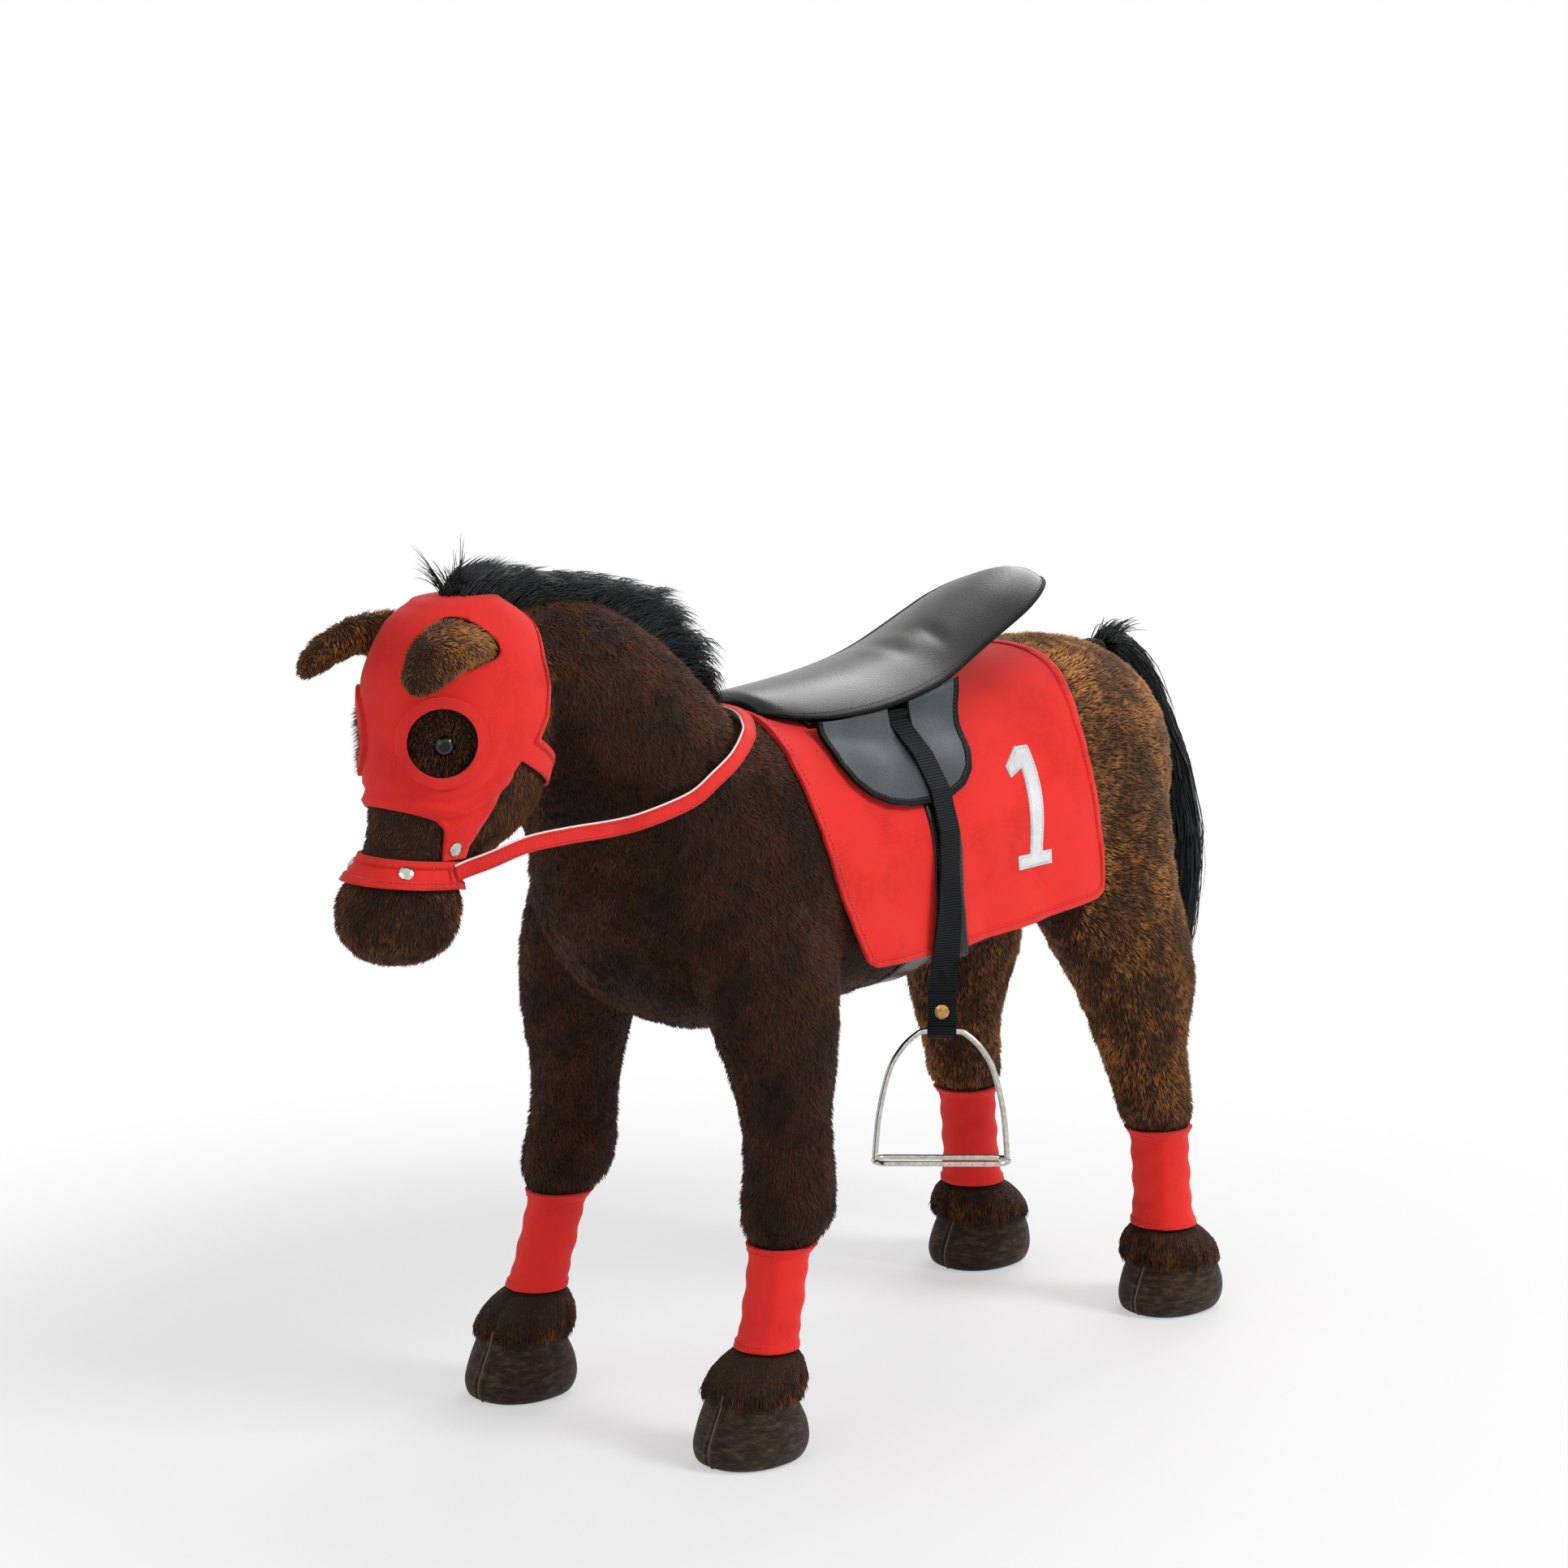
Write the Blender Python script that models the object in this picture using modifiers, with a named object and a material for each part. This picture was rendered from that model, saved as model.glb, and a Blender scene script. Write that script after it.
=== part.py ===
"""Ride-on plush racehorse: stuffed body on a steel frame, with racing saddle, cloth, hood, rein and stirrups.

The horse faces -Y, its left side is +X and it stands on z = 0. Sizes are metres.
"""

import math

import bmesh
import bpy
import numpy as np
from mathutils import Matrix, Vector
from mathutils.bvhtree import BVHTree

for old in list(bpy.data.objects):
    bpy.data.objects.remove(old, do_unlink=True)

# Stance, between the hoof centres
FORE_TRACK = 0.305
HIND_TRACK = 0.257
LEG_SPACING = 0.660

# Clearances
SEAT_GAP = 0.0003
FIBRE_GAP = 0.0006

# Legs: hoof, fetlock cuff and wrap
HOOF_HEIGHT = 0.070
FORE_CUFF = (0.0600, 0.1020)
HIND_CUFF = (0.0520, 0.0910)
FORE_WRAP = (0.1030, 0.1960)
HIND_WRAP = (0.0920, 0.1960)
WRAP_THICKNESS = 0.0030
HEM_HEIGHT = 0.007
HEM_RAISE = 0.0012

# Steel frame inside the body
FRAME_RADIUS = 0.008
SPINE_RADIUS = 0.0095
BEAM_HEIGHT = 0.565
FORE_BEAM_SETBACK = 0.062
HIND_BEAM_SETBACK = 0.082
FORE_BEAM_Y = FORE_BEAM_SETBACK - LEG_SPACING / 2
HIND_BEAM_Y = LEG_SPACING / 2 - HIND_BEAM_SETBACK
NECK_TUBE_RISE = 0.1572
NECK_TUBE_REACH = 0.225
FOOT_HEIGHT = 0.012
BOLT_RADIUS = 0.003

# Head: eyes and racing hood
EYE_RADIUS = 0.0100
EYE_HOLE_RADIUS = 0.034
HOOD_INNER = 0.0006
HOOD_THICKNESS = 0.0025
RIM_WIDTH = 0.0095
RIM_THICKNESS = 0.0028
SNAP_RADIUS = 0.0070

# Saddle cloth, number and girth
CLOTH_INNER = 0.0010
CLOTH_THICKNESS = 0.0030
NUMBER_THICKNESS = 0.0010
GIRTH_WIDTH = 0.040
GIRTH_THICKNESS = 0.0025
GIRTH_Y = -0.054

# Saddle
PANEL_HALF_WIDTH = 0.0690
FLAP_LIFT = 0.0080
FLAP_THICKNESS = 0.0027

# Stirrup bar, leather, rivet and iron
BAR_X = 0.0800
BAR_Y = -0.050
BAR_Z = 0.6585
BAR_RADIUS = 0.003
BAR_LENGTH = 0.072
LEATHER_WIDTH = 0.027
LEATHER_THICKNESS = 0.003
FOLD_THICKNESS = 0.0056
LOOP_X = 0.1680
LOOP_HEIGHT = 0.3665
FOLD_TOP = LOOP_HEIGHT + 0.0385
RIVET_RISE = 0.0195
RIVET_RADIUS = 0.0072
RIVET_SHANK = 0.0020
IRON_WIRE = 0.0035
IRON_HEIGHT = 0.1270
IRON_HALF_WIDTH = 0.0635
TREAD_WIRE = 0.0030
# How far each strap hangs forward of its bar, at the loop
HANG_FORWARD = {"left": 0.0290, "right": -0.0750}

# Rein
REIN_WIDTH = 0.018
REIN_THICKNESS = 0.0022

# Tail
TAIL_ROOT = (0, 0.350, 0.665)
DOCK_RADIUS = 0.0150
DOCK_HALF_WIDTH = 0.0090
STUB_LENGTH = 0.042
STUB_RADIUS = 0.0085

# Facets
TORSO_SEGMENTS = 24
TORSO_STATIONS = 19
HEAD_SEGMENTS = 16
LIMB_SEGMENTS = 12
LIMB_STATIONS = 13


def collection(name):
    made = bpy.data.collections.new(name)
    bpy.context.scene.collection.children.link(made)
    return made


HORSE = collection("ride_on_horse")
CUTTERS = collection("cutters")


def finish(obj, colour, roughness, metallic=0.0):
    """Gives the object its own Principled material."""
    material = bpy.data.materials.new(obj.name + "_finish")
    material.use_nodes = True
    shader = material.node_tree.nodes["Principled BSDF"]
    shader.inputs["Base Color"].default_value = (*colour, 1.0)
    shader.inputs["Roughness"].default_value = roughness
    shader.inputs["Metallic"].default_value = metallic
    obj.data.materials.append(material)


PLUSH = ((0.045, 0.020, 0.009), 0.95)
LONG_HAIR = ((0.010, 0.012, 0.013), 0.70)
RED_CLOTH = ((0.78, 0.035, 0.028), 0.85)
SUEDE = ((0.050, 0.034, 0.027), 0.90)
LEATHERETTE = ((0.022, 0.021, 0.020), 0.35)
GREY_LEATHERETTE = ((0.085, 0.098, 0.107), 0.40)
WEBBING = ((0.008, 0.009, 0.009), 0.80)
STEEL = ((0.55, 0.53, 0.50), 0.22, 1.0)
COPPER = ((0.62, 0.36, 0.20), 0.30, 1.0)
WHITE_FELT = ((0.80, 0.80, 0.82), 0.90)
GLASS = ((0.006, 0.005, 0.004), 0.05)


def place(obj, group=HORSE):
    group.objects.link(obj)
    if group is CUTTERS:
        obj.hide_render = True
        obj.display_type = "WIRE"
    return obj


def mesh_object(name, verts, faces, group=HORSE):
    mesh = bpy.data.meshes.new(name)
    mesh.from_pydata([tuple(v) for v in verts], [], faces)
    mesh.update()
    mesh.shade_smooth()
    return place(bpy.data.objects.new(name, mesh), group)


def blend_rows(rows, count):
    """Rows of sizes blended by a Catmull-Rom curve that passes through each of them."""
    rows = np.array(rows, float)
    at = np.linspace(0, len(rows) - 1, count)
    i = np.clip(at.astype(int), 0, len(rows) - 2)
    t = (at - i)[:, None]
    before = rows[np.maximum(i - 1, 0)]
    here = rows[i]
    there = rows[i + 1]
    beyond = rows[np.minimum(i + 2, len(rows) - 1)]
    slope = (there - before) * t
    bend = (2 * before - 5 * here + 4 * there - beyond) * t**2
    twist = (3 * here - before - 3 * there + beyond) * t**3
    return 0.5 * (2 * here + slope + bend + twist)


def rounded(value, squareness):
    """A superellipse keeps the sign and flattens the sides as squareness rises above 2."""
    return np.sign(value) * np.abs(value) ** (2.0 / squareness)


def signed_volume(points, faces):
    """Six times the volume inside the faces, below zero where they face inward."""
    total = 0.0
    for face in faces:
        for n in range(1, len(face) - 1):
            total += np.dot(points[face[0]], np.cross(points[face[n]], points[face[n + 1]]))
    return total


class Loft:
    """A closed form through rings of points, shut at each end over a pole."""

    def __init__(self, rings, first_pole, last_pole):
        self.rings = np.array(rings, float)
        self.poles = np.array([first_pole, last_pole], float)
        around = np.roll(self.rings, -1, 1) - np.roll(self.rings, 1, 1)
        along = np.gradient(self.rings, axis=0)
        normal = np.cross(around, along)
        normal /= np.maximum(np.linalg.norm(normal, axis=2, keepdims=True), 1e-12)
        outward = self.rings - self.rings.mean(1, keepdims=True)
        if (normal * outward).sum() < 0:
            normal = -normal
        self.normals = normal
        inner = self.rings[[1, -2]].mean(1)
        axis = self.rings[[0, -1]].mean(1) - inner
        length = np.maximum(np.linalg.norm(axis, axis=1, keepdims=True), 1e-12)
        self.pole_normals = axis / length

    def points(self, grow):
        rings = self.rings + self.normals * grow
        rings[[0, -1]] += self.pole_normals[:, None] * grow
        poles = self.poles + self.pole_normals * grow
        return np.concatenate([rings.reshape(-1, 3), poles])

    def faces(self, inside=False, start=0):
        """Triangles between the rings and fans at the poles, facing out, or in when inside is set."""
        rows, columns = self.rings.shape[:2]
        found = []
        for i in range(rows - 1):
            for j in range(columns):
                k = (j + 1) % columns
                found.append((i * columns + j, i * columns + k, (i + 1) * columns + k))
                found.append((i * columns + j, (i + 1) * columns + k, (i + 1) * columns + j))
        first, last = rows * columns, rows * columns + 1
        for j in range(columns):
            k = (j + 1) % columns
            found.append((first, k, j))
            found.append((last, (rows - 1) * columns + j, (rows - 1) * columns + k))
        points = self.points(0.0)
        if (signed_volume(points, found) < 0) != inside:
            found = [tuple(reversed(f)) for f in found]
        return [tuple(start + v for v in f) for f in found]

    def touch(self, origin, grow=0.0):
        """The nearest point of the grown form to origin, and its normal there."""
        tree = BVHTree.FromPolygons([tuple(p) for p in self.points(grow)], self.faces())
        point, normal, _, _ = tree.find_nearest(Vector(origin))
        return point, normal

    def solid(self, name, grow=0.0, group=HORSE):
        return mesh_object(name, self.points(grow), self.faces(), group)

    def shell(self, name, inner, thickness, group=HORSE):
        """The space between two skins that lie inner and inner + thickness outside the form."""
        outside = self.points(inner + thickness)
        verts = np.concatenate([outside, self.points(inner)])
        faces = self.faces() + self.faces(inside=True, start=len(outside))
        return mesh_object(name, verts, faces, group)


def combine(target, tool, operation):
    """Adds an exact Boolean that reads the tool, which is kept among the cutters."""
    modifier = target.modifiers.new(operation.lower() + "_" + tool.name, "BOOLEAN")
    modifier.operation = operation
    modifier.solver = "EXACT"
    modifier.object = tool


def cut(target, *tools):
    for tool in tools:
        combine(target, tool, "DIFFERENCE")


def keep(target, tool):
    combine(target, tool, "INTERSECT")


def as_mesh(name, data, group):
    """A curve turned into a mesh object, its doubled points merged."""
    temporary = bpy.data.objects.new(name + "_curve", data)
    mesh = bpy.data.meshes.new_from_object(temporary)
    mesh.name = name
    bpy.data.objects.remove(temporary)
    work = bmesh.new()
    work.from_mesh(mesh)
    bmesh.ops.remove_doubles(work, verts=work.verts, dist=0.00001)
    bmesh.ops.recalc_face_normals(work, faces=work.faces)
    work.to_mesh(mesh)
    work.free()
    return place(bpy.data.objects.new(name, mesh), group)


def poly_curve(name, points, dimensions, closed):
    data = bpy.data.curves.new(name + "_curve", "CURVE")
    data.dimensions = dimensions
    data.resolution_u = 1
    data.render_resolution_u = 0
    spline = data.splines.new("POLY")
    spline.points.add(len(points) - 1)
    for target, point in zip(spline.points, points):
        target.co = (*point, 1.0)
    spline.use_cyclic_u = closed
    return data


def bar(name, points, radius, group=HORSE, resolution=2, closed=False):
    """A round bar along points."""
    data = poly_curve(name, points, "3D", closed)
    data.bevel_depth = radius
    data.bevel_resolution = resolution
    data.use_fill_caps = not closed
    return as_mesh(name, data, group)


def side_prism(name, outline, low, high):
    """A cutter: an outline of y and z seen from the side, carried across from x = low to x = high."""
    flat = [(y, z, 0.0) for y, z in outline]
    data = poly_curve(name, flat, "2D", True)
    data.fill_mode = "BOTH"
    data.extrude = (high - low) / 2
    obj = as_mesh(name, data, CUTTERS)
    across = Matrix(((0, 0, 1, (low + high) / 2), (1, 0, 0, 0), (0, 1, 0, 0), (0, 0, 0, 1)))
    obj.data.transform(across)
    return obj


def bent(corners, radius, steps=2):
    """A path with its corners rounded."""
    corners = [Vector(c) for c in corners]
    path = [corners[0]]
    for before, here, after in zip(corners, corners[1:], corners[2:]):
        start = here + (before - here).normalized() * radius
        end = here + (after - here).normalized() * radius
        for k in range(steps + 1):
            t = k / steps
            path.append(start * (1 - t) ** 2 + here * 2 * t * (1 - t) + end * t * t)
    path.append(corners[-1])
    return path


def ribbon(name, rows, count, width, thickness, group=HORSE):
    """A strap along rows of a place and the way its face looks, blended where a count is given."""
    table = blend_rows(rows, count) if count else np.array(rows, float)
    path, look = table[:, :3], table[:, 3:]
    along = np.gradient(path, axis=0)
    across = np.cross(look, along)
    across /= np.linalg.norm(across, axis=1, keepdims=True)
    out = np.cross(along, across)
    out /= np.linalg.norm(out, axis=1, keepdims=True)
    corners = [(1, 1), (-1, 1), (-1, -1), (1, -1)]
    rings = np.stack([path + across * a * width / 2 + out * b * thickness / 2 for a, b in corners], 1)
    return Loft(rings, path[0], path[-1]).solid(name, 0.0, group)


def layer(name, points, normals, inner, thickness, group=HORSE):
    """A sheet between two offsets of a grid of points."""
    rows, columns = points.shape[:2]
    outside = (points + normals * (inner + thickness)).reshape(-1, 3)
    inside = (points + normals * inner).reshape(-1, 3)
    under = rows * columns
    faces = []
    for i in range(rows - 1):
        for j in range(columns - 1):
            k = i * columns + j
            for corner in ((k, k + 1, k + columns + 1), (k, k + columns + 1, k + columns)):
                faces.append(corner)
                faces.append(tuple(under + v for v in reversed(corner)))
    rim = list(range(columns))
    rim += [i * columns + columns - 1 for i in range(1, rows)]
    rim += [(rows - 1) * columns + j for j in range(columns - 2, -1, -1)]
    rim += [i * columns for i in range(rows - 2, 0, -1)]
    for here, there in zip(rim, rim[1:] + rim[:1]):
        faces.append((there, here, here + under, there + under))
    verts = np.concatenate([outside, inside])
    if signed_volume(verts, faces) < 0:
        faces = [tuple(reversed(face)) for face in faces]
    return mesh_object(name, verts, faces, group)


def grid_normals(points, outward):
    """Unit normals of a grid, on the side that outward points to."""
    normal = np.cross(np.gradient(points, axis=0), np.gradient(points, axis=1))
    normal /= np.linalg.norm(normal, axis=2, keepdims=True)
    if (normal * outward).sum() < 0:
        normal = -normal
    return normal


def standing(centre, look):
    """A placement whose Z looks along a direction."""
    turn = Vector(look).normalized().to_track_quat("Z", "Y").to_matrix().to_4x4()
    return Matrix.Translation(Vector(centre)) @ turn


def disc(name, centre, look, radius, depth, segments=24, group=CUTTERS):
    """A cylinder whose middle is at centre."""
    work = bmesh.new()
    bmesh.ops.create_cone(
        work, cap_ends=True, segments=segments, radius1=radius, radius2=radius, depth=depth,
        matrix=standing(centre, look),
    )
    mesh = bpy.data.meshes.new(name)
    work.to_mesh(mesh)
    work.free()
    return place(bpy.data.objects.new(name, mesh), group)


def ball(name, centre, radius, group=HORSE, segments=16):
    work = bmesh.new()
    bmesh.ops.create_uvsphere(
        work, u_segments=segments, v_segments=segments // 2, radius=radius,
        matrix=Matrix.Translation(Vector(centre)),
    )
    mesh = bpy.data.meshes.new(name)
    work.to_mesh(mesh)
    work.free()
    mesh.shade_smooth()
    return place(bpy.data.objects.new(name, mesh), group)


def turned(name, profile, centre, look, segments=16, group=HORSE):
    """A turned piece: a profile of radius and height, from its top down to its foot."""
    mesh = bpy.data.meshes.new(name)
    verts = [(radius, 0.0, height) for radius, height in profile]
    mesh.from_pydata(verts, [(k, k + 1) for k in range(len(verts) - 1)], [])
    obj = place(bpy.data.objects.new(name, mesh), group)
    obj.matrix_world = standing(centre, look)
    screw = obj.modifiers.new("turn", "SCREW")
    screw.steps = segments
    screw.render_steps = segments
    screw.use_merge_vertices = True
    screw.merge_threshold = 0.00001
    return obj


TORSO_ROWS = [
    (-0.400, 0.598, 0.492, 0.052),
    (-0.372, 0.632, 0.448, 0.092),
    (-0.325, 0.660, 0.400, 0.124),
    (-0.255, 0.676, 0.376, 0.144),
    (-0.160, 0.668, 0.378, 0.150),
    (-0.040, 0.655, 0.388, 0.150),
    (0.075, 0.662, 0.400, 0.149),
    (0.175, 0.684, 0.412, 0.148),
    (0.255, 0.695, 0.420, 0.141),
    (0.320, 0.682, 0.436, 0.122),
    (0.368, 0.650, 0.468, 0.088),
    (0.390, 0.612, 0.510, 0.050),
]
TORSO_SQUARENESS = 2.15
WAIST = 0.47


def torso_form():
    """Barrel, chest and rump: rows of place along the back, top, bottom and half width."""
    table = blend_rows(TORSO_ROWS, TORSO_STATIONS)
    angle = np.linspace(0, 2 * math.pi, TORSO_SEGMENTS, endpoint=False)
    y, top, bottom, half = (table[:, [k]] for k in range(4))
    middle = bottom + WAIST * (top - bottom)
    up = rounded(np.sin(angle), TORSO_SQUARENESS)[None, :]
    x = half * rounded(np.cos(angle), TORSO_SQUARENESS)[None, :]
    z = middle + np.where(up > 0, (top - middle) * up, (middle - bottom) * up)
    rings = np.stack([x, np.broadcast_to(y, x.shape), z], 2)
    return Loft(rings, (0, -0.412, 0.546), (0, 0.398, 0.560))


def sagittal_form(rows, count, segments, first_pole, last_pole, egg=0.0, squareness=2.0):
    """A form across the middle plane: rows of front y, front z, back y, back z and half width."""
    table = blend_rows(rows, count)
    angle = np.linspace(0, 2 * math.pi, segments, endpoint=False) + math.pi / segments
    front, back, half = table[:, 0:2], table[:, 2:4], table[:, 4:5]
    middle = (front + back) / 2
    reach = (back - front) / 2
    across = rounded(np.sin(angle), squareness)[None, :]
    along = rounded(np.cos(angle), squareness)[None, :]
    x = half * across * (1 + egg * along)
    y = middle[:, [0]] + reach[:, [0]] * along
    z = middle[:, [1]] + reach[:, [1]] * along
    rings = np.stack([x, y, z], 2)
    return Loft(rings, (0, *first_pole), (0, *last_pole))


def neck_form():
    """Neck from chest and withers up to the poll."""
    rows = [
        (-0.370, 0.480, -0.145, 0.605, 0.118),
        (-0.400, 0.540, -0.200, 0.650, 0.116),
        (-0.424, 0.585, -0.238, 0.688, 0.108),
        (-0.446, 0.628, -0.280, 0.730, 0.096),
        (-0.470, 0.662, -0.332, 0.770, 0.086),
        (-0.496, 0.688, -0.395, 0.800, 0.073),
        (-0.524, 0.708, -0.465, 0.806, 0.057),
        (-0.548, 0.722, -0.510, 0.798, 0.036),
    ]
    return sagittal_form(rows, 11, 20, (-0.250, 0.540), (-0.540, 0.765), egg=-0.16)


def head_form():
    """Head from the poll down to the muzzle."""
    rows = [
        (-0.590, 0.814, -0.516, 0.814, 0.034),
        (-0.619, 0.792, -0.484, 0.790, 0.055),
        (-0.637, 0.755, -0.466, 0.750, 0.068),
        (-0.641, 0.712, -0.462, 0.704, 0.071),
        (-0.641, 0.674, -0.466, 0.655, 0.067),
        (-0.643, 0.643, -0.484, 0.614, 0.057),
        (-0.648, 0.617, -0.532, 0.585, 0.047),
        (-0.655, 0.594, -0.566, 0.572, 0.042),
        (-0.676, 0.570, -0.570, 0.556, 0.050),
        (-0.685, 0.544, -0.572, 0.534, 0.053),
        (-0.677, 0.516, -0.582, 0.512, 0.045),
        (-0.657, 0.500, -0.602, 0.499, 0.027),
    ]
    return sagittal_form(rows, 17, HEAD_SEGMENTS, (-0.553, 0.822), (-0.630, 0.495), egg=0.05, squareness=2.25)


def limb_form(foot_x, foot_y, rows, count):
    """A leg: rows of height, backward lean, inward lean, half width and half depth."""
    table = blend_rows(rows, count)
    z, back, inward, wide, deep = (table[:, [k]] for k in range(5))
    angle = np.linspace(0, 2 * math.pi, LIMB_SEGMENTS, endpoint=False)[None, :]
    side = math.copysign(1.0, foot_x)
    x = foot_x - side * inward + wide * np.cos(angle)
    y = foot_y + back + deep * np.sin(angle)
    rings = np.stack([x, y, np.broadcast_to(z, x.shape)], 2)
    bottom = rings[0].mean(0)
    top = rings[-1].mean(0) + np.array([0, 0, 0.012])
    return Loft(rings, bottom, top)


FORE_ROWS = [
    (0.0703, 0.004, 0.000, 0.0270, 0.0270),
    (0.094, 0.018, 0.000, 0.0285, 0.0285),
    (0.145, 0.034, 0.003, 0.0285, 0.0285),
    (0.188, 0.045, 0.006, 0.0295, 0.0295),
    (0.204, 0.053, 0.006, 0.0400, 0.0430),
    (0.236, 0.061, 0.008, 0.0435, 0.0470),
    (0.275, 0.064, 0.011, 0.0410, 0.0440),
    (0.318, 0.064, 0.015, 0.0420, 0.0460),
    (0.366, 0.062, 0.020, 0.0500, 0.0570),
    (0.420, 0.062, 0.032, 0.0570, 0.0720),
    (0.480, 0.063, 0.051, 0.0610, 0.0840),
    (0.540, 0.060, 0.074, 0.0560, 0.0800),
    (0.590, 0.064, 0.090, 0.0380, 0.0540),
]
HIND_ROWS = [
    (0.0703, -0.003, 0.000, 0.0275, 0.0275),
    (0.090, -0.013, 0.000, 0.0300, 0.0300),
    (0.140, -0.018, 0.000, 0.0300, 0.0300),
    (0.186, -0.023, 0.000, 0.0305, 0.0305),
    (0.202, -0.026, 0.000, 0.0370, 0.0400),
    (0.236, -0.033, 0.002, 0.0385, 0.0420),
    (0.285, -0.045, 0.006, 0.0430, 0.0510),
    (0.345, -0.049, 0.012, 0.0510, 0.0740),
    (0.400, -0.069, 0.020, 0.0580, 0.0880),
    (0.460, -0.088, 0.028, 0.0620, 0.0940),
    (0.525, -0.085, 0.040, 0.0620, 0.0930),
    (0.590, -0.080, 0.068, 0.0500, 0.0720),
    (0.635, -0.075, 0.090, 0.0300, 0.0420),
]


def hoof_form(foot_x, foot_y):
    """Suede hoof: rows of height, toe, heel and half width, flat on the ground."""
    rows = [
        (0.000, 0.048, 0.042, 0.0380),
        (0.005, 0.055, 0.050, 0.0455),
        (0.018, 0.057, 0.055, 0.0490),
        (0.036, 0.050, 0.053, 0.0475),
        (0.054, 0.041, 0.045, 0.0420),
        (HOOF_HEIGHT - 0.003, 0.037, 0.040, 0.0375),
        (HOOF_HEIGHT, 0.032, 0.034, 0.0330),
    ]
    z, toe, heel, half = (np.array(rows)[:, [k]] for k in range(4))
    angle = np.linspace(0, 2 * math.pi, LIMB_SEGMENTS, endpoint=False)[None, :]
    x = foot_x + half * rounded(np.cos(angle), 2.2)
    lengthwise = rounded(np.sin(angle), 2.2)
    y = foot_y + np.where(lengthwise < 0, toe * lengthwise, heel * lengthwise)
    rings = np.stack([x, y, np.broadcast_to(z, x.shape)], 2)
    return Loft(rings, (foot_x, foot_y, 0.0), (foot_x, foot_y, HOOF_HEIGHT))


def drape_grid():
    """Where cloth lies over the back and hangs from its widest line: stations along by places across."""
    table = blend_rows(TORSO_ROWS, TORSO_STATIONS)
    on_torso = table[:, 0]
    y = np.array([-0.250, *on_torso[(on_torso > -0.245) & (on_torso < 0.230)], 0.235])[:, None]
    top, bottom, half = (np.interp(y, table[:, 0], table[:, k]) for k in (1, 2, 3))
    middle = bottom + WAIST * (top - bottom)
    over = np.linspace(0, math.pi, TORSO_SEGMENTS // 2 + 1)[None, :]
    hang = np.array([[0.085, 0.056, 0.027]])
    fall = np.where(hang > 0.05, 0.003, 0.0) * np.sin(34 * y)
    x_over = half * rounded(np.cos(over), TORSO_SQUARENESS)
    z_over = middle + (top - middle) * rounded(np.sin(over), TORSO_SQUARENESS)
    x_hang = half + 0.001 + 0.020 * hang + np.abs(fall)
    x = np.hstack([x_hang, x_over, -x_hang[:, ::-1]])
    z = np.hstack([middle - hang, z_over, (middle - hang)[:, ::-1]])
    points = np.stack([x, np.broadcast_to(y, x.shape), z], 2)
    return points, grid_normals(points, points - np.array([0, 0, 0.5]))


def seat_form():
    """Saddle seat: rows of place along, height, half width, drop of the sides and half thickness."""
    rows = [
        (-0.194, 0.6790, 0.040, 0.007, 0.0028),
        (-0.184, 0.6815, 0.056, 0.010, 0.0042),
        (-0.165, 0.6815, 0.069, 0.013, 0.0048),
        (-0.130, 0.6820, 0.080, 0.015, 0.0050),
        (-0.085, 0.6840, 0.086, 0.015, 0.0050),
        (-0.040, 0.6875, 0.086, 0.014, 0.0052),
        (0.000, 0.6925, 0.083, 0.013, 0.0055),
        (0.035, 0.6990, 0.078, 0.012, 0.0058),
        (0.065, 0.7080, 0.073, 0.011, 0.0060),
        (0.095, 0.7190, 0.070, 0.010, 0.0060),
        (0.130, 0.7320, 0.068, 0.009, 0.0062),
        (0.165, 0.7450, 0.065, 0.008, 0.0062),
        (0.195, 0.7540, 0.056, 0.006, 0.0060),
        (0.218, 0.7590, 0.043, 0.004, 0.0055),
        (0.232, 0.7590, 0.028, 0.002, 0.0045),
    ]
    table = blend_rows(rows, 17)
    angle = np.linspace(0, 2 * math.pi, 14, endpoint=False)[None, :]
    y, height, half, drop, thick = (table[:, [k]] for k in range(5))
    side = rounded(np.cos(angle), 2.8)
    x = half * side
    z = height - drop * side**2 + thick * rounded(np.sin(angle), 2.2)
    rings = np.stack([x, np.broadcast_to(y, x.shape), z], 2)
    return Loft(rings, (0, -0.198, 0.6785), (0, 0.239, 0.758)), table


# Places across the drape: its hem is 0, its widest line 3 and the middle of the back 9
FLAP_COLUMNS = (7, 6, 5, 4)
GIRTH_COLUMNS = (6, 5, 4, 3, 2, 1, 0)
LEATHER_COLUMNS = (6, 5, 4, 3)


def across_back(drape, offset, y, column):
    """The point and normal of the drape at one place along and one place across."""
    station = drape[0][:, 0, 1]
    point = [np.interp(y, station, (drape[0] + drape[1] * offset)[:, column, k]) for k in range(3)]
    normal = [np.interp(y, station, drape[1][:, column, k]) for k in range(3)]
    return point, normal


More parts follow.
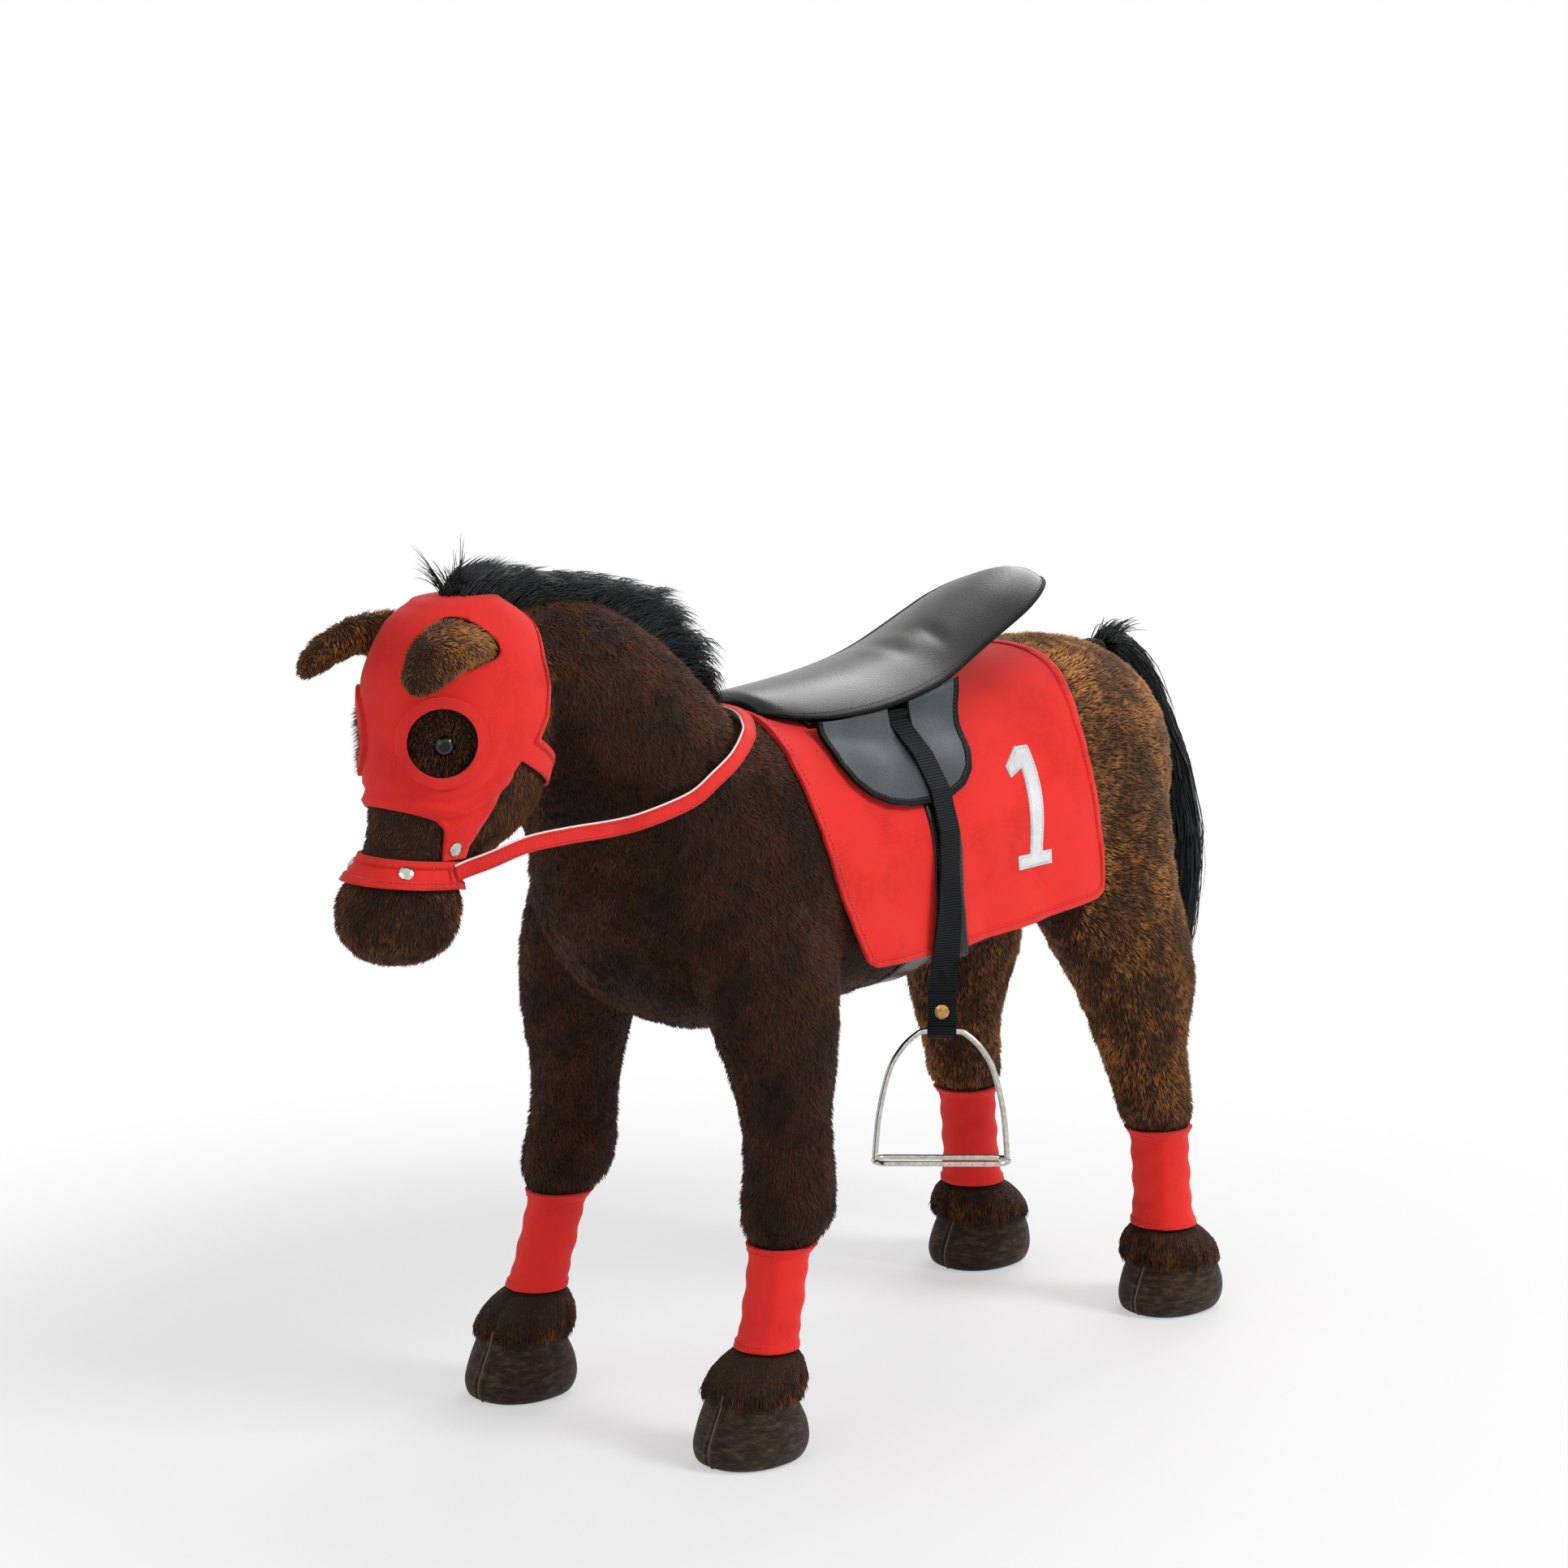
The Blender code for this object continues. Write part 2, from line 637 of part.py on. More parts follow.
def flap_grid(drape, seat_table, side):
    """Flap: from the seat's middle down on to the girth and the cloth."""
    y = np.linspace(-0.182, 0.052, 8)
    station = drape[0][:, 0, 1]
    surface = drape[0] + drape[1] * FLAP_LIFT

    def along_rows(grid):
        rows = [[np.interp(y, station, grid[:, column, k]) for k in range(3)] for column in FLAP_COLUMNS]
        return np.transpose(np.array(rows), (0, 2, 1))

    on_back, normals = along_rows(surface), along_rows(drape[1])
    first = on_back[0].copy()
    height, half, drop = (np.interp(y, seat_table[:, 0], seat_table[:, k]) for k in (1, 2, 3))
    under = height - drop * np.minimum(first[:, 0] / half, 1.0) ** 2
    first[:, 2] = np.maximum(under, first[:, 2] + 0.004)
    first_normal = normals[0] + np.array([0.9, 0.0, -0.6])
    points = np.concatenate([first[None], on_back], 0)
    normals = np.concatenate([first_normal[None], normals], 0)
    normals /= np.linalg.norm(normals, axis=2, keepdims=True)
    mirrored = np.array([side, 1, 1])
    return points * mirrored, normals * mirrored


def ear_form(side):
    """Ear: rows of its spine, half width, half thickness and the hollow of its under side."""
    rows = [
        (0.038, -0.556, 0.778, 0.020, 0.0120, 0.001),
        (0.048, -0.582, 0.785, 0.026, 0.0150, 0.003),
        (0.057, -0.608, 0.786, 0.029, 0.0165, 0.004),
        (0.064, -0.634, 0.779, 0.028, 0.0160, 0.004),
        (0.069, -0.658, 0.766, 0.023, 0.0145, 0.002),
        (0.071, -0.674, 0.753, 0.014, 0.0100, 0.001),
    ]
    table = blend_rows(rows, 9)
    spine = table[:, :3] * np.array([side, 1, 1])
    along = np.gradient(spine, axis=0)
    along /= np.linalg.norm(along, axis=1, keepdims=True)
    outer = np.array([0.77 * side, 0.33, -0.49])
    wide = outer - along * (along @ outer)[:, None]
    wide /= np.linalg.norm(wide, axis=1, keepdims=True)
    back = np.cross(along, wide) * -side
    angle = np.linspace(0, 2 * math.pi, 10, endpoint=False)
    sideways = table[:, 3:4] * np.cos(angle)
    upward = table[:, 4:5] * np.sin(angle) - table[:, 5:6] * np.cos(angle) ** 2
    rings = spine[:, None] + sideways[..., None] * wide[:, None] + upward[..., None] * back[:, None]
    return Loft(rings, spine[0] - along[0] * 0.004, spine[-1] + along[-1] * 0.004)


def mane_form():
    """Mane: rows of its root in the crest, its outer line and its half thickness."""
    rows = [
        (-0.562, 0.804, -0.569, 0.832, 0.008),
        (-0.540, 0.798, -0.540, 0.843, 0.014),
        (-0.500, 0.798, -0.497, 0.845, 0.017),
        (-0.460, 0.790, -0.459, 0.839, 0.018),
        (-0.415, 0.784, -0.408, 0.833, 0.019),
        (-0.372, 0.766, -0.346, 0.821, 0.019),
        (-0.338, 0.742, -0.300, 0.805, 0.019),
        (-0.300, 0.708, -0.250, 0.766, 0.018),
        (-0.272, 0.684, -0.232, 0.734, 0.014),
        (-0.258, 0.672, -0.230, 0.712, 0.008),
    ]
    return sagittal_form(rows, 11, 10, (-0.572, 0.822), (-0.240, 0.684))


def tail_form():
    """Tail hair: rows of its middle line and its radius."""
    rows = [
        (0.367, 0.668, 0.0105),
        (0.388, 0.662, 0.0165),
        (0.414, 0.630, 0.0215),
        (0.440, 0.585, 0.0255),
        (0.462, 0.535, 0.0295),
        (0.474, 0.466, 0.0345),
        (0.474, 0.405, 0.0340),
        (0.470, 0.345, 0.0290),
        (0.478, 0.305, 0.0170),
        (0.484, 0.290, 0.0080),
    ]
    table = blend_rows(rows, 12)
    middle = np.stack([np.zeros(len(table)), table[:, 0], table[:, 1]], 1)
    along = np.gradient(middle, axis=0)
    along /= np.linalg.norm(along, axis=1, keepdims=True)
    across = np.array([1.0, 0.0, 0.0])
    out = np.cross(along, across)
    angle = np.linspace(0, 2 * math.pi, 10, endpoint=False)
    turn = np.cos(angle)[None, :, None] * across + np.sin(angle)[None, :, None] * out[:, None]
    rings = middle[:, None] + table[:, 2][:, None, None] * turn
    return Loft(rings, middle[0] - along[0] * 0.004, middle[-1] + along[-1] * 0.004)


def ring_solid(name, rings):
    """A body that closes on itself both ways, such as a sleeve: its rings go down outside and up inside."""
    rings = np.array(rings, float)
    rows, columns = rings.shape[:2]
    faces = []
    for i in range(rows):
        for j in range(columns):
            i2, j2 = (i + 1) % rows, (j + 1) % columns
            faces.append((i * columns + j, i * columns + j2, i2 * columns + j2, i2 * columns + j))
    verts = rings.reshape(-1, 3)
    if signed_volume(verts, faces) < 0:
        faces = [tuple(reversed(face)) for face in faces]
    return mesh_object(name, verts, faces)


def ring_at(loft, height, grow):
    """The ring of an upright loft at a height, grown outward."""
    rings = loft.rings
    levels = rings[:, 0, 2]
    ring = np.stack([
        np.stack([np.interp(height, levels, rings[:, j, k]) for k in range(3)]) for j in range(rings.shape[1])
    ])
    outward = ring - ring.mean(0)
    outward[:, 2] = 0
    return ring + outward / np.linalg.norm(outward, axis=1, keepdims=True) * grow


def ring_heights(loft, low, high):
    """Heights of the loft's own rings between two heights."""
    return [float(z) for z in loft.rings[:, 0, 2] if low + 0.0005 < z < high - 0.0005]


def wrap_rings(leg_loft, bottom, top):
    """Leg wrap: a sleeve along the leg with a raised hem at each end."""
    outer = FIBRE_GAP + WRAP_THICKNESS
    hem = outer + HEM_RAISE
    middle = ring_heights(leg_loft, bottom + HEM_HEIGHT + 0.001, top - HEM_HEIGHT - 0.001)
    rows = [(top, hem), (top - HEM_HEIGHT, hem), (top - HEM_HEIGHT - 0.0005, outer)]
    rows += [(height, outer) for height in reversed(middle)]
    rows += [(bottom + HEM_HEIGHT + 0.0005, outer), (bottom + HEM_HEIGHT, hem), (bottom, hem)]
    rows += [(height, FIBRE_GAP) for height in [bottom, *ring_heights(leg_loft, bottom, top), top]]
    return [ring_at(leg_loft, height, grow) for height, grow in rows]


def cuff_rings(leg_loft, hoof_loft, bottom, top):
    """Fetlock fur: up inside over the hoof's rim and along the leg, then down outside."""
    rings = [ring_at(hoof_loft, z, FIBRE_GAP) for z in [bottom, *ring_heights(hoof_loft, bottom, HOOF_HEIGHT)]]
    rim = ring_at(hoof_loft, HOOF_HEIGHT, FIBRE_GAP)
    rim[:, 2] += FIBRE_GAP
    rings.append(rim)
    foot = HOOF_HEIGHT + 0.0018
    rings += [ring_at(leg_loft, z, FIBRE_GAP) for z in [foot, *ring_heights(leg_loft, foot, top), top]]
    rings += [ring_at(leg_loft, top - 0.0005, 0.0090), ring_at(leg_loft, HOOF_HEIGHT + 0.0060, 0.0155)]
    rings += [ring_at(hoof_loft, (bottom + HOOF_HEIGHT) / 2, 0.0062)]
    rings += [ring_at(hoof_loft, bottom - 0.0005, 0.0030)]
    return rings


# Body
torso_loft = torso_form()
torso = torso_loft.solid("torso")
finish(torso, *PLUSH)
torso_cutter = torso_loft.solid("torso_clearance", SEAT_GAP, CUTTERS)

neck_loft = neck_form()
neck = neck_loft.solid("neck")
finish(neck, *PLUSH)
cut(neck, torso_cutter)
neck_cutter = neck_loft.solid("neck_clearance", SEAT_GAP, CUTTERS)

head_loft = head_form()
head = head_loft.solid("head")
finish(head, *PLUSH)
cut(head, neck_cutter)
head_cutter = head_loft.solid("head_clearance", SEAT_GAP, CUTTERS)

# Inner steel frame
SPINE_HEIGHT = BEAM_HEIGHT + FRAME_RADIUS + SPINE_RADIUS + SEAT_GAP


def leg_frame(name, corners, grow=0.0, group=HORSE):
    right = [(-x, y, z) for x, y, z in reversed(corners)]
    return bar(name, bent(corners + right, 0.020, 1), FRAME_RADIUS + grow, group)


def feet_down(corners):
    """The corners with the foot reaching the clearance gap lower."""
    return [(corners[0][0], corners[0][1], corners[0][2] - SEAT_GAP), *corners[1:]]


FORE_FRAME = [
    (FORE_TRACK / 2, -LEG_SPACING / 2 - 0.004, FOOT_HEIGHT), (0.1450, FORE_BEAM_Y, 0.236),
    (0.1300, FORE_BEAM_Y, 0.370), (0.0860, FORE_BEAM_Y, BEAM_HEIGHT),
]
HIND_FRAME = [
    (HIND_TRACK / 2, LEG_SPACING / 2 - 0.004, FOOT_HEIGHT), (0.1265, HIND_BEAM_Y + 0.049, 0.236),
    (0.1165, HIND_BEAM_Y + 0.032, 0.345),
    (0.1000, HIND_BEAM_Y, 0.460), (0.0700, HIND_BEAM_Y, BEAM_HEIGHT),
]
front_leg_frame = leg_frame("front_leg_frame", FORE_FRAME)
rear_leg_frame = leg_frame("rear_leg_frame", HIND_FRAME)
front_frame_cutter = leg_frame("front_frame_clearance", feet_down(FORE_FRAME), SEAT_GAP, CUTTERS)
rear_frame_cutter = leg_frame("rear_frame_clearance", feet_down(HIND_FRAME), SEAT_GAP, CUTTERS)

spine_path = [(0, FORE_BEAM_Y - 0.022, SPINE_HEIGHT), (0, HIND_BEAM_Y + 0.022, SPINE_HEIGHT)]
neck_foot_y = FORE_BEAM_Y + 0.053
neck_path = [(0, neck_foot_y, SPINE_HEIGHT), (0, neck_foot_y - NECK_TUBE_REACH, SPINE_HEIGHT + NECK_TUBE_RISE)]
spine_frame = bar("spine_frame", spine_path, SPINE_RADIUS, resolution=3)
neck_tube = bar("neck_tube", neck_path, SPINE_RADIUS - 0.001, CUTTERS)
combine(spine_frame, neck_tube, "UNION")
longer_spine = [(0, spine_path[0][1] - SEAT_GAP, SPINE_HEIGHT), (0, spine_path[1][1] + SEAT_GAP, SPINE_HEIGHT)]
longer_neck = [neck_path[0], (0, neck_path[1][1] - SEAT_GAP, neck_path[1][2] + SEAT_GAP)]
spine_cutter = bar("spine_clearance", longer_spine, SPINE_RADIUS + SEAT_GAP, CUTTERS, 3)
neck_tube_cutter = bar("neck_tube_clearance", longer_neck, SPINE_RADIUS - 0.001 + SEAT_GAP, CUTTERS)

bolt_cutters = []
for bolt_name, bolt_y in (("front_frame_bolt", FORE_BEAM_Y), ("rear_frame_bolt", HIND_BEAM_Y)):
    above = SPINE_HEIGHT + SPINE_RADIUS + SEAT_GAP
    below = BEAM_HEIGHT - FRAME_RADIUS - SEAT_GAP
    profile = [(0, above + 0.005), (0.0065, above + 0.005), (0.0065, above), (BOLT_RADIUS, above)]
    profile += [(BOLT_RADIUS, below), (0.0065, below), (0.0065, below - 0.005), (0, below - 0.005)]
    bolt = turned(bolt_name, profile, (0, bolt_y, 0), (0, 0, 1), 10)
    finish(bolt, *STEEL)
    middle = (0, bolt_y, (above + below) / 2)
    room = disc(bolt_name + "_clearance", middle, (0, 0, 1), 0.0069, above - below + 0.0106, 12)
    shank = disc(bolt_name + "_hole", middle, (0, 0, 1), BOLT_RADIUS + SEAT_GAP, 0.060, 12)
    bolt_cutters.append(room)
    cut(spine_frame, shank)
    cut(front_leg_frame if bolt_y < 0 else rear_leg_frame, shank)
for frame in (front_leg_frame, rear_leg_frame, spine_frame):
    finish(frame, *STEEL)
cut(torso, front_frame_cutter, rear_frame_cutter, spine_cutter, neck_tube_cutter, *bolt_cutters)
cut(neck, neck_tube_cutter)

# Legs, hooves, fetlock cuffs and wraps
LEGS = {
    "fore_leg_left": (FORE_TRACK / 2, -LEG_SPACING / 2, FORE_ROWS),
    "fore_leg_right": (-FORE_TRACK / 2, -LEG_SPACING / 2, FORE_ROWS),
    "hind_leg_left": (HIND_TRACK / 2, LEG_SPACING / 2, HIND_ROWS),
    "hind_leg_right": (-HIND_TRACK / 2, LEG_SPACING / 2, HIND_ROWS),
}
for leg_name, (foot_x, foot_y, leg_rows) in LEGS.items():
    frame_cutter = front_frame_cutter if foot_y < 0 else rear_frame_cutter
    leg_loft = limb_form(foot_x, foot_y, leg_rows, LIMB_STATIONS)
    leg = leg_loft.solid(leg_name)
    finish(leg, *PLUSH)
    cut(leg, torso_cutter, frame_cutter)

    hoof_loft = hoof_form(foot_x, foot_y)
    hoof = hoof_loft.solid(leg_name.replace("leg", "hoof"))
    finish(hoof, *SUEDE)
    cut(hoof, frame_cutter)

    wrap_ends = FORE_WRAP if foot_y < 0 else HIND_WRAP
    wrap = ring_solid(leg_name.replace("leg", "wrap"), wrap_rings(leg_loft, *wrap_ends))
    finish(wrap, *RED_CLOTH)

    cuff_ends = FORE_CUFF if foot_y < 0 else HIND_CUFF
    cuff = ring_solid(leg_name.replace("leg", "cuff"), cuff_rings(leg_loft, hoof_loft, *cuff_ends))
    finish(cuff, *PLUSH)

# Ears and eyes
ear_cutters = []
for side_name, side in (("left", 1), ("right", -1)):
    ear_loft = ear_form(side)
    ear = ear_loft.solid("ear_" + side_name)
    finish(ear, *PLUSH)
    cut(ear, head_cutter)
    ear_cutters.append(ear_loft.solid("ear_opening_" + side_name, 0.0012, CUTTERS))

    look = (0.78 * side, -0.62, -0.02)
    centre = (0.0449 * side, -0.6105, 0.697)
    eye = ball("eye_" + side_name, centre, EYE_RADIUS, segments=12)
    finish(eye, *GLASS)
    socket = ball("eye_socket_" + side_name, centre, EYE_RADIUS + SEAT_GAP, CUTTERS, 12)
    cut(head, socket)

# Racing hood, noseband and chin strap
HOOD_OUTER = HOOD_INNER + HOOD_THICKNESS
hood_cutter = head_loft.solid("hood_clearance", HOOD_OUTER + SEAT_GAP, CUTTERS)
HOOD_OUTLINE = [
    (-0.720, 0.645), (-0.648, 0.6405), (-0.632, 0.635), (-0.618, 0.629), (-0.6125, 0.618), (-0.612, 0.5925),
    (-0.588, 0.5925), (-0.586, 0.604), (-0.562, 0.647), (-0.541, 0.677), (-0.455, 0.630), (-0.440, 0.646),
    (-0.518, 0.694), (-0.5035, 0.712), (-0.4975, 0.737), (-0.4975, 0.765), (-0.492, 0.786), (-0.483, 0.803),
    (-0.480, 0.860), (-0.720, 0.860),
]
hood = head_loft.shell("racing_hood", HOOD_INNER, HOOD_THICKNESS)
finish(hood, *RED_CLOTH)
keep(hood, side_prism("hood_outline", HOOD_OUTLINE, -0.12, 0.12))
cut(hood, neck_cutter, *ear_cutters)

NOSEBAND_OUTLINE = [
    (-0.720, 0.6035), (-0.660, 0.5975), (-0.600, 0.5905), (-0.600, 0.5665), (-0.660, 0.5735), (-0.720, 0.5795),
]
noseband = head_loft.shell("noseband", HOOD_INNER, HOOD_THICKNESS)
finish(noseband, *RED_CLOTH)
keep(noseband, side_prism("noseband_outline", NOSEBAND_OUTLINE, -0.12, 0.12))

CHIN_OUTLINE = [(-0.5997, 0.5905), (-0.540, 0.580), (-0.540, 0.552), (-0.5997, 0.5665)]
chin_strap = head_loft.shell("chin_strap", HOOD_INNER, HOOD_THICKNESS)
finish(chin_strap, *RED_CLOTH)
keep(chin_strap, side_prism("chin_outline", CHIN_OUTLINE, -0.12, 0.12))

SNAPS = (("nose_snap_", (0.0320, -0.6460, 0.5830)), ("cheek_snap_", (0.0445, -0.6005, 0.6030)))
for side_name, side in (("left", 1), ("right", -1)):
    look = (0.77 * side, -0.638, 0.0)
    centre = (0.0486 * side, -0.6155, 0.700)
    hole = disc("eye_hole_" + side_name, centre, look, EYE_HOLE_RADIUS, 0.050, 16)
    cut(hood, hole)
    rim = head_loft.shell("eye_rim_" + side_name, HOOD_OUTER + SEAT_GAP, RIM_THICKNESS)
    finish(rim, *RED_CLOTH)
    keep(rim, disc("rim_edge_" + side_name, centre, look, EYE_HOLE_RADIUS + RIM_WIDTH, 0.050, 16))
    cut(rim, hole)
    bounds = [(-0.7, 0.64), (-0.5, 0.64), (-0.5, 0.76), (-0.7, 0.76)]
    keep(rim, side_prism("rim_bounds_" + side_name, bounds, *sorted((0.004 * side, 0.12 * side))))

    for snap_name, point in SNAPS:
        seat_point, normal = head_loft.touch((point[0] * side, point[1], point[2]), HOOD_OUTER)
        profile = [(0, 0.0032), (0.6 * SNAP_RADIUS, 0.0028), (0.9 * SNAP_RADIUS, 0.0018), (SNAP_RADIUS, 0.0009)]
        profile += [(SNAP_RADIUS, -0.0030), (0, -0.0030)]
        snap = turned(snap_name + side_name, profile, seat_point, normal, 12)
        cut(snap, hood_cutter)
        finish(snap, *STEEL)

# Mane
mane = mane_form().solid("mane")
finish(mane, *LONG_HAIR)
cut(mane, neck_cutter, hood_cutter)

# Saddle cloth, girth and numbers
CLOTH_OUTER = CLOTH_INNER + CLOTH_THICKNESS
CLOTH_OUTLINE = [
    (-0.202, 0.730), (-0.202, 0.674), (-0.214, 0.657), (-0.222, 0.633), (-0.223, 0.601), (-0.218, 0.567),
    (-0.209, 0.531), (-0.197, 0.502), (-0.184, 0.475), (-0.170, 0.446), (-0.160, 0.440), (-0.075, 0.439),
    (0.000, 0.443), (0.080, 0.448), (0.168, 0.457), (0.181, 0.462), (0.185, 0.474), (0.184, 0.500),
    (0.178, 0.541), (0.172, 0.574), (0.171, 0.598), (0.176, 0.628), (0.189, 0.656), (0.202, 0.676),
    (0.208, 0.690), (0.208, 0.730),
]
drape = drape_grid()
saddle_cloth = layer("saddle_cloth", *drape, CLOTH_INNER, CLOTH_THICKNESS)
finish(saddle_cloth, *RED_CLOTH)
keep(saddle_cloth, side_prism("cloth_outline", CLOTH_OUTLINE, -0.20, 0.20))
cut(saddle_cloth, neck_cutter)
cloth_cutter = layer("cloth_clearance", *drape, -0.035, 0.035 + CLOTH_OUTER + SEAT_GAP, CUTTERS)

NUMBER_OUTLINE = [
    (0.046, 0.497), (0.105, 0.497), (0.105, 0.512), (0.0895, 0.512), (0.101, 0.620), (0.083, 0.620),
    (0.056, 0.603), (0.057, 0.592), (0.077, 0.599), (0.067, 0.512), (0.046, 0.512),
]
NUMBER_MIDDLE = 0.0755
turned_number = [(2 * NUMBER_MIDDLE - y, z) for y, z in NUMBER_OUTLINE]
NUMBERS = (("left", 0.02, 0.20, NUMBER_OUTLINE), ("right", -0.20, -0.02, turned_number))
for side_name, low, high, outline in NUMBERS:
    number = layer("number_" + side_name, *drape, CLOTH_OUTER + FIBRE_GAP, NUMBER_THICKNESS)
    finish(number, *WHITE_FELT)
    keep(number, side_prism("number_outline_" + side_name, outline, low, high))

GIRTH_UNDER = [
    (0.1480, 0.4275, 0.55), (0.1250, 0.4170, 0.35), (0.1000, 0.4065, 0.33), (0.0750, 0.3955, 0.33),
    (0.0500, 0.3880, 0.20), (0.0250, 0.3840, 0.10), (0.0, 0.3830, 0.0),
]
girth_rows = []
for column in GIRTH_COLUMNS:
    point, normal = across_back(drape, CLOTH_OUTER + SEAT_GAP + GIRTH_THICKNESS / 2 + 0.0006, GIRTH_Y, column)
    girth_rows.append((*point, *normal))
for x, z, lean in GIRTH_UNDER:
    girth_rows.append((x, GIRTH_Y, z, lean, 0.0, -math.sqrt(1 - lean * lean)))
girth_rows += [(-x, y, z, -lx, ly, lz) for x, y, z, lx, ly, lz in reversed(girth_rows[:-1])]
girth = ribbon("girth", girth_rows, 0, GIRTH_WIDTH, GIRTH_THICKNESS)
finish(girth, *LEATHERETTE)

# Saddle
seat_loft, seat_table = seat_form()
saddle_seat = seat_loft.solid("saddle_seat")
finish(saddle_seat, *LEATHERETTE)
cut(saddle_seat, cloth_cutter)
seat_cutter = seat_loft.solid("seat_clearance", SEAT_GAP, CUTTERS)

panel_rings = []
for y in np.linspace(-0.158, 0.046, 8):
    middle, half, drop = (float(np.interp(y, seat_table[:, 0], seat_table[:, k])) for k in (1, 2, 3))
    edge = middle - drop * min(1.0, PANEL_HALF_WIDTH / half) ** 2
    inner = middle - drop * (0.5 * PANEL_HALF_WIDTH / half) ** 2
    w = PANEL_HALF_WIDTH
    outline = [(w, 0.636), (w, edge), (w / 2, inner), (0.0, middle), (-w / 2, inner), (-w, edge), (-w, 0.636)]
    panel_rings.append([(x, y, z) for x, z in outline])
panel_rings = np.array(panel_rings)
saddle_panel = Loft(panel_rings, panel_rings[0].mean(0), panel_rings[-1].mean(0)).solid("saddle_panel")
finish(saddle_panel, *LEATHERETTE)
cut(saddle_panel, seat_cutter, cloth_cutter)

FLAP_OUTLINE = [
    (-0.152, 0.720), (-0.166, 0.652), (-0.168, 0.630), (-0.161, 0.614), (-0.146, 0.600), (-0.124, 0.590),
    (-0.098, 0.585), (-0.066, 0.584), (-0.036, 0.587), (-0.014, 0.594), (0.004, 0.606), (0.018, 0.624),
    (0.030, 0.648), (0.038, 0.672), (0.042, 0.720),
]
flaps = {}
for side_name, side in (("left", 1), ("right", -1)):
    flap_points = flap_grid(drape, seat_table, side)
    flap = layer("saddle_flap_" + side_name, *flap_points, 0.0, FLAP_THICKNESS)
    finish(flap, *GREY_LEATHERETTE)
    keep(flap, side_prism("flap_outline_" + side_name, FLAP_OUTLINE, *sorted((0.04 * side, 0.20 * side))))

    inner_end = (0.058 * side, BAR_Z + 0.0055)
    rod_y = (BAR_Y - BAR_LENGTH / 2, BAR_Y + BAR_LENGTH / 2)
    corners = [
        (inner_end[0], rod_y[0], inner_end[1]), (BAR_X * side, rod_y[0], BAR_Z),
        (BAR_X * side, rod_y[1], BAR_Z), (inner_end[0], rod_y[1], inner_end[1]),
    ]
    stirrup_bar = bar("stirrup_bar_" + side_name, bent(corners, 0.006), BAR_RADIUS)
    finish(stirrup_bar, *STEEL)
    reach = inner_end[0] - side * SEAT_GAP
    deeper = [(reach, rod_y[0], inner_end[1]), *corners[1:3], (reach, rod_y[1], inner_end[1])]
    bar_cutter = bar("stirrup_bar_clearance_" + side_name, bent(deeper, 0.006), BAR_RADIUS + SEAT_GAP, CUTTERS)
    cut(flap, seat_cutter, bar_cutter)
    flaps[side_name] = flap
    cut(saddle_panel, bar_cutter)

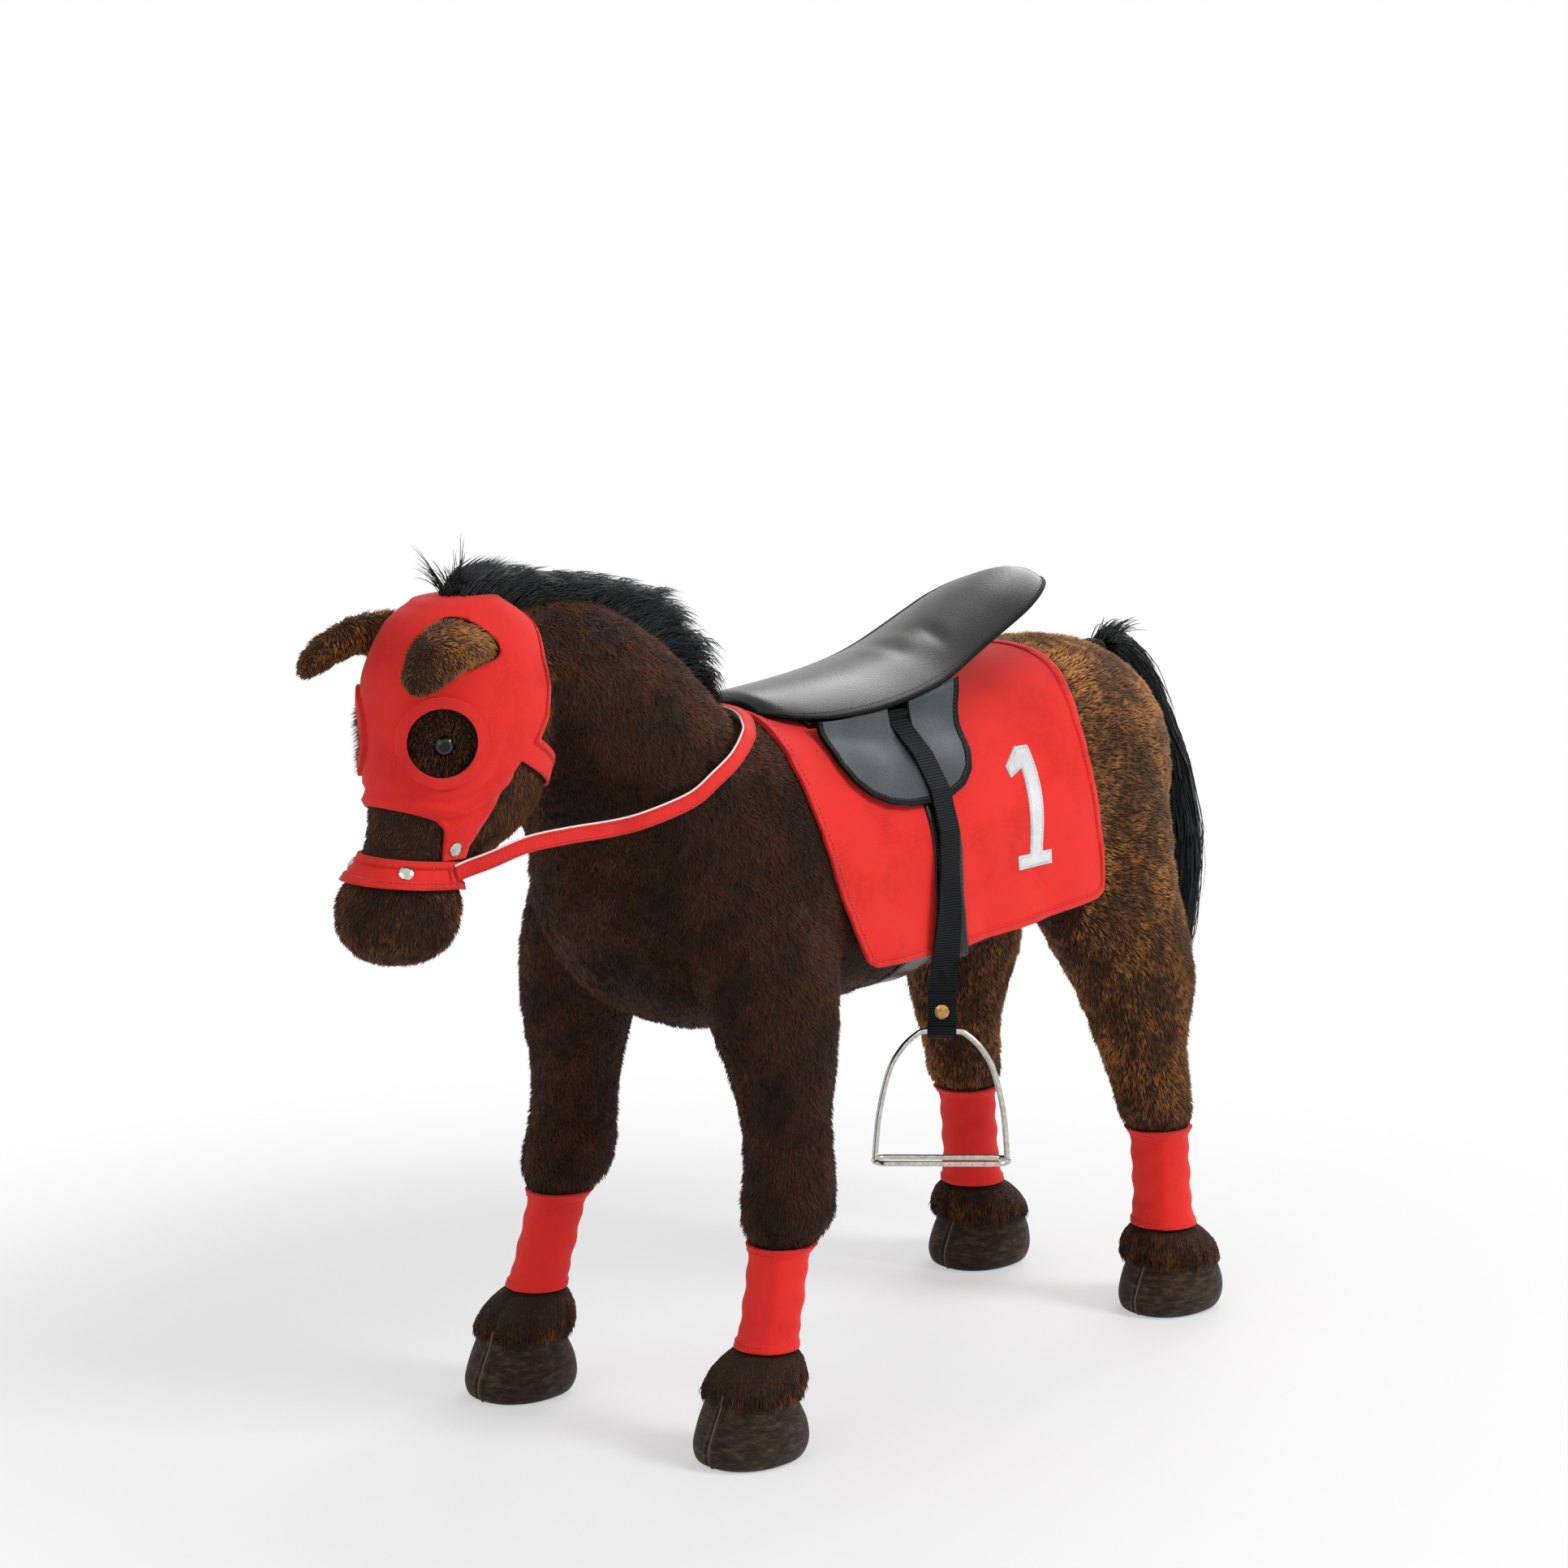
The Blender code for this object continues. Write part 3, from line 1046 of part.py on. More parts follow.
# Stirrups
PLANE = Vector((0.7478, 0.6640, 0.0)).normalized()
stirrup_loops = {}
stirrup_pieces = {}
for side_name, side in (("left", 1), ("right", -1)):
    plane = Vector((PLANE.x * side, PLANE.y, 0))
    face = Vector((PLANE.y * side, -PLANE.x, 0))
    forward = HANG_FORWARD[side_name]
    loop = Vector((LOOP_X * side, BAR_Y - forward, LOOP_HEIGHT))
    stirrup_loops[side_name] = loop
    route = [(0.0829, BAR_Z - 0.0033, (0.66, 0.0, 0.75)), (0.0925, BAR_Z - 0.0118, (0.62, 0.0, 0.78))]
    over = FLAP_LIFT + FLAP_THICKNESS + SEAT_GAP + LEATHER_THICKNESS / 2 + 0.0006
    for column in LEATHER_COLUMNS:
        point, normal = across_back(drape, over, BAR_Y, column)
        route.append((point[0], point[2], normal))
    route += [
        (LOOP_X - 0.0003, 0.480, (0.97, -0.25, 0)), (LOOP_X + 0.0003, 0.440, (0.88, -0.48, 0)),
        (LOOP_X, FOLD_TOP, (0.75, -0.66, 0)), (LOOP_X, LOOP_HEIGHT + 0.0045, (0.664, -0.7478, 0)),
    ]
    rows = []
    for x, z, look in route:
        lean = min(1.0, (BAR_Z - z) / (BAR_Z - FOLD_TOP)) ** 1.4
        rows.append((x * side, BAR_Y - forward * lean, z, look[0] * side, look[1], look[2]))
    start, end = Vector(rows[-2][:3]), Vector(rows[-1][:3])
    out = plane.cross(end - start).normalized() * -side
    rows[-2:] = [(*start, *out), (*end, *out)]
    leather = ribbon("stirrup_leather_" + side_name, rows, 0, LEATHER_WIDTH, LEATHER_THICKNESS)
    finish(leather, *WEBBING)
    slot_size = (LEATHER_WIDTH + 0.0020, LEATHER_THICKNESS + 4 * SEAT_GAP)
    slot = ribbon("leather_slot_" + side_name, rows[:4], 0, *slot_size, CUTTERS)
    hook_place = (BAR_X * side, BAR_Y, BAR_Z)
    hook_radius = BAR_RADIUS + 0.0026
    room_size = (hook_radius + 2 * SEAT_GAP, LEATHER_WIDTH + 0.0028)
    cut(flaps[side_name], slot, disc("hook_room_" + side_name, hook_place, (0, 1, 0), *room_size, 12))
    fold = ribbon("leather_fold_" + side_name, rows[-2:], 0, LEATHER_WIDTH + 0.0004, FOLD_THICKNESS, CUTTERS)
    eye_low = disc("leather_eye_" + side_name, loop, plane, IRON_WIRE + 0.0027, LEATHER_WIDTH + 0.0008, 12)
    eye_high = disc("leather_hook_" + side_name, hook_place, (0, 1, 0), hook_radius, LEATHER_WIDTH + 0.0008, 12)
    for piece in (fold, eye_low, eye_high):
        combine(leather, piece, "UNION")
    bar_hole = disc("bar_hole_" + side_name, hook_place, (0, 1, 0), BAR_RADIUS + SEAT_GAP + 0.0001, 0.050, 12)
    iron_hole = disc("iron_hole_" + side_name, loop, plane, IRON_WIRE + SEAT_GAP + 0.0001, 0.050, 12)
    cut(leather, iron_hole, bar_hole)

    share = (start.z - LOOP_HEIGHT - RIVET_RISE) / (start.z - end.z)
    rivet_centre = start.lerp(end, share)
    reach = FOLD_THICKNESS / 2 + SEAT_GAP
    profile = [(0, reach + 0.0016), (0.62 * RIVET_RADIUS, reach + 0.0013), (RIVET_RADIUS, reach + 0.0003)]
    profile += [(RIVET_RADIUS, reach), (RIVET_SHANK, reach), (RIVET_SHANK, -reach)]
    profile += [(0.83 * RIVET_RADIUS, -reach), (0.76 * RIVET_RADIUS, -reach - 0.0010), (0, -reach - 0.0012)]
    rivet = turned("rivet_" + side_name, profile, rivet_centre, out, 10)
    finish(rivet, *COPPER)
    cut(leather, disc("rivet_hole_" + side_name, rivet_centre, out, RIVET_SHANK + SEAT_GAP, 0.030, 12))

    foot = LOOP_HEIGHT - IRON_HEIGHT
    arch = [
        (IRON_HALF_WIDTH, 0.0), (0.0595, 0.0460), (0.0500, 0.0880), (0.0380, 0.1100), (0.0250, 0.1230),
    ]
    arch = [(s, foot + rise) for s, rise in arch] + [(0.0150, LOOP_HEIGHT)]
    arch += [(-s, z) for s, z in reversed(arch)]
    arch_path = [(loop.x + plane.x * s, loop.y + plane.y * s, z) for s, z in arch]
    iron = bar("stirrup_iron_" + side_name, arch_path, IRON_WIRE)
    ends = []
    for turn_start, end_s in ((-math.pi / 2, IRON_HALF_WIDTH - 0.0115), (math.pi / 2, 0.0115 - IRON_HALF_WIDTH)):
        for k in range(5):
            turn = turn_start + math.pi * k / 4
            ends.append((end_s + 0.0125 * math.cos(turn), 0.0125 * math.sin(turn)))
    tread_path = [(loop.x + plane.x * s + face.x * t, loop.y + plane.y * s + face.y * t, foot) for s, t in ends]
    tread = bar("tread_" + side_name, tread_path, TREAD_WIRE, CUTTERS, closed=True)
    combine(iron, tread, "UNION")
    finish(iron, *STEEL)
    stirrup_pieces[side_name] = (leather, rivet, iron)

# Rein
REIN_ROWS = [
    (0.0, -0.2140, 0.6800, 0.0, 0.1, 1.0), (0.030, -0.2180, 0.6790, 0.15, 0.1, 0.98),
    (0.055, -0.2320, 0.6765, 0.35, 0.15, 0.92), (0.073, -0.2470, 0.6725, 0.55, 0.2, 0.8),
    (0.090, -0.2650, 0.6665, 0.74, 0.2, 0.62), (0.108, -0.3010, 0.6520, 0.93, 0.15, 0.32),
    (0.1145, -0.3346, 0.6380, 0.98, -0.09, 0.12), (0.1125, -0.3638, 0.6226, 0.94, -0.34, 0.0),
    (0.1030, -0.4087, 0.6105, 0.90, -0.40, 0.0), (0.0930, -0.4415, 0.6050, 0.93, -0.30, 0.0),
    (0.0800, -0.4906, 0.6028, 0.95, -0.25, 0.0), (0.0690, -0.5308, 0.5990, 0.96, -0.25, 0.0),
    (0.0588, -0.5660, 0.5890, 0.96, -0.25, 0.0), (0.0502, -0.5860, 0.5830, 0.96, -0.26, 0.0),
    (0.0472, -0.5990, 0.5795, 0.96, -0.27, -0.1),
]
rein_rows = [(-x, y, z, -lx, ly, lz) for x, y, z, lx, ly, lz in reversed(REIN_ROWS)] + REIN_ROWS[1:]
rein = ribbon("rein", rein_rows, 37, REIN_WIDTH, REIN_THICKNESS)
finish(rein, *RED_CLOTH)

# Tail
STUB_END = (0, TAIL_ROOT[1] + STUB_LENGTH, TAIL_ROOT[2])
LONGER_STUB_END = (0, STUB_END[1] + SEAT_GAP, STUB_END[2])
DOCK_FACETS = 24


def dock_drum(name, grow, group=HORSE):
    """The drum that the tail lifts on, lying across the horse."""
    radius = DOCK_RADIUS + grow
    half = DOCK_HALF_WIDTH + grow
    profile = [(0, half), (0.80 * radius, half), (radius, half - 0.0025)]
    profile += [(radius, 0.0025 - half), (0.80 * radius, -half), (0, -half)]
    return turned(name, profile, TAIL_ROOT, (1, 0, 0), DOCK_FACETS, group)


dock_cutter = dock_drum("dock_clearance", SEAT_GAP, CUTTERS)
stub_cutter = bar("stub_clearance", [TAIL_ROOT, LONGER_STUB_END], STUB_RADIUS + SEAT_GAP, CUTTERS, 6)
cut(torso, dock_cutter, stub_cutter)
tail_dock = dock_drum("tail_dock", 0)
combine(tail_dock, bar("dock_stub", [TAIL_ROOT, STUB_END], STUB_RADIUS, CUTTERS, 6), "UNION")
finish(tail_dock, *LONG_HAIR)
tail = tail_form().solid("tail")
finish(tail, *LONG_HAIR)
dock_room = ball("dock_room", TAIL_ROOT, 1.08 * math.hypot(DOCK_RADIUS, DOCK_HALF_WIDTH), CUTTERS, 12)
cut(tail, dock_room, stub_cutter, torso_loft.solid("tail_room", 0.004, CUTTERS))

# The model is moved so that z = 0 is under the middle of its box
bpy.context.view_layer.update()
depsgraph = bpy.context.evaluated_depsgraph_get()
lengthwise = []
for obj in HORSE.objects:
    evaluated = obj.evaluated_get(depsgraph)
    lengthwise += [(evaluated.matrix_world @ Vector(corner)).y for corner in evaluated.bound_box]
CENTRE_SHIFT = -(min(lengthwise) + max(lengthwise)) / 2
for obj in list(HORSE.objects) + list(CUTTERS.objects):
    obj.matrix_world = Matrix.Translation((0, CENTRE_SHIFT, 0)) @ obj.matrix_world


def joint(name, place_at, pieces, above=None):
    """An empty on a joint's axis that carries the pieces which move with it."""
    empty = bpy.data.objects.new(name, None)
    empty.empty_display_size = 0.02
    HORSE.objects.link(empty)
    empty.location = Vector(place_at) + Vector((0, CENTRE_SHIFT, 0))
    bpy.context.view_layer.update()
    if above is not None:
        empty.parent = above
        empty.matrix_parent_inverse = above.matrix_world.inverted()
    for piece in pieces:
        piece.parent = empty
        piece.matrix_parent_inverse = empty.matrix_world.inverted()
    return empty


for side_name, side in (("left", 1), ("right", -1)):
    leather, rivet, iron = stirrup_pieces[side_name]
    leather_joint = joint("leather_joint_" + side_name, (BAR_X * side, BAR_Y, BAR_Z), (leather, rivet))
    joint("iron_joint_" + side_name, stirrup_loops[side_name], (iron,), leather_joint)
lift_joint = joint("tail_lift_joint", TAIL_ROOT, (tail_dock,))
joint("tail_sway_joint", TAIL_ROOT, (tail,), lift_joint)
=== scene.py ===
"""Looks of a plush ride-on racehorse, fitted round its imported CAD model. Metres, +Z up, the horse faces -Y."""

import math

import bmesh
import bpy
import numpy as np
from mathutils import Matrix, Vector
from mathutils.bvhtree import BVHTree


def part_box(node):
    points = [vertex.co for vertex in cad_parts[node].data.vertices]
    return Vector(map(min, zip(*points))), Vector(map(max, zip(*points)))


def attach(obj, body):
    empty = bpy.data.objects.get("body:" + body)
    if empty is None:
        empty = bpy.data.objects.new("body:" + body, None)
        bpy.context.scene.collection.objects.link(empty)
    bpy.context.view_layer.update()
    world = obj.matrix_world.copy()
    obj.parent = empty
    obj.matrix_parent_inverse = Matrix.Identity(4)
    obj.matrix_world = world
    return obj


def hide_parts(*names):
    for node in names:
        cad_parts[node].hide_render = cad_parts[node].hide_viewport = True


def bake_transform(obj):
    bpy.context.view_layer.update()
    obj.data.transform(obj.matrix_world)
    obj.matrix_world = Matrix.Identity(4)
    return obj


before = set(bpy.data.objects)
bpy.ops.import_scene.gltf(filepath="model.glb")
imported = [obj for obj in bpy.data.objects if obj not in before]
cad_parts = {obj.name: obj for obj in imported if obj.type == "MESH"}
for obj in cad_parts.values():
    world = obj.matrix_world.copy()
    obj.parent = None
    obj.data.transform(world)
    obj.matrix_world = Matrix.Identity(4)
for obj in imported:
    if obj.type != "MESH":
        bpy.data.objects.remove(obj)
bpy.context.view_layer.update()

# ---------------------------------------------------------------- plush coat
# The body is one sewn bag of brown acrylic plush stuffed hard with fibre. Its panels meet in seams that the
# pile hides, so barrel, neck, head and legs run into each other as one soft skin.
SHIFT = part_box("torso")[0].y + 0.412
COAT_VOXEL = 0.0052
COAT_SINK = 0.0012
SIDES = (("left", 1), ("right", -1))
BARREL_POLES = ((0, -0.412, 0.546), (0, 0.398, 0.560))
NECK_POLES = ((0, -0.250, 0.540), (0, -0.540, 0.765))
HEAD_POLES = ((0, -0.553, 0.822), (0, -0.630, 0.495))
EYE_PLACE = (0.0486, -0.6155, 0.700)
EYE_LOOK = (0.77, -0.638, 0.0)
MERGE_DISTANCE = 0.00001


def blend_rows(rows, count):
    """Rows of sizes joined by a Catmull-Rom curve through each of them, sampled at count even steps."""
    rows = np.array(rows, float)
    at = np.linspace(0, len(rows) - 1, count)
    i = np.clip(at.astype(int), 0, len(rows) - 2)
    t = (at - i)[:, None]
    before, here, there = rows[np.maximum(i - 1, 0)], rows[i], rows[i + 1]
    beyond = rows[np.minimum(i + 2, len(rows) - 1)]
    slope = (there - before) * t
    bend = (2 * before - 5 * here + 4 * there - beyond) * t**2
    twist = (3 * here - before - 3 * there + beyond) * t**3
    return 0.5 * (2 * here + slope + bend + twist)


def rounded(value, squareness):
    """The value's sign times its size to the power 2 / squareness, which squares a circle's sides off."""
    return np.sign(value) * np.abs(value) ** (2.0 / squareness)


def unit(vectors):
    """Each vector over its own length."""
    return vectors / np.maximum(np.linalg.norm(vectors, axis=-1, keepdims=True), 1e-12)


def circle(count):
    """Angles at even steps once round."""
    return np.linspace(0, 2 * math.pi, count, endpoint=False)


def grid_normals(points):
    """The cross product of a grid's two slopes, turned to look away from the middle of its rings."""
    ring_slope = np.roll(points, -1, 1) - np.roll(points, 1, 1)
    normal = unit(np.cross(ring_slope, np.gradient(points, axis=0)))
    outward = points - points.mean(1, keepdims=True)
    return -normal if (normal * outward).sum() < 0 else normal


def mesh_of(name, points, faces, smooth=True):
    """An object whose mesh has these points and faces, shifted from the stance to the CAD frame."""
    mesh = bpy.data.meshes.new(name)
    moved = np.asarray(points, float).reshape(-1, 3) + np.array([0.0, SHIFT, 0.0])
    mesh.from_pydata(moved.tolist(), [], faces)
    mesh.update()
    if smooth:
        mesh.shade_smooth()
    obj = bpy.data.objects.new(name, mesh)
    bpy.context.scene.collection.objects.link(obj)
    return obj


def grid_faces(rows, columns, around=True, start=0):
    """Squares between neighbours of a grid, each row closed on itself where around is set."""
    i = np.arange(rows - 1)[:, None] * columns
    j = np.arange(columns if around else columns - 1)[None, :]
    k = (j + 1) % columns
    return np.stack([i + j, i + k, i + columns + k, i + columns + j], -1).reshape(-1, 4) + start


def tidy(obj):
    """Merges doubled points and turns every face outward."""
    work = bmesh.new()
    work.from_mesh(obj.data)
    bmesh.ops.remove_doubles(work, verts=work.verts, dist=MERGE_DISTANCE)
    bmesh.ops.recalc_face_normals(work, faces=work.faces)
    work.to_mesh(obj.data)
    work.free()
    return obj


def closed_form(name, rings, first_pole, last_pole):
    """A skin over rings of points, shut by a fan over a pole at each end."""
    rows, columns = rings.shape[:2]
    points = np.concatenate([rings.reshape(-1, 3), [first_pole, last_pole]])
    j = np.arange(columns)
    k = (j + 1) % columns
    last_ring = (rows - 1) * columns
    first_fan = np.stack([np.full(columns, rows * columns), k, j], -1)
    last_fan = np.stack([np.full(columns, rows * columns + 1), last_ring + j, last_ring + k], -1)
    faces = grid_faces(rows, columns).tolist() + first_fan.tolist() + last_fan.tolist()
    return tidy(mesh_of(name, points, faces))


def ring_form(name, rings):
    """A form closed on itself, the last of its rings joined to the first."""
    rows, columns = rings.shape[:2]
    faces = grid_faces(rows + 1, columns) % (rows * columns)
    return tidy(mesh_of(name, rings, faces.tolist()))


def join(objects):
    """Makes the objects one, under the first one's name."""
    with bpy.context.temp_override(active_object=objects[0], selected_editable_objects=objects):
        bpy.ops.object.join()
    return objects[0]


def modify(obj, kind, **settings):
    """Adds a modifier with these settings."""
    step = obj.modifiers.new(kind, kind)
    for name, value in settings.items():
        setattr(step, name, value)


def apply_modifiers(obj):
    """The mesh that the object's modifiers give becomes its own mesh."""
    depsgraph = bpy.context.evaluated_depsgraph_get()
    mesh = bpy.data.meshes.new_from_object(obj.evaluated_get(depsgraph))
    obj.modifiers.clear()
    obj.data = mesh
    return obj


TORSO_ROWS = [
    (-0.400, 0.598, 0.492, 0.052), (-0.372, 0.632, 0.448, 0.092), (-0.325, 0.660, 0.400, 0.124),
    (-0.255, 0.676, 0.376, 0.144), (-0.160, 0.668, 0.378, 0.150), (-0.040, 0.655, 0.388, 0.150),
    (0.075, 0.662, 0.400, 0.149), (0.175, 0.684, 0.412, 0.148), (0.255, 0.695, 0.420, 0.141),
    (0.320, 0.682, 0.436, 0.122), (0.368, 0.650, 0.468, 0.088), (0.390, 0.612, 0.510, 0.050),
]
WAIST = 0.47
TORSO_SQUARENESS = 2.15
WRAP_SQUEEZE = 0.15


def torso_rings(count, segments):
    """Barrel rings: half width times cosine across, and sine times the reach above or below the waist line."""
    table = blend_rows(TORSO_ROWS, count)
    angle = circle(segments)
    y, top, bottom, half = (table[:, [k]] for k in range(4))
    middle = bottom + WAIST * (top - bottom)
    up = rounded(np.sin(angle), TORSO_SQUARENESS)[None, :]
    x = half * rounded(np.cos(angle), TORSO_SQUARENESS)[None, :]
    z = middle + np.where(up > 0, (top - middle) * up, (middle - bottom) * up)
    return np.stack([x, np.broadcast_to(y, x.shape), z], 2)


def sagittal_rings(rows, count, segments, egg=0.0, squareness=2.0):
    """Rings across the middle plane: each runs from a front point to a back point, as wide as its row says."""
    table = blend_rows(rows, count)
    angle = circle(segments) + math.pi / segments
    front, back, half = table[:, 0:2], table[:, 2:4], table[:, 4:5]
    middle, reach = (front + back) / 2, (back - front) / 2
    across, along = rounded(np.sin(angle), squareness)[None, :], rounded(np.cos(angle), squareness)[None, :]
    x = half * across * (1 + egg * along)
    y = middle[:, [0]] + reach[:, [0]] * along
    z = middle[:, [1]] + reach[:, [1]] * along
    return np.stack([x, y, z], 2)


NECK_ROWS = [
    (-0.370, 0.480, -0.145, 0.605, 0.118), (-0.400, 0.540, -0.200, 0.650, 0.116),
    (-0.424, 0.585, -0.238, 0.688, 0.108), (-0.446, 0.628, -0.280, 0.730, 0.096),
    (-0.470, 0.662, -0.332, 0.770, 0.086), (-0.496, 0.688, -0.395, 0.800, 0.073),
    (-0.524, 0.708, -0.465, 0.806, 0.057), (-0.548, 0.722, -0.510, 0.798, 0.036),
]
HEAD_ROWS = [
    (-0.590, 0.814, -0.516, 0.814, 0.034), (-0.619, 0.792, -0.484, 0.790, 0.055),
    (-0.637, 0.755, -0.466, 0.750, 0.068), (-0.641, 0.712, -0.462, 0.704, 0.071),
    (-0.641, 0.674, -0.466, 0.655, 0.067), (-0.643, 0.643, -0.484, 0.614, 0.057),
    (-0.648, 0.617, -0.532, 0.585, 0.047), (-0.655, 0.594, -0.566, 0.572, 0.042),
    (-0.676, 0.570, -0.570, 0.556, 0.050), (-0.685, 0.544, -0.572, 0.534, 0.053),
    (-0.677, 0.516, -0.582, 0.512, 0.045), (-0.657, 0.500, -0.602, 0.499, 0.027),
]
FORE_ROWS = [
    (0.0703, 0.004, 0.000, 0.0270, 0.0270), (0.094, 0.018, 0.000, 0.0285, 0.0285),
    (0.145, 0.034, 0.003, 0.0285, 0.0285), (0.188, 0.045, 0.006, 0.0295, 0.0295),
    (0.204, 0.053, 0.006, 0.0400, 0.0430), (0.236, 0.061, 0.008, 0.0435, 0.0470),
    (0.275, 0.064, 0.011, 0.0410, 0.0440), (0.318, 0.064, 0.015, 0.0420, 0.0460),
    (0.366, 0.062, 0.020, 0.0500, 0.0570), (0.420, 0.062, 0.032, 0.0570, 0.0720),
    (0.480, 0.063, 0.051, 0.0610, 0.0840), (0.540, 0.060, 0.074, 0.0560, 0.0800),
    (0.590, 0.064, 0.090, 0.0380, 0.0540),
]
HIND_ROWS = [
    (0.0703, -0.003, 0.000, 0.0275, 0.0275), (0.090, -0.013, 0.000, 0.0300, 0.0300),
    (0.140, -0.018, 0.000, 0.0300, 0.0300), (0.186, -0.023, 0.000, 0.0305, 0.0305),
    (0.202, -0.026, 0.000, 0.0370, 0.0400), (0.236, -0.033, 0.002, 0.0385, 0.0420),
    (0.285, -0.045, 0.006, 0.0430, 0.0510), (0.345, -0.049, 0.012, 0.0510, 0.0740),
    (0.400, -0.069, 0.020, 0.0580, 0.0880), (0.460, -0.088, 0.028, 0.0620, 0.0940),
    (0.525, -0.085, 0.040, 0.0620, 0.0930), (0.590, -0.080, 0.068, 0.0500, 0.0720),
    (0.635, -0.075, 0.090, 0.0300, 0.0420),
]
FEET = {
    "fore_leg_left": (0.1525, -0.330, FORE_ROWS), "fore_leg_right": (-0.1525, -0.330, FORE_ROWS),
    "hind_leg_left": (0.1285, 0.330, HIND_ROWS), "hind_leg_right": (-0.1285, 0.330, HIND_ROWS),
}


def ease_step(value, low, high):
    """0 below low, 1 above high, and a smooth S between them."""
    t = np.clip((value - low) / (high - low), 0, 1)
    return t * t * (3 - 2 * t)


def limb_rings(foot, count, segments):
    """Leg rings: ellipses whose middle leans back and inward with height, drawn in where the wrap squeezes them."""
    foot_x, foot_y, rows = foot
    z, back, inward, wide, deep = (blend_rows(rows, count)[:, [k]] for k in range(5))
    angle = circle(segments)[None, :]
    squeeze = 1 - WRAP_SQUEEZE * (1 - ease_step(z, 0.1955, 0.2110)) * ease_step(z, 0.080, 0.120)
    x = foot_x - math.copysign(1.0, foot_x) * inward + wide * squeeze * np.cos(angle)
    y = foot_y + back + deep * squeeze * np.sin(angle)
    return np.stack([x, y, np.broadcast_to(z, x.shape)], 2)


EAR_ROWS = [
    (0.038, -0.556, 0.778, 0.020, 0.0120, 0.001), (0.048, -0.582, 0.785, 0.026, 0.0150, 0.003),
    (0.057, -0.608, 0.786, 0.029, 0.0165, 0.004), (0.064, -0.634, 0.779, 0.028, 0.0160, 0.004),
    (0.069, -0.658, 0.766, 0.023, 0.0145, 0.002), (0.071, -0.674, 0.753, 0.014, 0.0100, 0.001),
]
EAR_TIP = 0.004


def ear_solid(name, side, grow):
    """An ear: ellipses across its spine, hollowed on their under side, with a pole a little past each end."""
    table = blend_rows(EAR_ROWS, 41)
    spine = table[:, :3] * np.array([side, 1, 1])
    along = unit(np.gradient(spine, axis=0))
    outer = np.array([0.77 * side, 0.33, -0.49])
    wide = unit(outer - along * (along @ outer)[:, None])
    back = np.cross(along, wide) * -side
    angle = circle(36)
    sideways = (table[:, 3:4] + grow) * np.cos(angle)
    upward = (table[:, 4:5] + grow) * np.sin(angle) - table[:, 5:6] * np.cos(angle) ** 2
    rings = spine[:, None] + sideways[..., None] * wide[:, None] + upward[..., None] * back[:, None]
    way = unit(rings[-1].mean(0) - rings[-3].mean(0)) * EAR_TIP
    return closed_form(name, rings, rings[0].mean(0) - way, rings[-1].mean(0) + way)


head_rings = sagittal_rings(HEAD_ROWS, 67, 72, egg=0.05, squareness=2.25)
limbs = {name: limb_rings(foot, 61, 36) for name, foot in FEET.items()}
neck_rings = sagittal_rings(NECK_ROWS, 51, 72, egg=-0.16)
forms = [closed_form("barrel_form", torso_rings(73, 96), *BARREL_POLES)]
forms.append(closed_form("neck_form", neck_rings, *NECK_POLES))
forms.append(closed_form("head_form", head_rings, *HEAD_POLES))
forms += [ear_solid("ear_form", side, 0.0) for _, side in SIDES]
forms += [closed_form(name + "_form", rings, rings[0].mean(0), rings[-1].mean(0)) for name, rings in limbs.items()]
for form in forms:
    apply_modifiers(form)
coat = join(forms)
coat.name = "plush_coat"
modify(coat, "REMESH", mode="VOXEL", voxel_size=COAT_VOXEL)
modify(coat, "CORRECTIVE_SMOOTH", iterations=12, use_only_smooth=True)
modify(coat, "DISPLACE", strength=-COAT_SINK, mid_level=0.0)
apply_modifiers(coat)
coat.data.shade_smooth()


def linear(code):
    """An sRGB hex colour as linear red, green, blue and alpha."""
    channels = np.array([int(code[k : k + 2], 16) for k in (1, 3, 5)]) / 255
    return (*np.where(channels <= 0.04045, channels / 12.92, ((channels + 0.055) / 1.055) ** 2.4), 1.0)


def plug(material, node, inputs):
    """Gives each named input of the node its value, or links it to the socket that feeds it."""
    for name, value in inputs.items():
        if isinstance(value, bpy.types.NodeSocket):
            material.node_tree.links.new(value, node.inputs[name])
        else:
            node.inputs[name].default_value = value


def add(material, kind, inputs=None, stops=None, **settings):
    """Adds a node with its settings, its colour stops, and its inputs, each a value or the socket that feeds it."""
    node = material.node_tree.nodes.new("ShaderNode" + kind)
    for name, value in settings.items():
        setattr(node, name, value)
    plug(material, node, inputs or {})
    for k, (place, colour) in enumerate(stops or []):
        stop = node.color_ramp.elements[k] if k < 2 else node.color_ramp.elements.new(place)
        stop.position = place
        stop.color = linear(colour)
    return node


def maths(material, operation, *values):
    """What a Math node gives for these values or sockets."""
    return add(material, "Math", dict(enumerate(values)), operation=operation).outputs[0]


def noise(material, place, scale, detail, rough=0.5):
    """Soft noise from 0 to 1, with scale lumps to the metre."""
    inputs = {"Vector": place, "Scale": scale, "Detail": detail, "Roughness": rough}
    return add(material, "TexNoise", inputs).outputs["Fac"]


def ramp(material, factor, stops):
    """The colour that the stops give at factor."""
    return add(material, "ValToRGB", {"Fac": factor}, stops=stops).outputs["Color"]


def bumps(material, height, strength, distance, **settings):
    """The normal of a face with this relief, distance metres deep."""
    inputs = {"Height": height, "Strength": strength, "Distance": distance}
    return add(material, "Bump", inputs, **settings).outputs["Normal"]


def new_material(name):
    """A material, its Principled shader, and the place on the object in metres."""
    material = bpy.data.materials.new(name)
    material.use_nodes = True
    return material, material.node_tree.nodes["Principled BSDF"], add(material, "TexCoord").outputs["Object"]


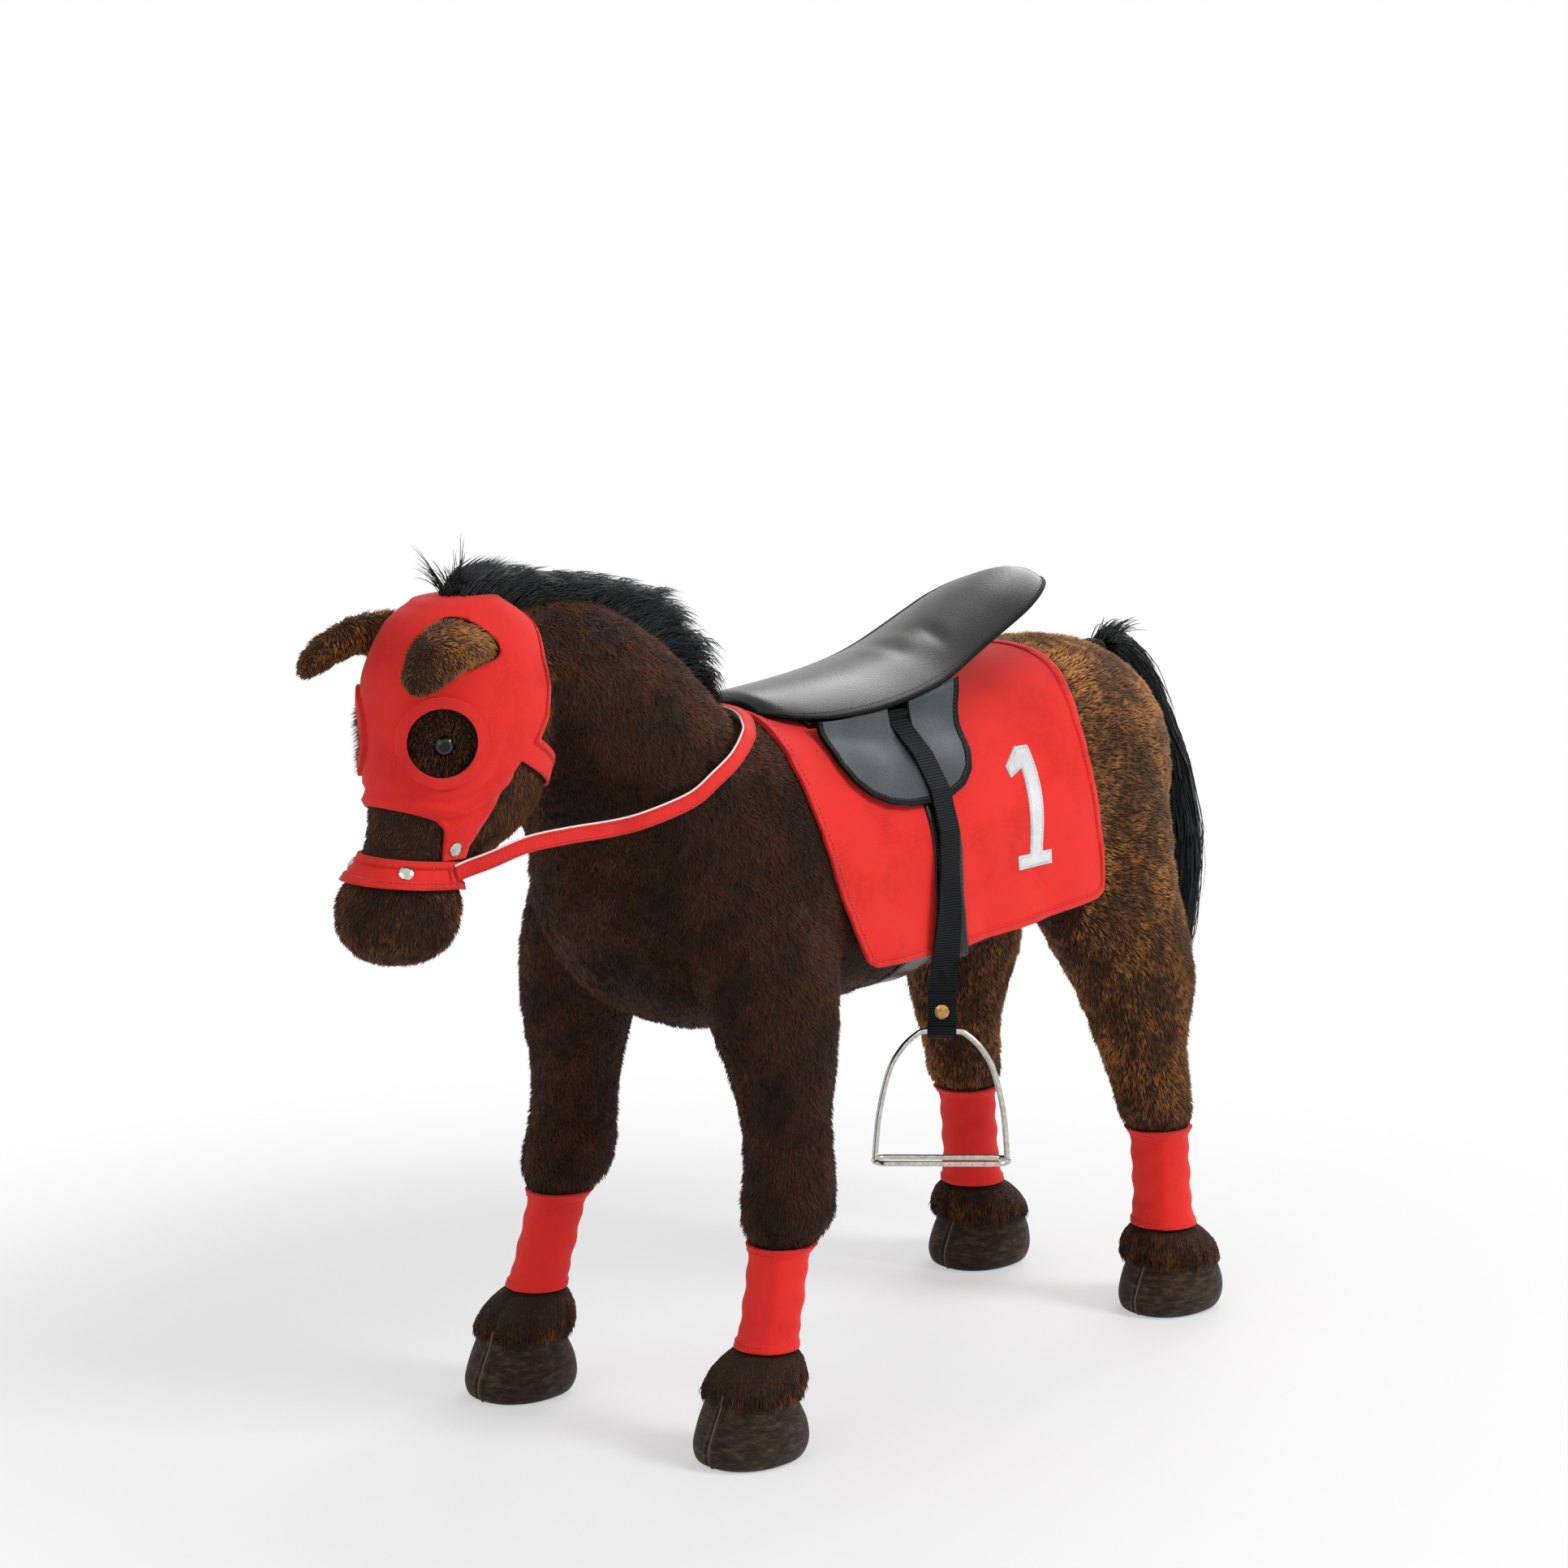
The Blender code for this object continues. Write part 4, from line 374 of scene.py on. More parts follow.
def wear(obj, material):
    """Makes this the object's only material."""
    obj.data.materials.clear()
    obj.data.materials.append(material)


def dress(obj, material, body, slot, *stands_for):
    """Gives a piece its material, the body that it rides on and the CAD nodes that it stands for, which it hides.
    slot is not used.
    """
    wear(obj, material)
    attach(obj, body)
    if stands_for:
        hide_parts(*stands_for)


def plush_material(name, deep, body, light, painted_sheen_and_tone, rough=0.86, sheen=0.25):
    """Acrylic pile, cut short and brushed: dark at the roots, each lock a little lighter or darker, with sheen at
    grazing angles, and broad light patches of painted sheen where brushed pile catches the light, mixed with random
    tone. painted_sheen_and_tone is how far these patches reach, from 0 to 1."""
    material, shader, place = new_material(name)
    broad = noise(material, place, 17.0, 3.0, 0.6)
    locks = noise(material, place, 150.0, 2.0, 0.7)
    mixed = maths(material, "MULTIPLY", broad, 0.62)
    mixed = maths(material, "MULTIPLY_ADD", locks, 0.38, mixed)
    # The light stop paints the sheen of brushed pile into the colour: painted highlight patches, with random tone.
    stops = [(0.34, deep), (0.60 + 0.08 * (1 - painted_sheen_and_tone), body), (0.80 + 0.15 * (1 - painted_sheen_and_tone), light)]
    tint = ramp(material, mixed, stops)
    bump = bumps(material, locks, 0.6, 0.002)
    plug(material, shader, {
        "Base Color": tint, "Normal": bump, "Roughness": rough,
        "Specular IOR Level": 0.25, "Sheen Weight": sheen, "Sheen Roughness": 0.45, "Sheen Tint": linear("#b98a5e"),
    })
    return material


COAT_SKIN = plush_material("plush_backing", "#180c05", "#2d180a", "#4a2c14", 0.5)
dress(coat, COAT_SKIN, "horse", "plush", "torso", "neck", "head", "fore_leg_left", "fore_leg_right",
      "hind_leg_left", "hind_leg_right", "ear_left", "ear_right")

# ---------------------------------------------------------------- pile of the coat
# The plush is a knitted backing with acrylic pile of about 7 mm, brushed back along the body and down the legs. Each
# strand here stands for a small lock of it, rooted in the skin and left out where tack lies on the coat.
PILE_PER_METRE = 190000
PILE_LENGTH = 0.0074
PILE_RADIUS = 0.00087
PILE_RISE = 0.44
PILE_ROOT = 0.0012
TACK_REACH = 0.016
TACK = ["saddle_cloth", "girth", "saddle_seat", "saddle_panel", "racing_hood", "noseband", "chin_strap"]
TACK += [f"{leg}_{piece}_{side}" for piece in ("wrap", "cuff", "hoof") for leg in ("fore", "hind") for side, _ in SIDES]


def nodes_tree(names):
    """One search tree over the faces of these CAD nodes."""
    points, faces = [], []
    for name in names:
        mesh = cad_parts[name].data
        start = len(points)
        points += [v.co for v in mesh.vertices]
        faces += [[start + v for v in p.vertices] for p in mesh.polygons]
    return BVHTree.FromPolygons(points, faces)


def skin_arrays(obj):
    """The skin's points, their normals, and its triangles."""
    mesh = obj.data
    points, normals = np.zeros(len(mesh.vertices) * 3), np.zeros(len(mesh.vertices) * 3)
    mesh.vertices.foreach_get("co", points)
    mesh.vertex_normals.foreach_get("vector", normals)
    mesh.calc_loop_triangles()
    triangles = np.zeros(len(mesh.loop_triangles) * 3, int)
    mesh.loop_triangles.foreach_get("vertices", triangles)
    return points.reshape(-1, 3), normals.reshape(-1, 3), triangles.reshape(-1, 3)


def scatter(obj, per_metre, draw):
    """Roots spread by area: a triangle picked by its share of the skin, then a random place in it."""
    points, normals, triangles = skin_arrays(obj)
    a, b, c = (points[triangles[:, k]] for k in range(3))
    area = np.linalg.norm(np.cross(b - a, c - a), axis=1) / 2
    count = int(area.sum() * per_metre)
    picked = triangles[draw.choice(len(area), count, p=area / area.sum())]
    u, v = draw.random((2, count, 1))
    u, v = np.where(u + v > 1, 1 - u, u), np.where(u + v > 1, 1 - v, v)
    weights = np.stack([1 - u - v, u, v], 1)
    return (points[picked] * weights).sum(1), unit((normals[picked] * weights).sum(1))


WAVE_PARTS = 6


def waves(points, length, draw):
    """Smooth noise from -1 to 1: the mean of sine waves of about this length, each in its own direction."""
    spread = unit(draw.normal(size=(WAVE_PARTS, 3))) * (2 * math.pi / length)
    spread = spread * draw.uniform(0.7, 1.4, (WAVE_PARTS, 1))
    return np.sin(points @ spread.T + draw.uniform(0, 6.28, WAVE_PARTS)).sum(1) / math.sqrt(WAVE_PARTS)


def strands(name, paths, radii, blunt=0.15):
    """Three-sided hairs along paths, thinning to a point. Each has its own square in the OFBake map, with its root
    at the foot of the square and its tip at the top."""
    count, steps = paths.shape[:2]
    along = unit(np.gradient(paths, axis=1))[:, :-1]
    across = unit(np.cross(along, np.array([0.31, 0.17, 0.94])))
    out = np.cross(across, along)
    reach = np.linspace(0, 1, steps)[:-1]
    radius = radii[:, None] * (1 - (1 - blunt) * reach**1.6)[None, :]
    angle = 2 * math.pi * np.arange(3) / 3
    turn = np.cos(angle)[:, None] * across[:, :, None] + np.sin(angle)[:, None] * out[:, :, None]
    rings = paths[:, :-1, None] + radius[..., None, None] * turn
    points = np.concatenate([rings.reshape(count, -1, 3), paths[:, -1:]], 1)
    corners, sizes, map_places = [2, 1, 0], [3], [(0.01, 0.0), (0.03, 0.0), (0.02, 0.02)]
    for s in range(steps - 1):
        for k in range(3):
            n, left, right = (k + 1) % 3, k / 3 + 0.02, (k + 1) / 3 - 0.02
            low, high = s / (steps - 1), (s + 1) / (steps - 1)
            last = s == steps - 2
            corners += [3 * s + k, 3 * s + n] + ([3 * s + 3] if last else [3 * s + 3 + n, 3 * s + 3 + k])
            map_places += [(left, low), (right, low)]
            map_places += [((left + right) / 2, high)] if last else [(right, high), (left, high)]
            sizes.append(3 if last else 4)
    cells = math.ceil(math.sqrt(count))
    corner = (np.array(corners)[None] + points.shape[1] * np.arange(count)[:, None]).ravel()
    totals = np.tile(sizes, count)
    square = np.stack([np.arange(count) % cells, np.arange(count) // cells], -1)[:, None]
    places = (square + 0.06 + 0.88 * np.array(map_places)[None]) / cells
    mesh = bpy.data.meshes.new(name)
    mesh.vertices.add(points.shape[1] * count)
    mesh.vertices.foreach_set("co", points.astype(np.float32).ravel())
    mesh.loops.add(len(corner))
    mesh.loops.foreach_set("vertex_index", corner.astype(np.int32))
    mesh.polygons.add(len(totals))
    mesh.polygons.foreach_set("loop_start", (np.cumsum(totals) - totals).astype(np.int32))
    mesh.uv_layers.new(name="OFBake").data.foreach_set("uv", places.astype(np.float32).ravel())
    mesh.update(calc_edges=True)
    mesh.shade_smooth()
    obj = bpy.data.objects.new(name, mesh)
    obj["cells"] = cells
    bpy.context.scene.collection.objects.link(obj)
    return obj


def hair_material(name, cells, root, body, tip, painted_sheen_and_tone_stops, size=17.0, rough=0.7, sheen=0.3):
    """Synthetic hair: darker at the root, lighter at the tip, each lock a tone of its own, with broad patches of
    painted sheen where brushed pile catches the light. painted_sheen_and_tone_stops are the colour stops of that
    noise, which also carries each lock's random tone."""
    material, shader, place = new_material(name)
    strand_map = add(material, "UVMap", uv_map="OFBake").outputs["UV"]
    scaled = add(material, "VectorMath", {0: strand_map, 1: (cells, cells, 0)}, operation="MULTIPLY").outputs[0]
    cell = add(material, "VectorMath", {0: scaled}, operation="FLOOR").outputs[0]
    inside = add(material, "VectorMath", {0: scaled}, operation="FRACTION").outputs[0]
    reach = add(material, "SeparateXYZ", {0: inside}).outputs["Y"]
    tone = add(material, "TexWhiteNoise", {"Vector": cell}, noise_dimensions="3D").outputs["Value"]
    # Broad and tuft noise place the patches of painted sheen; the tone noise adds each lock's random tone.
    broad = noise(material, place, size, 3.0, 0.62)
    tuft = noise(material, place, size * 6, 1.0)
    turned = maths(material, "MULTIPLY_ADD", tuft, 0.45, broad)
    spread = maths(material, "MULTIPLY_ADD", tone, 0.13, turned)
    painted_sheen_and_tone = ramp(material, spread, painted_sheen_and_tone_stops)
    shade = ramp(material, reach, [(0.0, root), (0.45, body), (1.0, tip)])
    mixed = add(material, "Mix", {0: 1.0, 6: shade, 7: painted_sheen_and_tone}, data_type="RGBA", blend_type="OVERLAY").outputs[2]
    plug(material, shader, {
        "Base Color": mixed, "Roughness": rough, "Specular IOR Level": 0.3, "Sheen Weight": sheen,
        "Sheen Roughness": 0.4, "Sheen Tint": linear(tip),
    })
    return material


draw = np.random.default_rng(11)
tack_tree = nodes_tree(TACK)
roots, leaning = scatter(coat, PILE_PER_METRE, draw)
stance = roots - np.array([0.0, SHIFT, 0.0])
under_tack = np.array([
    tack_tree.ray_cast(Vector(place), Vector(way), TACK_REACH)[0] is not None
    for place, way in zip(roots - leaning * 0.003, leaning)
])
roots, leaning, stance = roots[~under_tack], leaning[~under_tack], stance[~under_tack]

# The comb runs down, back over the barrel, and forward and down over the face
back_share = ease_step(stance[:, 1], -0.30, -0.12) * ease_step(stance[:, 2], 0.34, 0.50)
on_head = ease_step(-stance[:, 1], 0.50, 0.56) * ease_step(0.80 - stance[:, 2], 0.0, 0.05)
comb = np.stack([np.zeros(len(roots)), 0.25 + 0.85 * back_share - 0.55 * on_head, -1.0 + 0.72 * back_share], 1)
for strength, wave_length in ((0.24, 0.045), (0.13, 0.013)):
    comb += strength * np.stack([waves(roots, wave_length, draw) for _ in range(3)], 1)
comb = unit(comb - leaning * (comb * leaning).sum(1, keepdims=True))
rise = PILE_RISE * (1 + 0.35 * waves(roots, 0.020, draw))[:, None]
eye_side = np.sign(stance[:, [0]]) * (1, 0, 0) + (0, 1, 1)
from_eye = stance - np.array(EYE_PLACE) * eye_side
eye_axis = np.array(EYE_LOOK) * eye_side
from_eye = np.linalg.norm(from_eye - eye_axis * (from_eye * eye_axis).sum(1, keepdims=True), axis=1)
in_eye_hole = (on_head > 0.5) & (from_eye < 0.031) & (from_eye > 0.010)
rise[in_eye_hole] = 1.3
heading = unit(comb + rise * leaning + 0.10 * draw.normal(size=comb.shape))
length = PILE_LENGTH * (1 - 0.35 * on_head) * draw.uniform(0.75, 1.15, len(roots))
length[in_eye_hole] *= np.where(stance[in_eye_hole, 0] < 0, 3.2, 1.7)
length[(on_head > 0.5) & (stance[:, 2] < 0.572)] *= 1.45
pile = np.stack([roots - leaning * PILE_ROOT, roots + heading * length[:, None]], 1)
pile_radius = PILE_RADIUS * draw.uniform(0.8, 1.25, len(roots))
y, z = stance[:, 1], stance[:, 2]
ear_low, ear_high = (Vector(corner) - Vector((0, SHIFT, 0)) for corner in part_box("ear_left")[:2])
on_ear = (np.abs(stance[:, 0]) > ear_low.x + 0.010) & (y < ear_high.y) & (y > ear_low.y - 0.004)
on_ear &= (z > ear_low.z - 0.004) & (z < ear_high.z + 0.004)
# Where head and neck, chest and barrel, and barrel and rump part, and where fore and hind legs part
FACE_Y, CHEST_Y, RUMP_Y, MIDDLE_Y = -0.49, -0.22, 0.17, 0.05
ELBOW_Z, STIFLE_Z, SHOULDER_Z = 0.36, 0.42, 0.60
before_barrel = (y <= CHEST_Y) & (y > FACE_Y)
REGIONS = {
    "rump_pile": (y > RUMP_Y) & (z > STIFLE_Z),
    "barrel_pile": (y > CHEST_Y) & (y <= RUMP_Y) & (z > ELBOW_Z),
    "chest_pile": before_barrel & (z > ELBOW_Z) & (z <= SHOULDER_Z),
    "neck_pile": before_barrel & (z > SHOULDER_Z),
    "head_pile": (y <= FACE_Y) & (z > ELBOW_Z) & ~on_ear,
    "ear_pile": on_ear,
    "fore_leg_pile": (y <= MIDDLE_Y) & (z <= ELBOW_Z),
    "hind_leg_pile": ((y > MIDDLE_Y) & (z <= ELBOW_Z)) | ((y > RUMP_Y) & (z <= STIFLE_Z) & (z > ELBOW_Z)),
}
# Colour stops of painted sheen: lighter and darker patches where brushed pile catches the light, with random tone per
# lock. The gold stops brighten the pile into painted golden highlights.
PAINTED_SHEEN_AND_TONE = [(0.64, "#4a3a2c"), (0.80, "#80705e"), (0.96, "#c0a888")]
GOLD_PAINTED_SHEEN_AND_TONE = [(0.62, "#5a4a3a"), (0.75, "#85735e"), (0.85, "#c8b08a"), (0.97, "#f6e4c2")]
DARK_PLUSH = ("#1a0c05", "#46240e", "#7e4a22", PAINTED_SHEEN_AND_TONE)
# Root, body and tip colours and sheen stops by region. The rump, hind legs, ears and head get lighter copies of the
# same brown plush: painted light where the light falls on them from above and behind.
PAINTED_LIGHT_TONES = {
    "rump_pile": ("#5e3a1c", "#8c6036", "#c49c68", GOLD_PAINTED_SHEEN_AND_TONE),
    "hind_leg_pile": ("#4a2c14", "#7a512b", "#b08656", GOLD_PAINTED_SHEEN_AND_TONE),
    "ear_pile": ("#63401f", "#9c6d38", "#d6ac72", PAINTED_SHEEN_AND_TONE),
    "head_pile": ("#2c190d", "#523219", "#8a6039", GOLD_PAINTED_SHEEN_AND_TONE),
}
for name, chosen in REGIONS.items():
    fur = strands(name, pile[chosen], pile_radius[chosen])
    tones = PAINTED_LIGHT_TONES.get(name, DARK_PLUSH)
    dress(fur, hair_material(name + "_hair", fur["cells"], *tones, rough=0.52, sheen=0.22), "horse", "plush")

# ---------------------------------------------------------------- racing hood, noseband and chin strap
# A red woven cotton hood pulled over the head, cut out for ears, eyes and muzzle. Its edges are turned under and
# sewn down with one row of red thread, and a noseband and chin strap of the same cloth close it round the nose.
HOOD_INNER = 0.0006
HOOD_THICKNESS = 0.0025
HEM_WIDTH = 0.0065
HEM_RAISE = 0.0011
THREAD_RADIUS = 0.00036
THREAD_LENGTH = 0.0029
THREAD_LIFT = 0.0002
STITCH_PITCH = 0.0042


def offset_form(rings, first_pole, last_pole, grow):
    """The rings moved out along their normals by grow, with poles moved out along the form's own axis."""
    normals = grid_normals(rings)
    moved = rings + normals * grow
    first_way = unit(rings[0].mean(0) - rings[2].mean(0))
    last_way = unit(rings[-1].mean(0) - rings[-3].mean(0))
    reach = float(np.min(grow))
    moved[0] += first_way * reach
    moved[-1] += last_way * reach
    return moved, np.array(first_pole) + first_way * reach, np.array(last_pole) + last_way * reach


def hood_folds(rings):
    """Folds in the cloth round and below each eye: ridges that circle the eye, strongest towards the cheek."""
    side = np.sign(rings[..., :1]) * (1, 0, 0) + (0, 1, 1)
    away = rings - np.array(EYE_PLACE) * side
    distance = np.linalg.norm(away[..., 1:], axis=-1)
    turn = np.arctan2(-away[..., 2], away[..., 1])
    ridge = np.sin(2 * math.pi * (distance - 0.046) / 0.017 + 1.3 * turn)
    share = ease_step(distance, 0.043, 0.052) * (1 - ease_step(distance, 0.072, 0.088))
    share = share * np.clip(np.cos(turn - 0.95), 0, 1)
    crown = np.sin(rings[..., 2] * 95 + rings[..., 1] * 60) * ease_step(rings[..., 2], 0.735, 0.760)
    return (0.0034 * ridge * share + 0.0007 * crown + 0.0008)[..., None] * (rings[..., 2:] > 0.61)


HEAD_FOLDS = hood_folds(head_rings)


def head_shell(name, inner, outer):
    """The space between two offsets of the head: an outer skin, and an inner skin turned inside out."""
    skins = [
        closed_form(name, *offset_form(head_rings, *HEAD_POLES, reach + HEAD_FOLDS)) for reach in (inner, outer)
    ]
    skins[0].data.flip_normals()
    shell = join(skins)
    shell.name = name
    return shell


def side_prism(name, outline, low, high):
    """An outline of y and z carried straight across from x = low to x = high."""
    outline = np.array(outline)
    count = len(outline)
    points = [np.concatenate([np.full((count, 1), x), outline], 1) for x in (low, high)]
    k = np.arange(count)
    walls = np.stack([k, (k + 1) % count, (k + 1) % count + count, k + count], -1).tolist()
    obj = mesh_of(name, np.concatenate(points), walls + [k[::-1].tolist(), (k + count).tolist()], smooth=False)
    return tidy(obj)


def disc(name, centre, look, radius, depth):
    """A flat drum round centre whose axis is look."""
    look = unit(np.array(look, float))
    side = unit(np.cross(look, (0.0, 0.0, 1.0)))
    angle = circle(64)[:, None]
    ring = radius * (np.cos(angle) * side + np.sin(angle) * np.cross(look, side))
    rings = np.stack([np.array(centre) + ring + look * d for d in (-depth / 2, depth / 2)])
    return closed_form(name, rings, np.array(centre) - look * depth / 2, np.array(centre) + look * depth / 2)


def combine(obj, tool, operation):
    """An exact Boolean with the tool, applied at once. The tool is used up."""
    step = obj.modifiers.new(operation, "BOOLEAN")
    step.operation = operation
    step.solver = "EXACT"
    step.object = tool
    apply_modifiers(obj)
    bpy.data.objects.remove(tool)
    return obj


def inset(outline, distance):
    """The outline moved inward: each corner goes along the mean of its two edges' inward normals."""
    points = np.array(outline, float)
    edge = unit(np.roll(points, -1, 0) - points)
    inward = np.stack([-edge[:, 1], edge[:, 0]], 1)
    area = (points[:, 0] * np.roll(points[:, 1], -1) - np.roll(points[:, 0], -1) * points[:, 1]).sum()
    inward = inward if area > 0 else -inward
    both = inward + np.roll(inward, 1, 0)
    corner = both / np.maximum((both * both).sum(1, keepdims=True) / 2, 0.35)
    return points + corner * distance


def keep_band(obj, outline, beyond, within, low, high):
    """Keeps a band along the outline's edge: from beyond outside it to within inside it, for a folded hem."""
    combine(obj, side_prism("band_edge", inset(outline, -beyond), low, high), "INTERSECT")
    combine(obj, side_prism("band_fold", inset(outline, within), low - 0.01, high + 0.01), "DIFFERENCE")


def along_line(points, pitch):
    """Places at even steps along a line. Columns past the third come along and don't count as length."""
    points = np.array(points, float)
    reach = np.concatenate([[0], np.cumsum(np.linalg.norm(np.diff(points[:, :3], axis=0), axis=1))])
    at = np.arange(pitch / 2, reach[-1], pitch)
    return np.stack([np.interp(at, reach, points[:, k]) for k in range(points.shape[1])], 1)


def thread_row(name, places, normals, material):
    """Stitches: each a short spindle of thread lying along the row, half sunk in the cloth."""
    way = unit(np.gradient(places, axis=0))
    side = unit(np.cross(normals, way))
    ends = np.array([-0.5, -0.32, 0.32, 0.5]) * THREAD_LENGTH
    fat = np.array([0.15, 1.0, 1.0, 0.15]) * THREAD_RADIUS
    angle = 2 * math.pi * np.arange(5) / 5
    ring = np.cos(angle)[:, None] * side[:, None] + np.sin(angle)[:, None] * normals[:, None]
    points = places[:, None, None] + ends[:, None, None] * way[:, None, None] + fat[:, None, None] * ring[:, None]
    count = len(places)
    faces = np.concatenate([grid_faces(4, 5, start=20 * s) for s in range(count)])
    caps = [[20 * s + k for k in range(4, -1, -1)] for s in range(count)]
    caps += [[20 * s + 15 + k for k in range(5)] for s in range(count)]
    obj = tidy(mesh_of(name, points.reshape(-1, 3) - np.array([0, SHIFT, 0]), faces.tolist() + caps))
    wear(obj, material)
    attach(obj, "horse")


def skin_tree(obj):
    """A search tree over the faces of the object."""
    return BVHTree.FromPolygons([v.co for v in obj.data.vertices], [p.vertices for p in obj.data.polygons])


def on_surface(obj, line, side):
    """Where a side view's line meets the piece: rays from far out at that side, kept where the piece faces them."""
    tree = skin_tree(obj)
    places, normals = [], []
    for y, z in line:
        hit, normal, _, _ = tree.ray_cast(Vector((0.5 * side, y + SHIFT, z)), Vector((-side, 0, 0)))
        if hit is not None and normal.x * side > 0.30:
            places.append(hit + normal * THREAD_LIFT)
            normals.append(normal)
    return np.array(places).reshape(-1, 3), np.array(normals).reshape(-1, 3)


def sewn_rows(name, obj, outline, depth, material, pitch=STITCH_PITCH):
    """One row of stitches inside the outline on each side of the piece."""
    line = inset(outline, depth)
    for side_name, side in SIDES:
        places, normals = on_surface(obj, along_line(np.concatenate([line, line[:1]]), pitch), side)
        if len(places) > 3:
            thread_row(f"{name}_{side_name}", places, normals, material)


WEAVE = 0.0011


def cloth_material(name, colour, shade):
    """Plain-woven cotton: two sets of threads cross at right angles, so the face is finely ribbed both ways, with
    painted shade a little darker between the threads, and with slow changes of tone where it has faded. The weave
    is drawn at about three times its real 0.35 mm, because the real one is too fine to show."""
    material, shader, place = new_material(name)
    turn = 2 * math.pi / WEAVE / 20
    lines = []
    for axis in ("X", "Y", "Z"):
        wave = add(material, "TexWave", {"Vector": place, "Scale": turn, "Distortion": 0.4, "Detail": 1.0},
                   wave_type="BANDS", bands_direction=axis)
        lines.append(wave.outputs["Fac"])
    crossed = maths(material, "MAXIMUM", lines[0], lines[1])
    crossed = maths(material, "MULTIPLY", crossed, lines[2])
    fade = noise(material, place, 14.0, 4.0, 0.6)
    fluff = noise(material, place, 900.0, 1.0)
    # The weave term darkens the gaps between threads as painted shade; fade and fluff are the cloth's own tone.
    level = maths(material, "MULTIPLY_ADD", crossed, 0.16, fade)
    level = maths(material, "MULTIPLY_ADD", fluff, 0.22, level)
    tint = ramp(material, level, [(0.34, shade), (0.66, colour)])
    bump = bumps(material, level, 0.35, 0.0006)
    plug(material, shader, {
        "Base Color": tint, "Normal": bump, "Roughness": 0.82,
        "Specular IOR Level": 0.2, "Sheen Weight": 0.12, "Sheen Roughness": 0.5,
    })
    return material


def thread_material(name, dark, light, rough=0.5):
    """Polyester sewing thread, a little uneven in tone."""
    material, shader, place = new_material(name)
    tone = noise(material, place, 400.0, 2.0)
    tint = ramp(material, tone, [(0.35, dark), (0.65, light)])
    plug(material, shader, {"Base Color": tint, "Roughness": rough})
    return material


RED_CLOTH = cloth_material("woven_red_cotton", "#ea2d27", "#c81d18")
RED_HEM = cloth_material("turned_red_hem", "#e62f2a", "#a81410")
RED_THREAD = thread_material("red_polyester_thread", "#8e120c", "#b51c14", 0.55)

HOOD_OUTLINE = [
    (-0.720, 0.645), (-0.648, 0.6405), (-0.632, 0.635), (-0.618, 0.629), (-0.6125, 0.618), (-0.612, 0.5925),
    (-0.588, 0.5925), (-0.586, 0.604), (-0.562, 0.647), (-0.541, 0.677), (-0.455, 0.630), (-0.440, 0.646),
    (-0.518, 0.694), (-0.5035, 0.712), (-0.4975, 0.737), (-0.4975, 0.765), (-0.492, 0.786), (-0.483, 0.803),
    (-0.480, 0.860), (-0.720, 0.860),
]
NOSE_OUTLINE = [
    (-0.720, 0.6035), (-0.660, 0.5975), (-0.600, 0.5905), (-0.600, 0.5665), (-0.660, 0.5735), (-0.720, 0.5795),
]
CHIN_OUTLINE = [(-0.5997, 0.5905), (-0.540, 0.580), (-0.540, 0.552), (-0.5997, 0.5665)]
EYE_HOLE = 0.0315
HOOD_OUTER = HOOD_INNER + HOOD_THICKNESS
HEAD_REACH = 0.12


def eye_disc(name, side, radius):
    """A drum that crosses the hood round the eye."""
    centre, look = np.array(EYE_PLACE) * (side, 1, 1), np.array(EYE_LOOK) * (side, 1, 1)
    return disc(name, centre, look, radius, 0.050)


for piece_name, outline in (("racing_hood", HOOD_OUTLINE), ("noseband", NOSE_OUTLINE), ("chin_strap", CHIN_OUTLINE)):
    cloth = head_shell(piece_name + "_cloth", HOOD_INNER, HOOD_OUTER)
    combine(cloth, side_prism("cutting_line", outline, -HEAD_REACH, HEAD_REACH), "INTERSECT")
    hem = head_shell(piece_name + "_hem", HOOD_OUTER - 0.0004, HOOD_OUTER + HEM_RAISE)
    keep_band(hem, outline, 0.0002, HEM_WIDTH, -HEAD_REACH, HEAD_REACH)
    if piece_name == "racing_hood":
        for _, side in SIDES:
            combine(cloth, eye_disc("eye_hole", side, EYE_HOLE), "DIFFERENCE")
            for part in (cloth, hem):
                combine(part, ear_solid("ear_hole", side, 0.0022), "DIFFERENCE")
            combine(hem, eye_disc("eye_room", side, EYE_HOLE + 0.008), "DIFFERENCE")
    dress(cloth, RED_CLOTH, "horse", "red_cloth", piece_name)
    dress(hem, RED_HEM, "horse", "red_cloth")
    sewn_rows(piece_name + "_stitches", hem, outline, HEM_WIDTH - 0.0014, RED_THREAD)

# ---------------------------------------------------------------- eye rims, eyes and snaps
# A stuffed ring of the hood's cloth is sewn round each eye hole. The eyes are brown glass domes on a stem, and the
# noseband and the cheek straps close with nickel press snaps.
RIM_WIDTH = 0.0095
RIM_HEIGHT = 0.0038
HEAD_HALF = [(-0.72, 0.63), (-0.50, 0.63), (-0.50, 0.77), (-0.72, 0.77)]
for side_name, side in SIDES:
    rim = head_shell("eye_rim_" + side_name + "_roll", HOOD_OUTER - 0.0003, HOOD_OUTER + RIM_HEIGHT)
    combine(rim, eye_disc("rim_edge", side, EYE_HOLE + RIM_WIDTH), "INTERSECT")
    combine(rim, eye_disc("rim_hole", side, EYE_HOLE), "DIFFERENCE")
    combine(rim, side_prism("rim_side", HEAD_HALF, *sorted((0.003 * side, HEAD_REACH * side))), "INTERSECT")
    modify(rim, "BEVEL", width=RIM_HEIGHT / 2, segments=3, limit_method="ANGLE", angle_limit=math.radians(50))
    apply_modifiers(rim)
    dress(rim, RED_HEM, "horse", "red_cloth", "eye_rim_" + side_name)


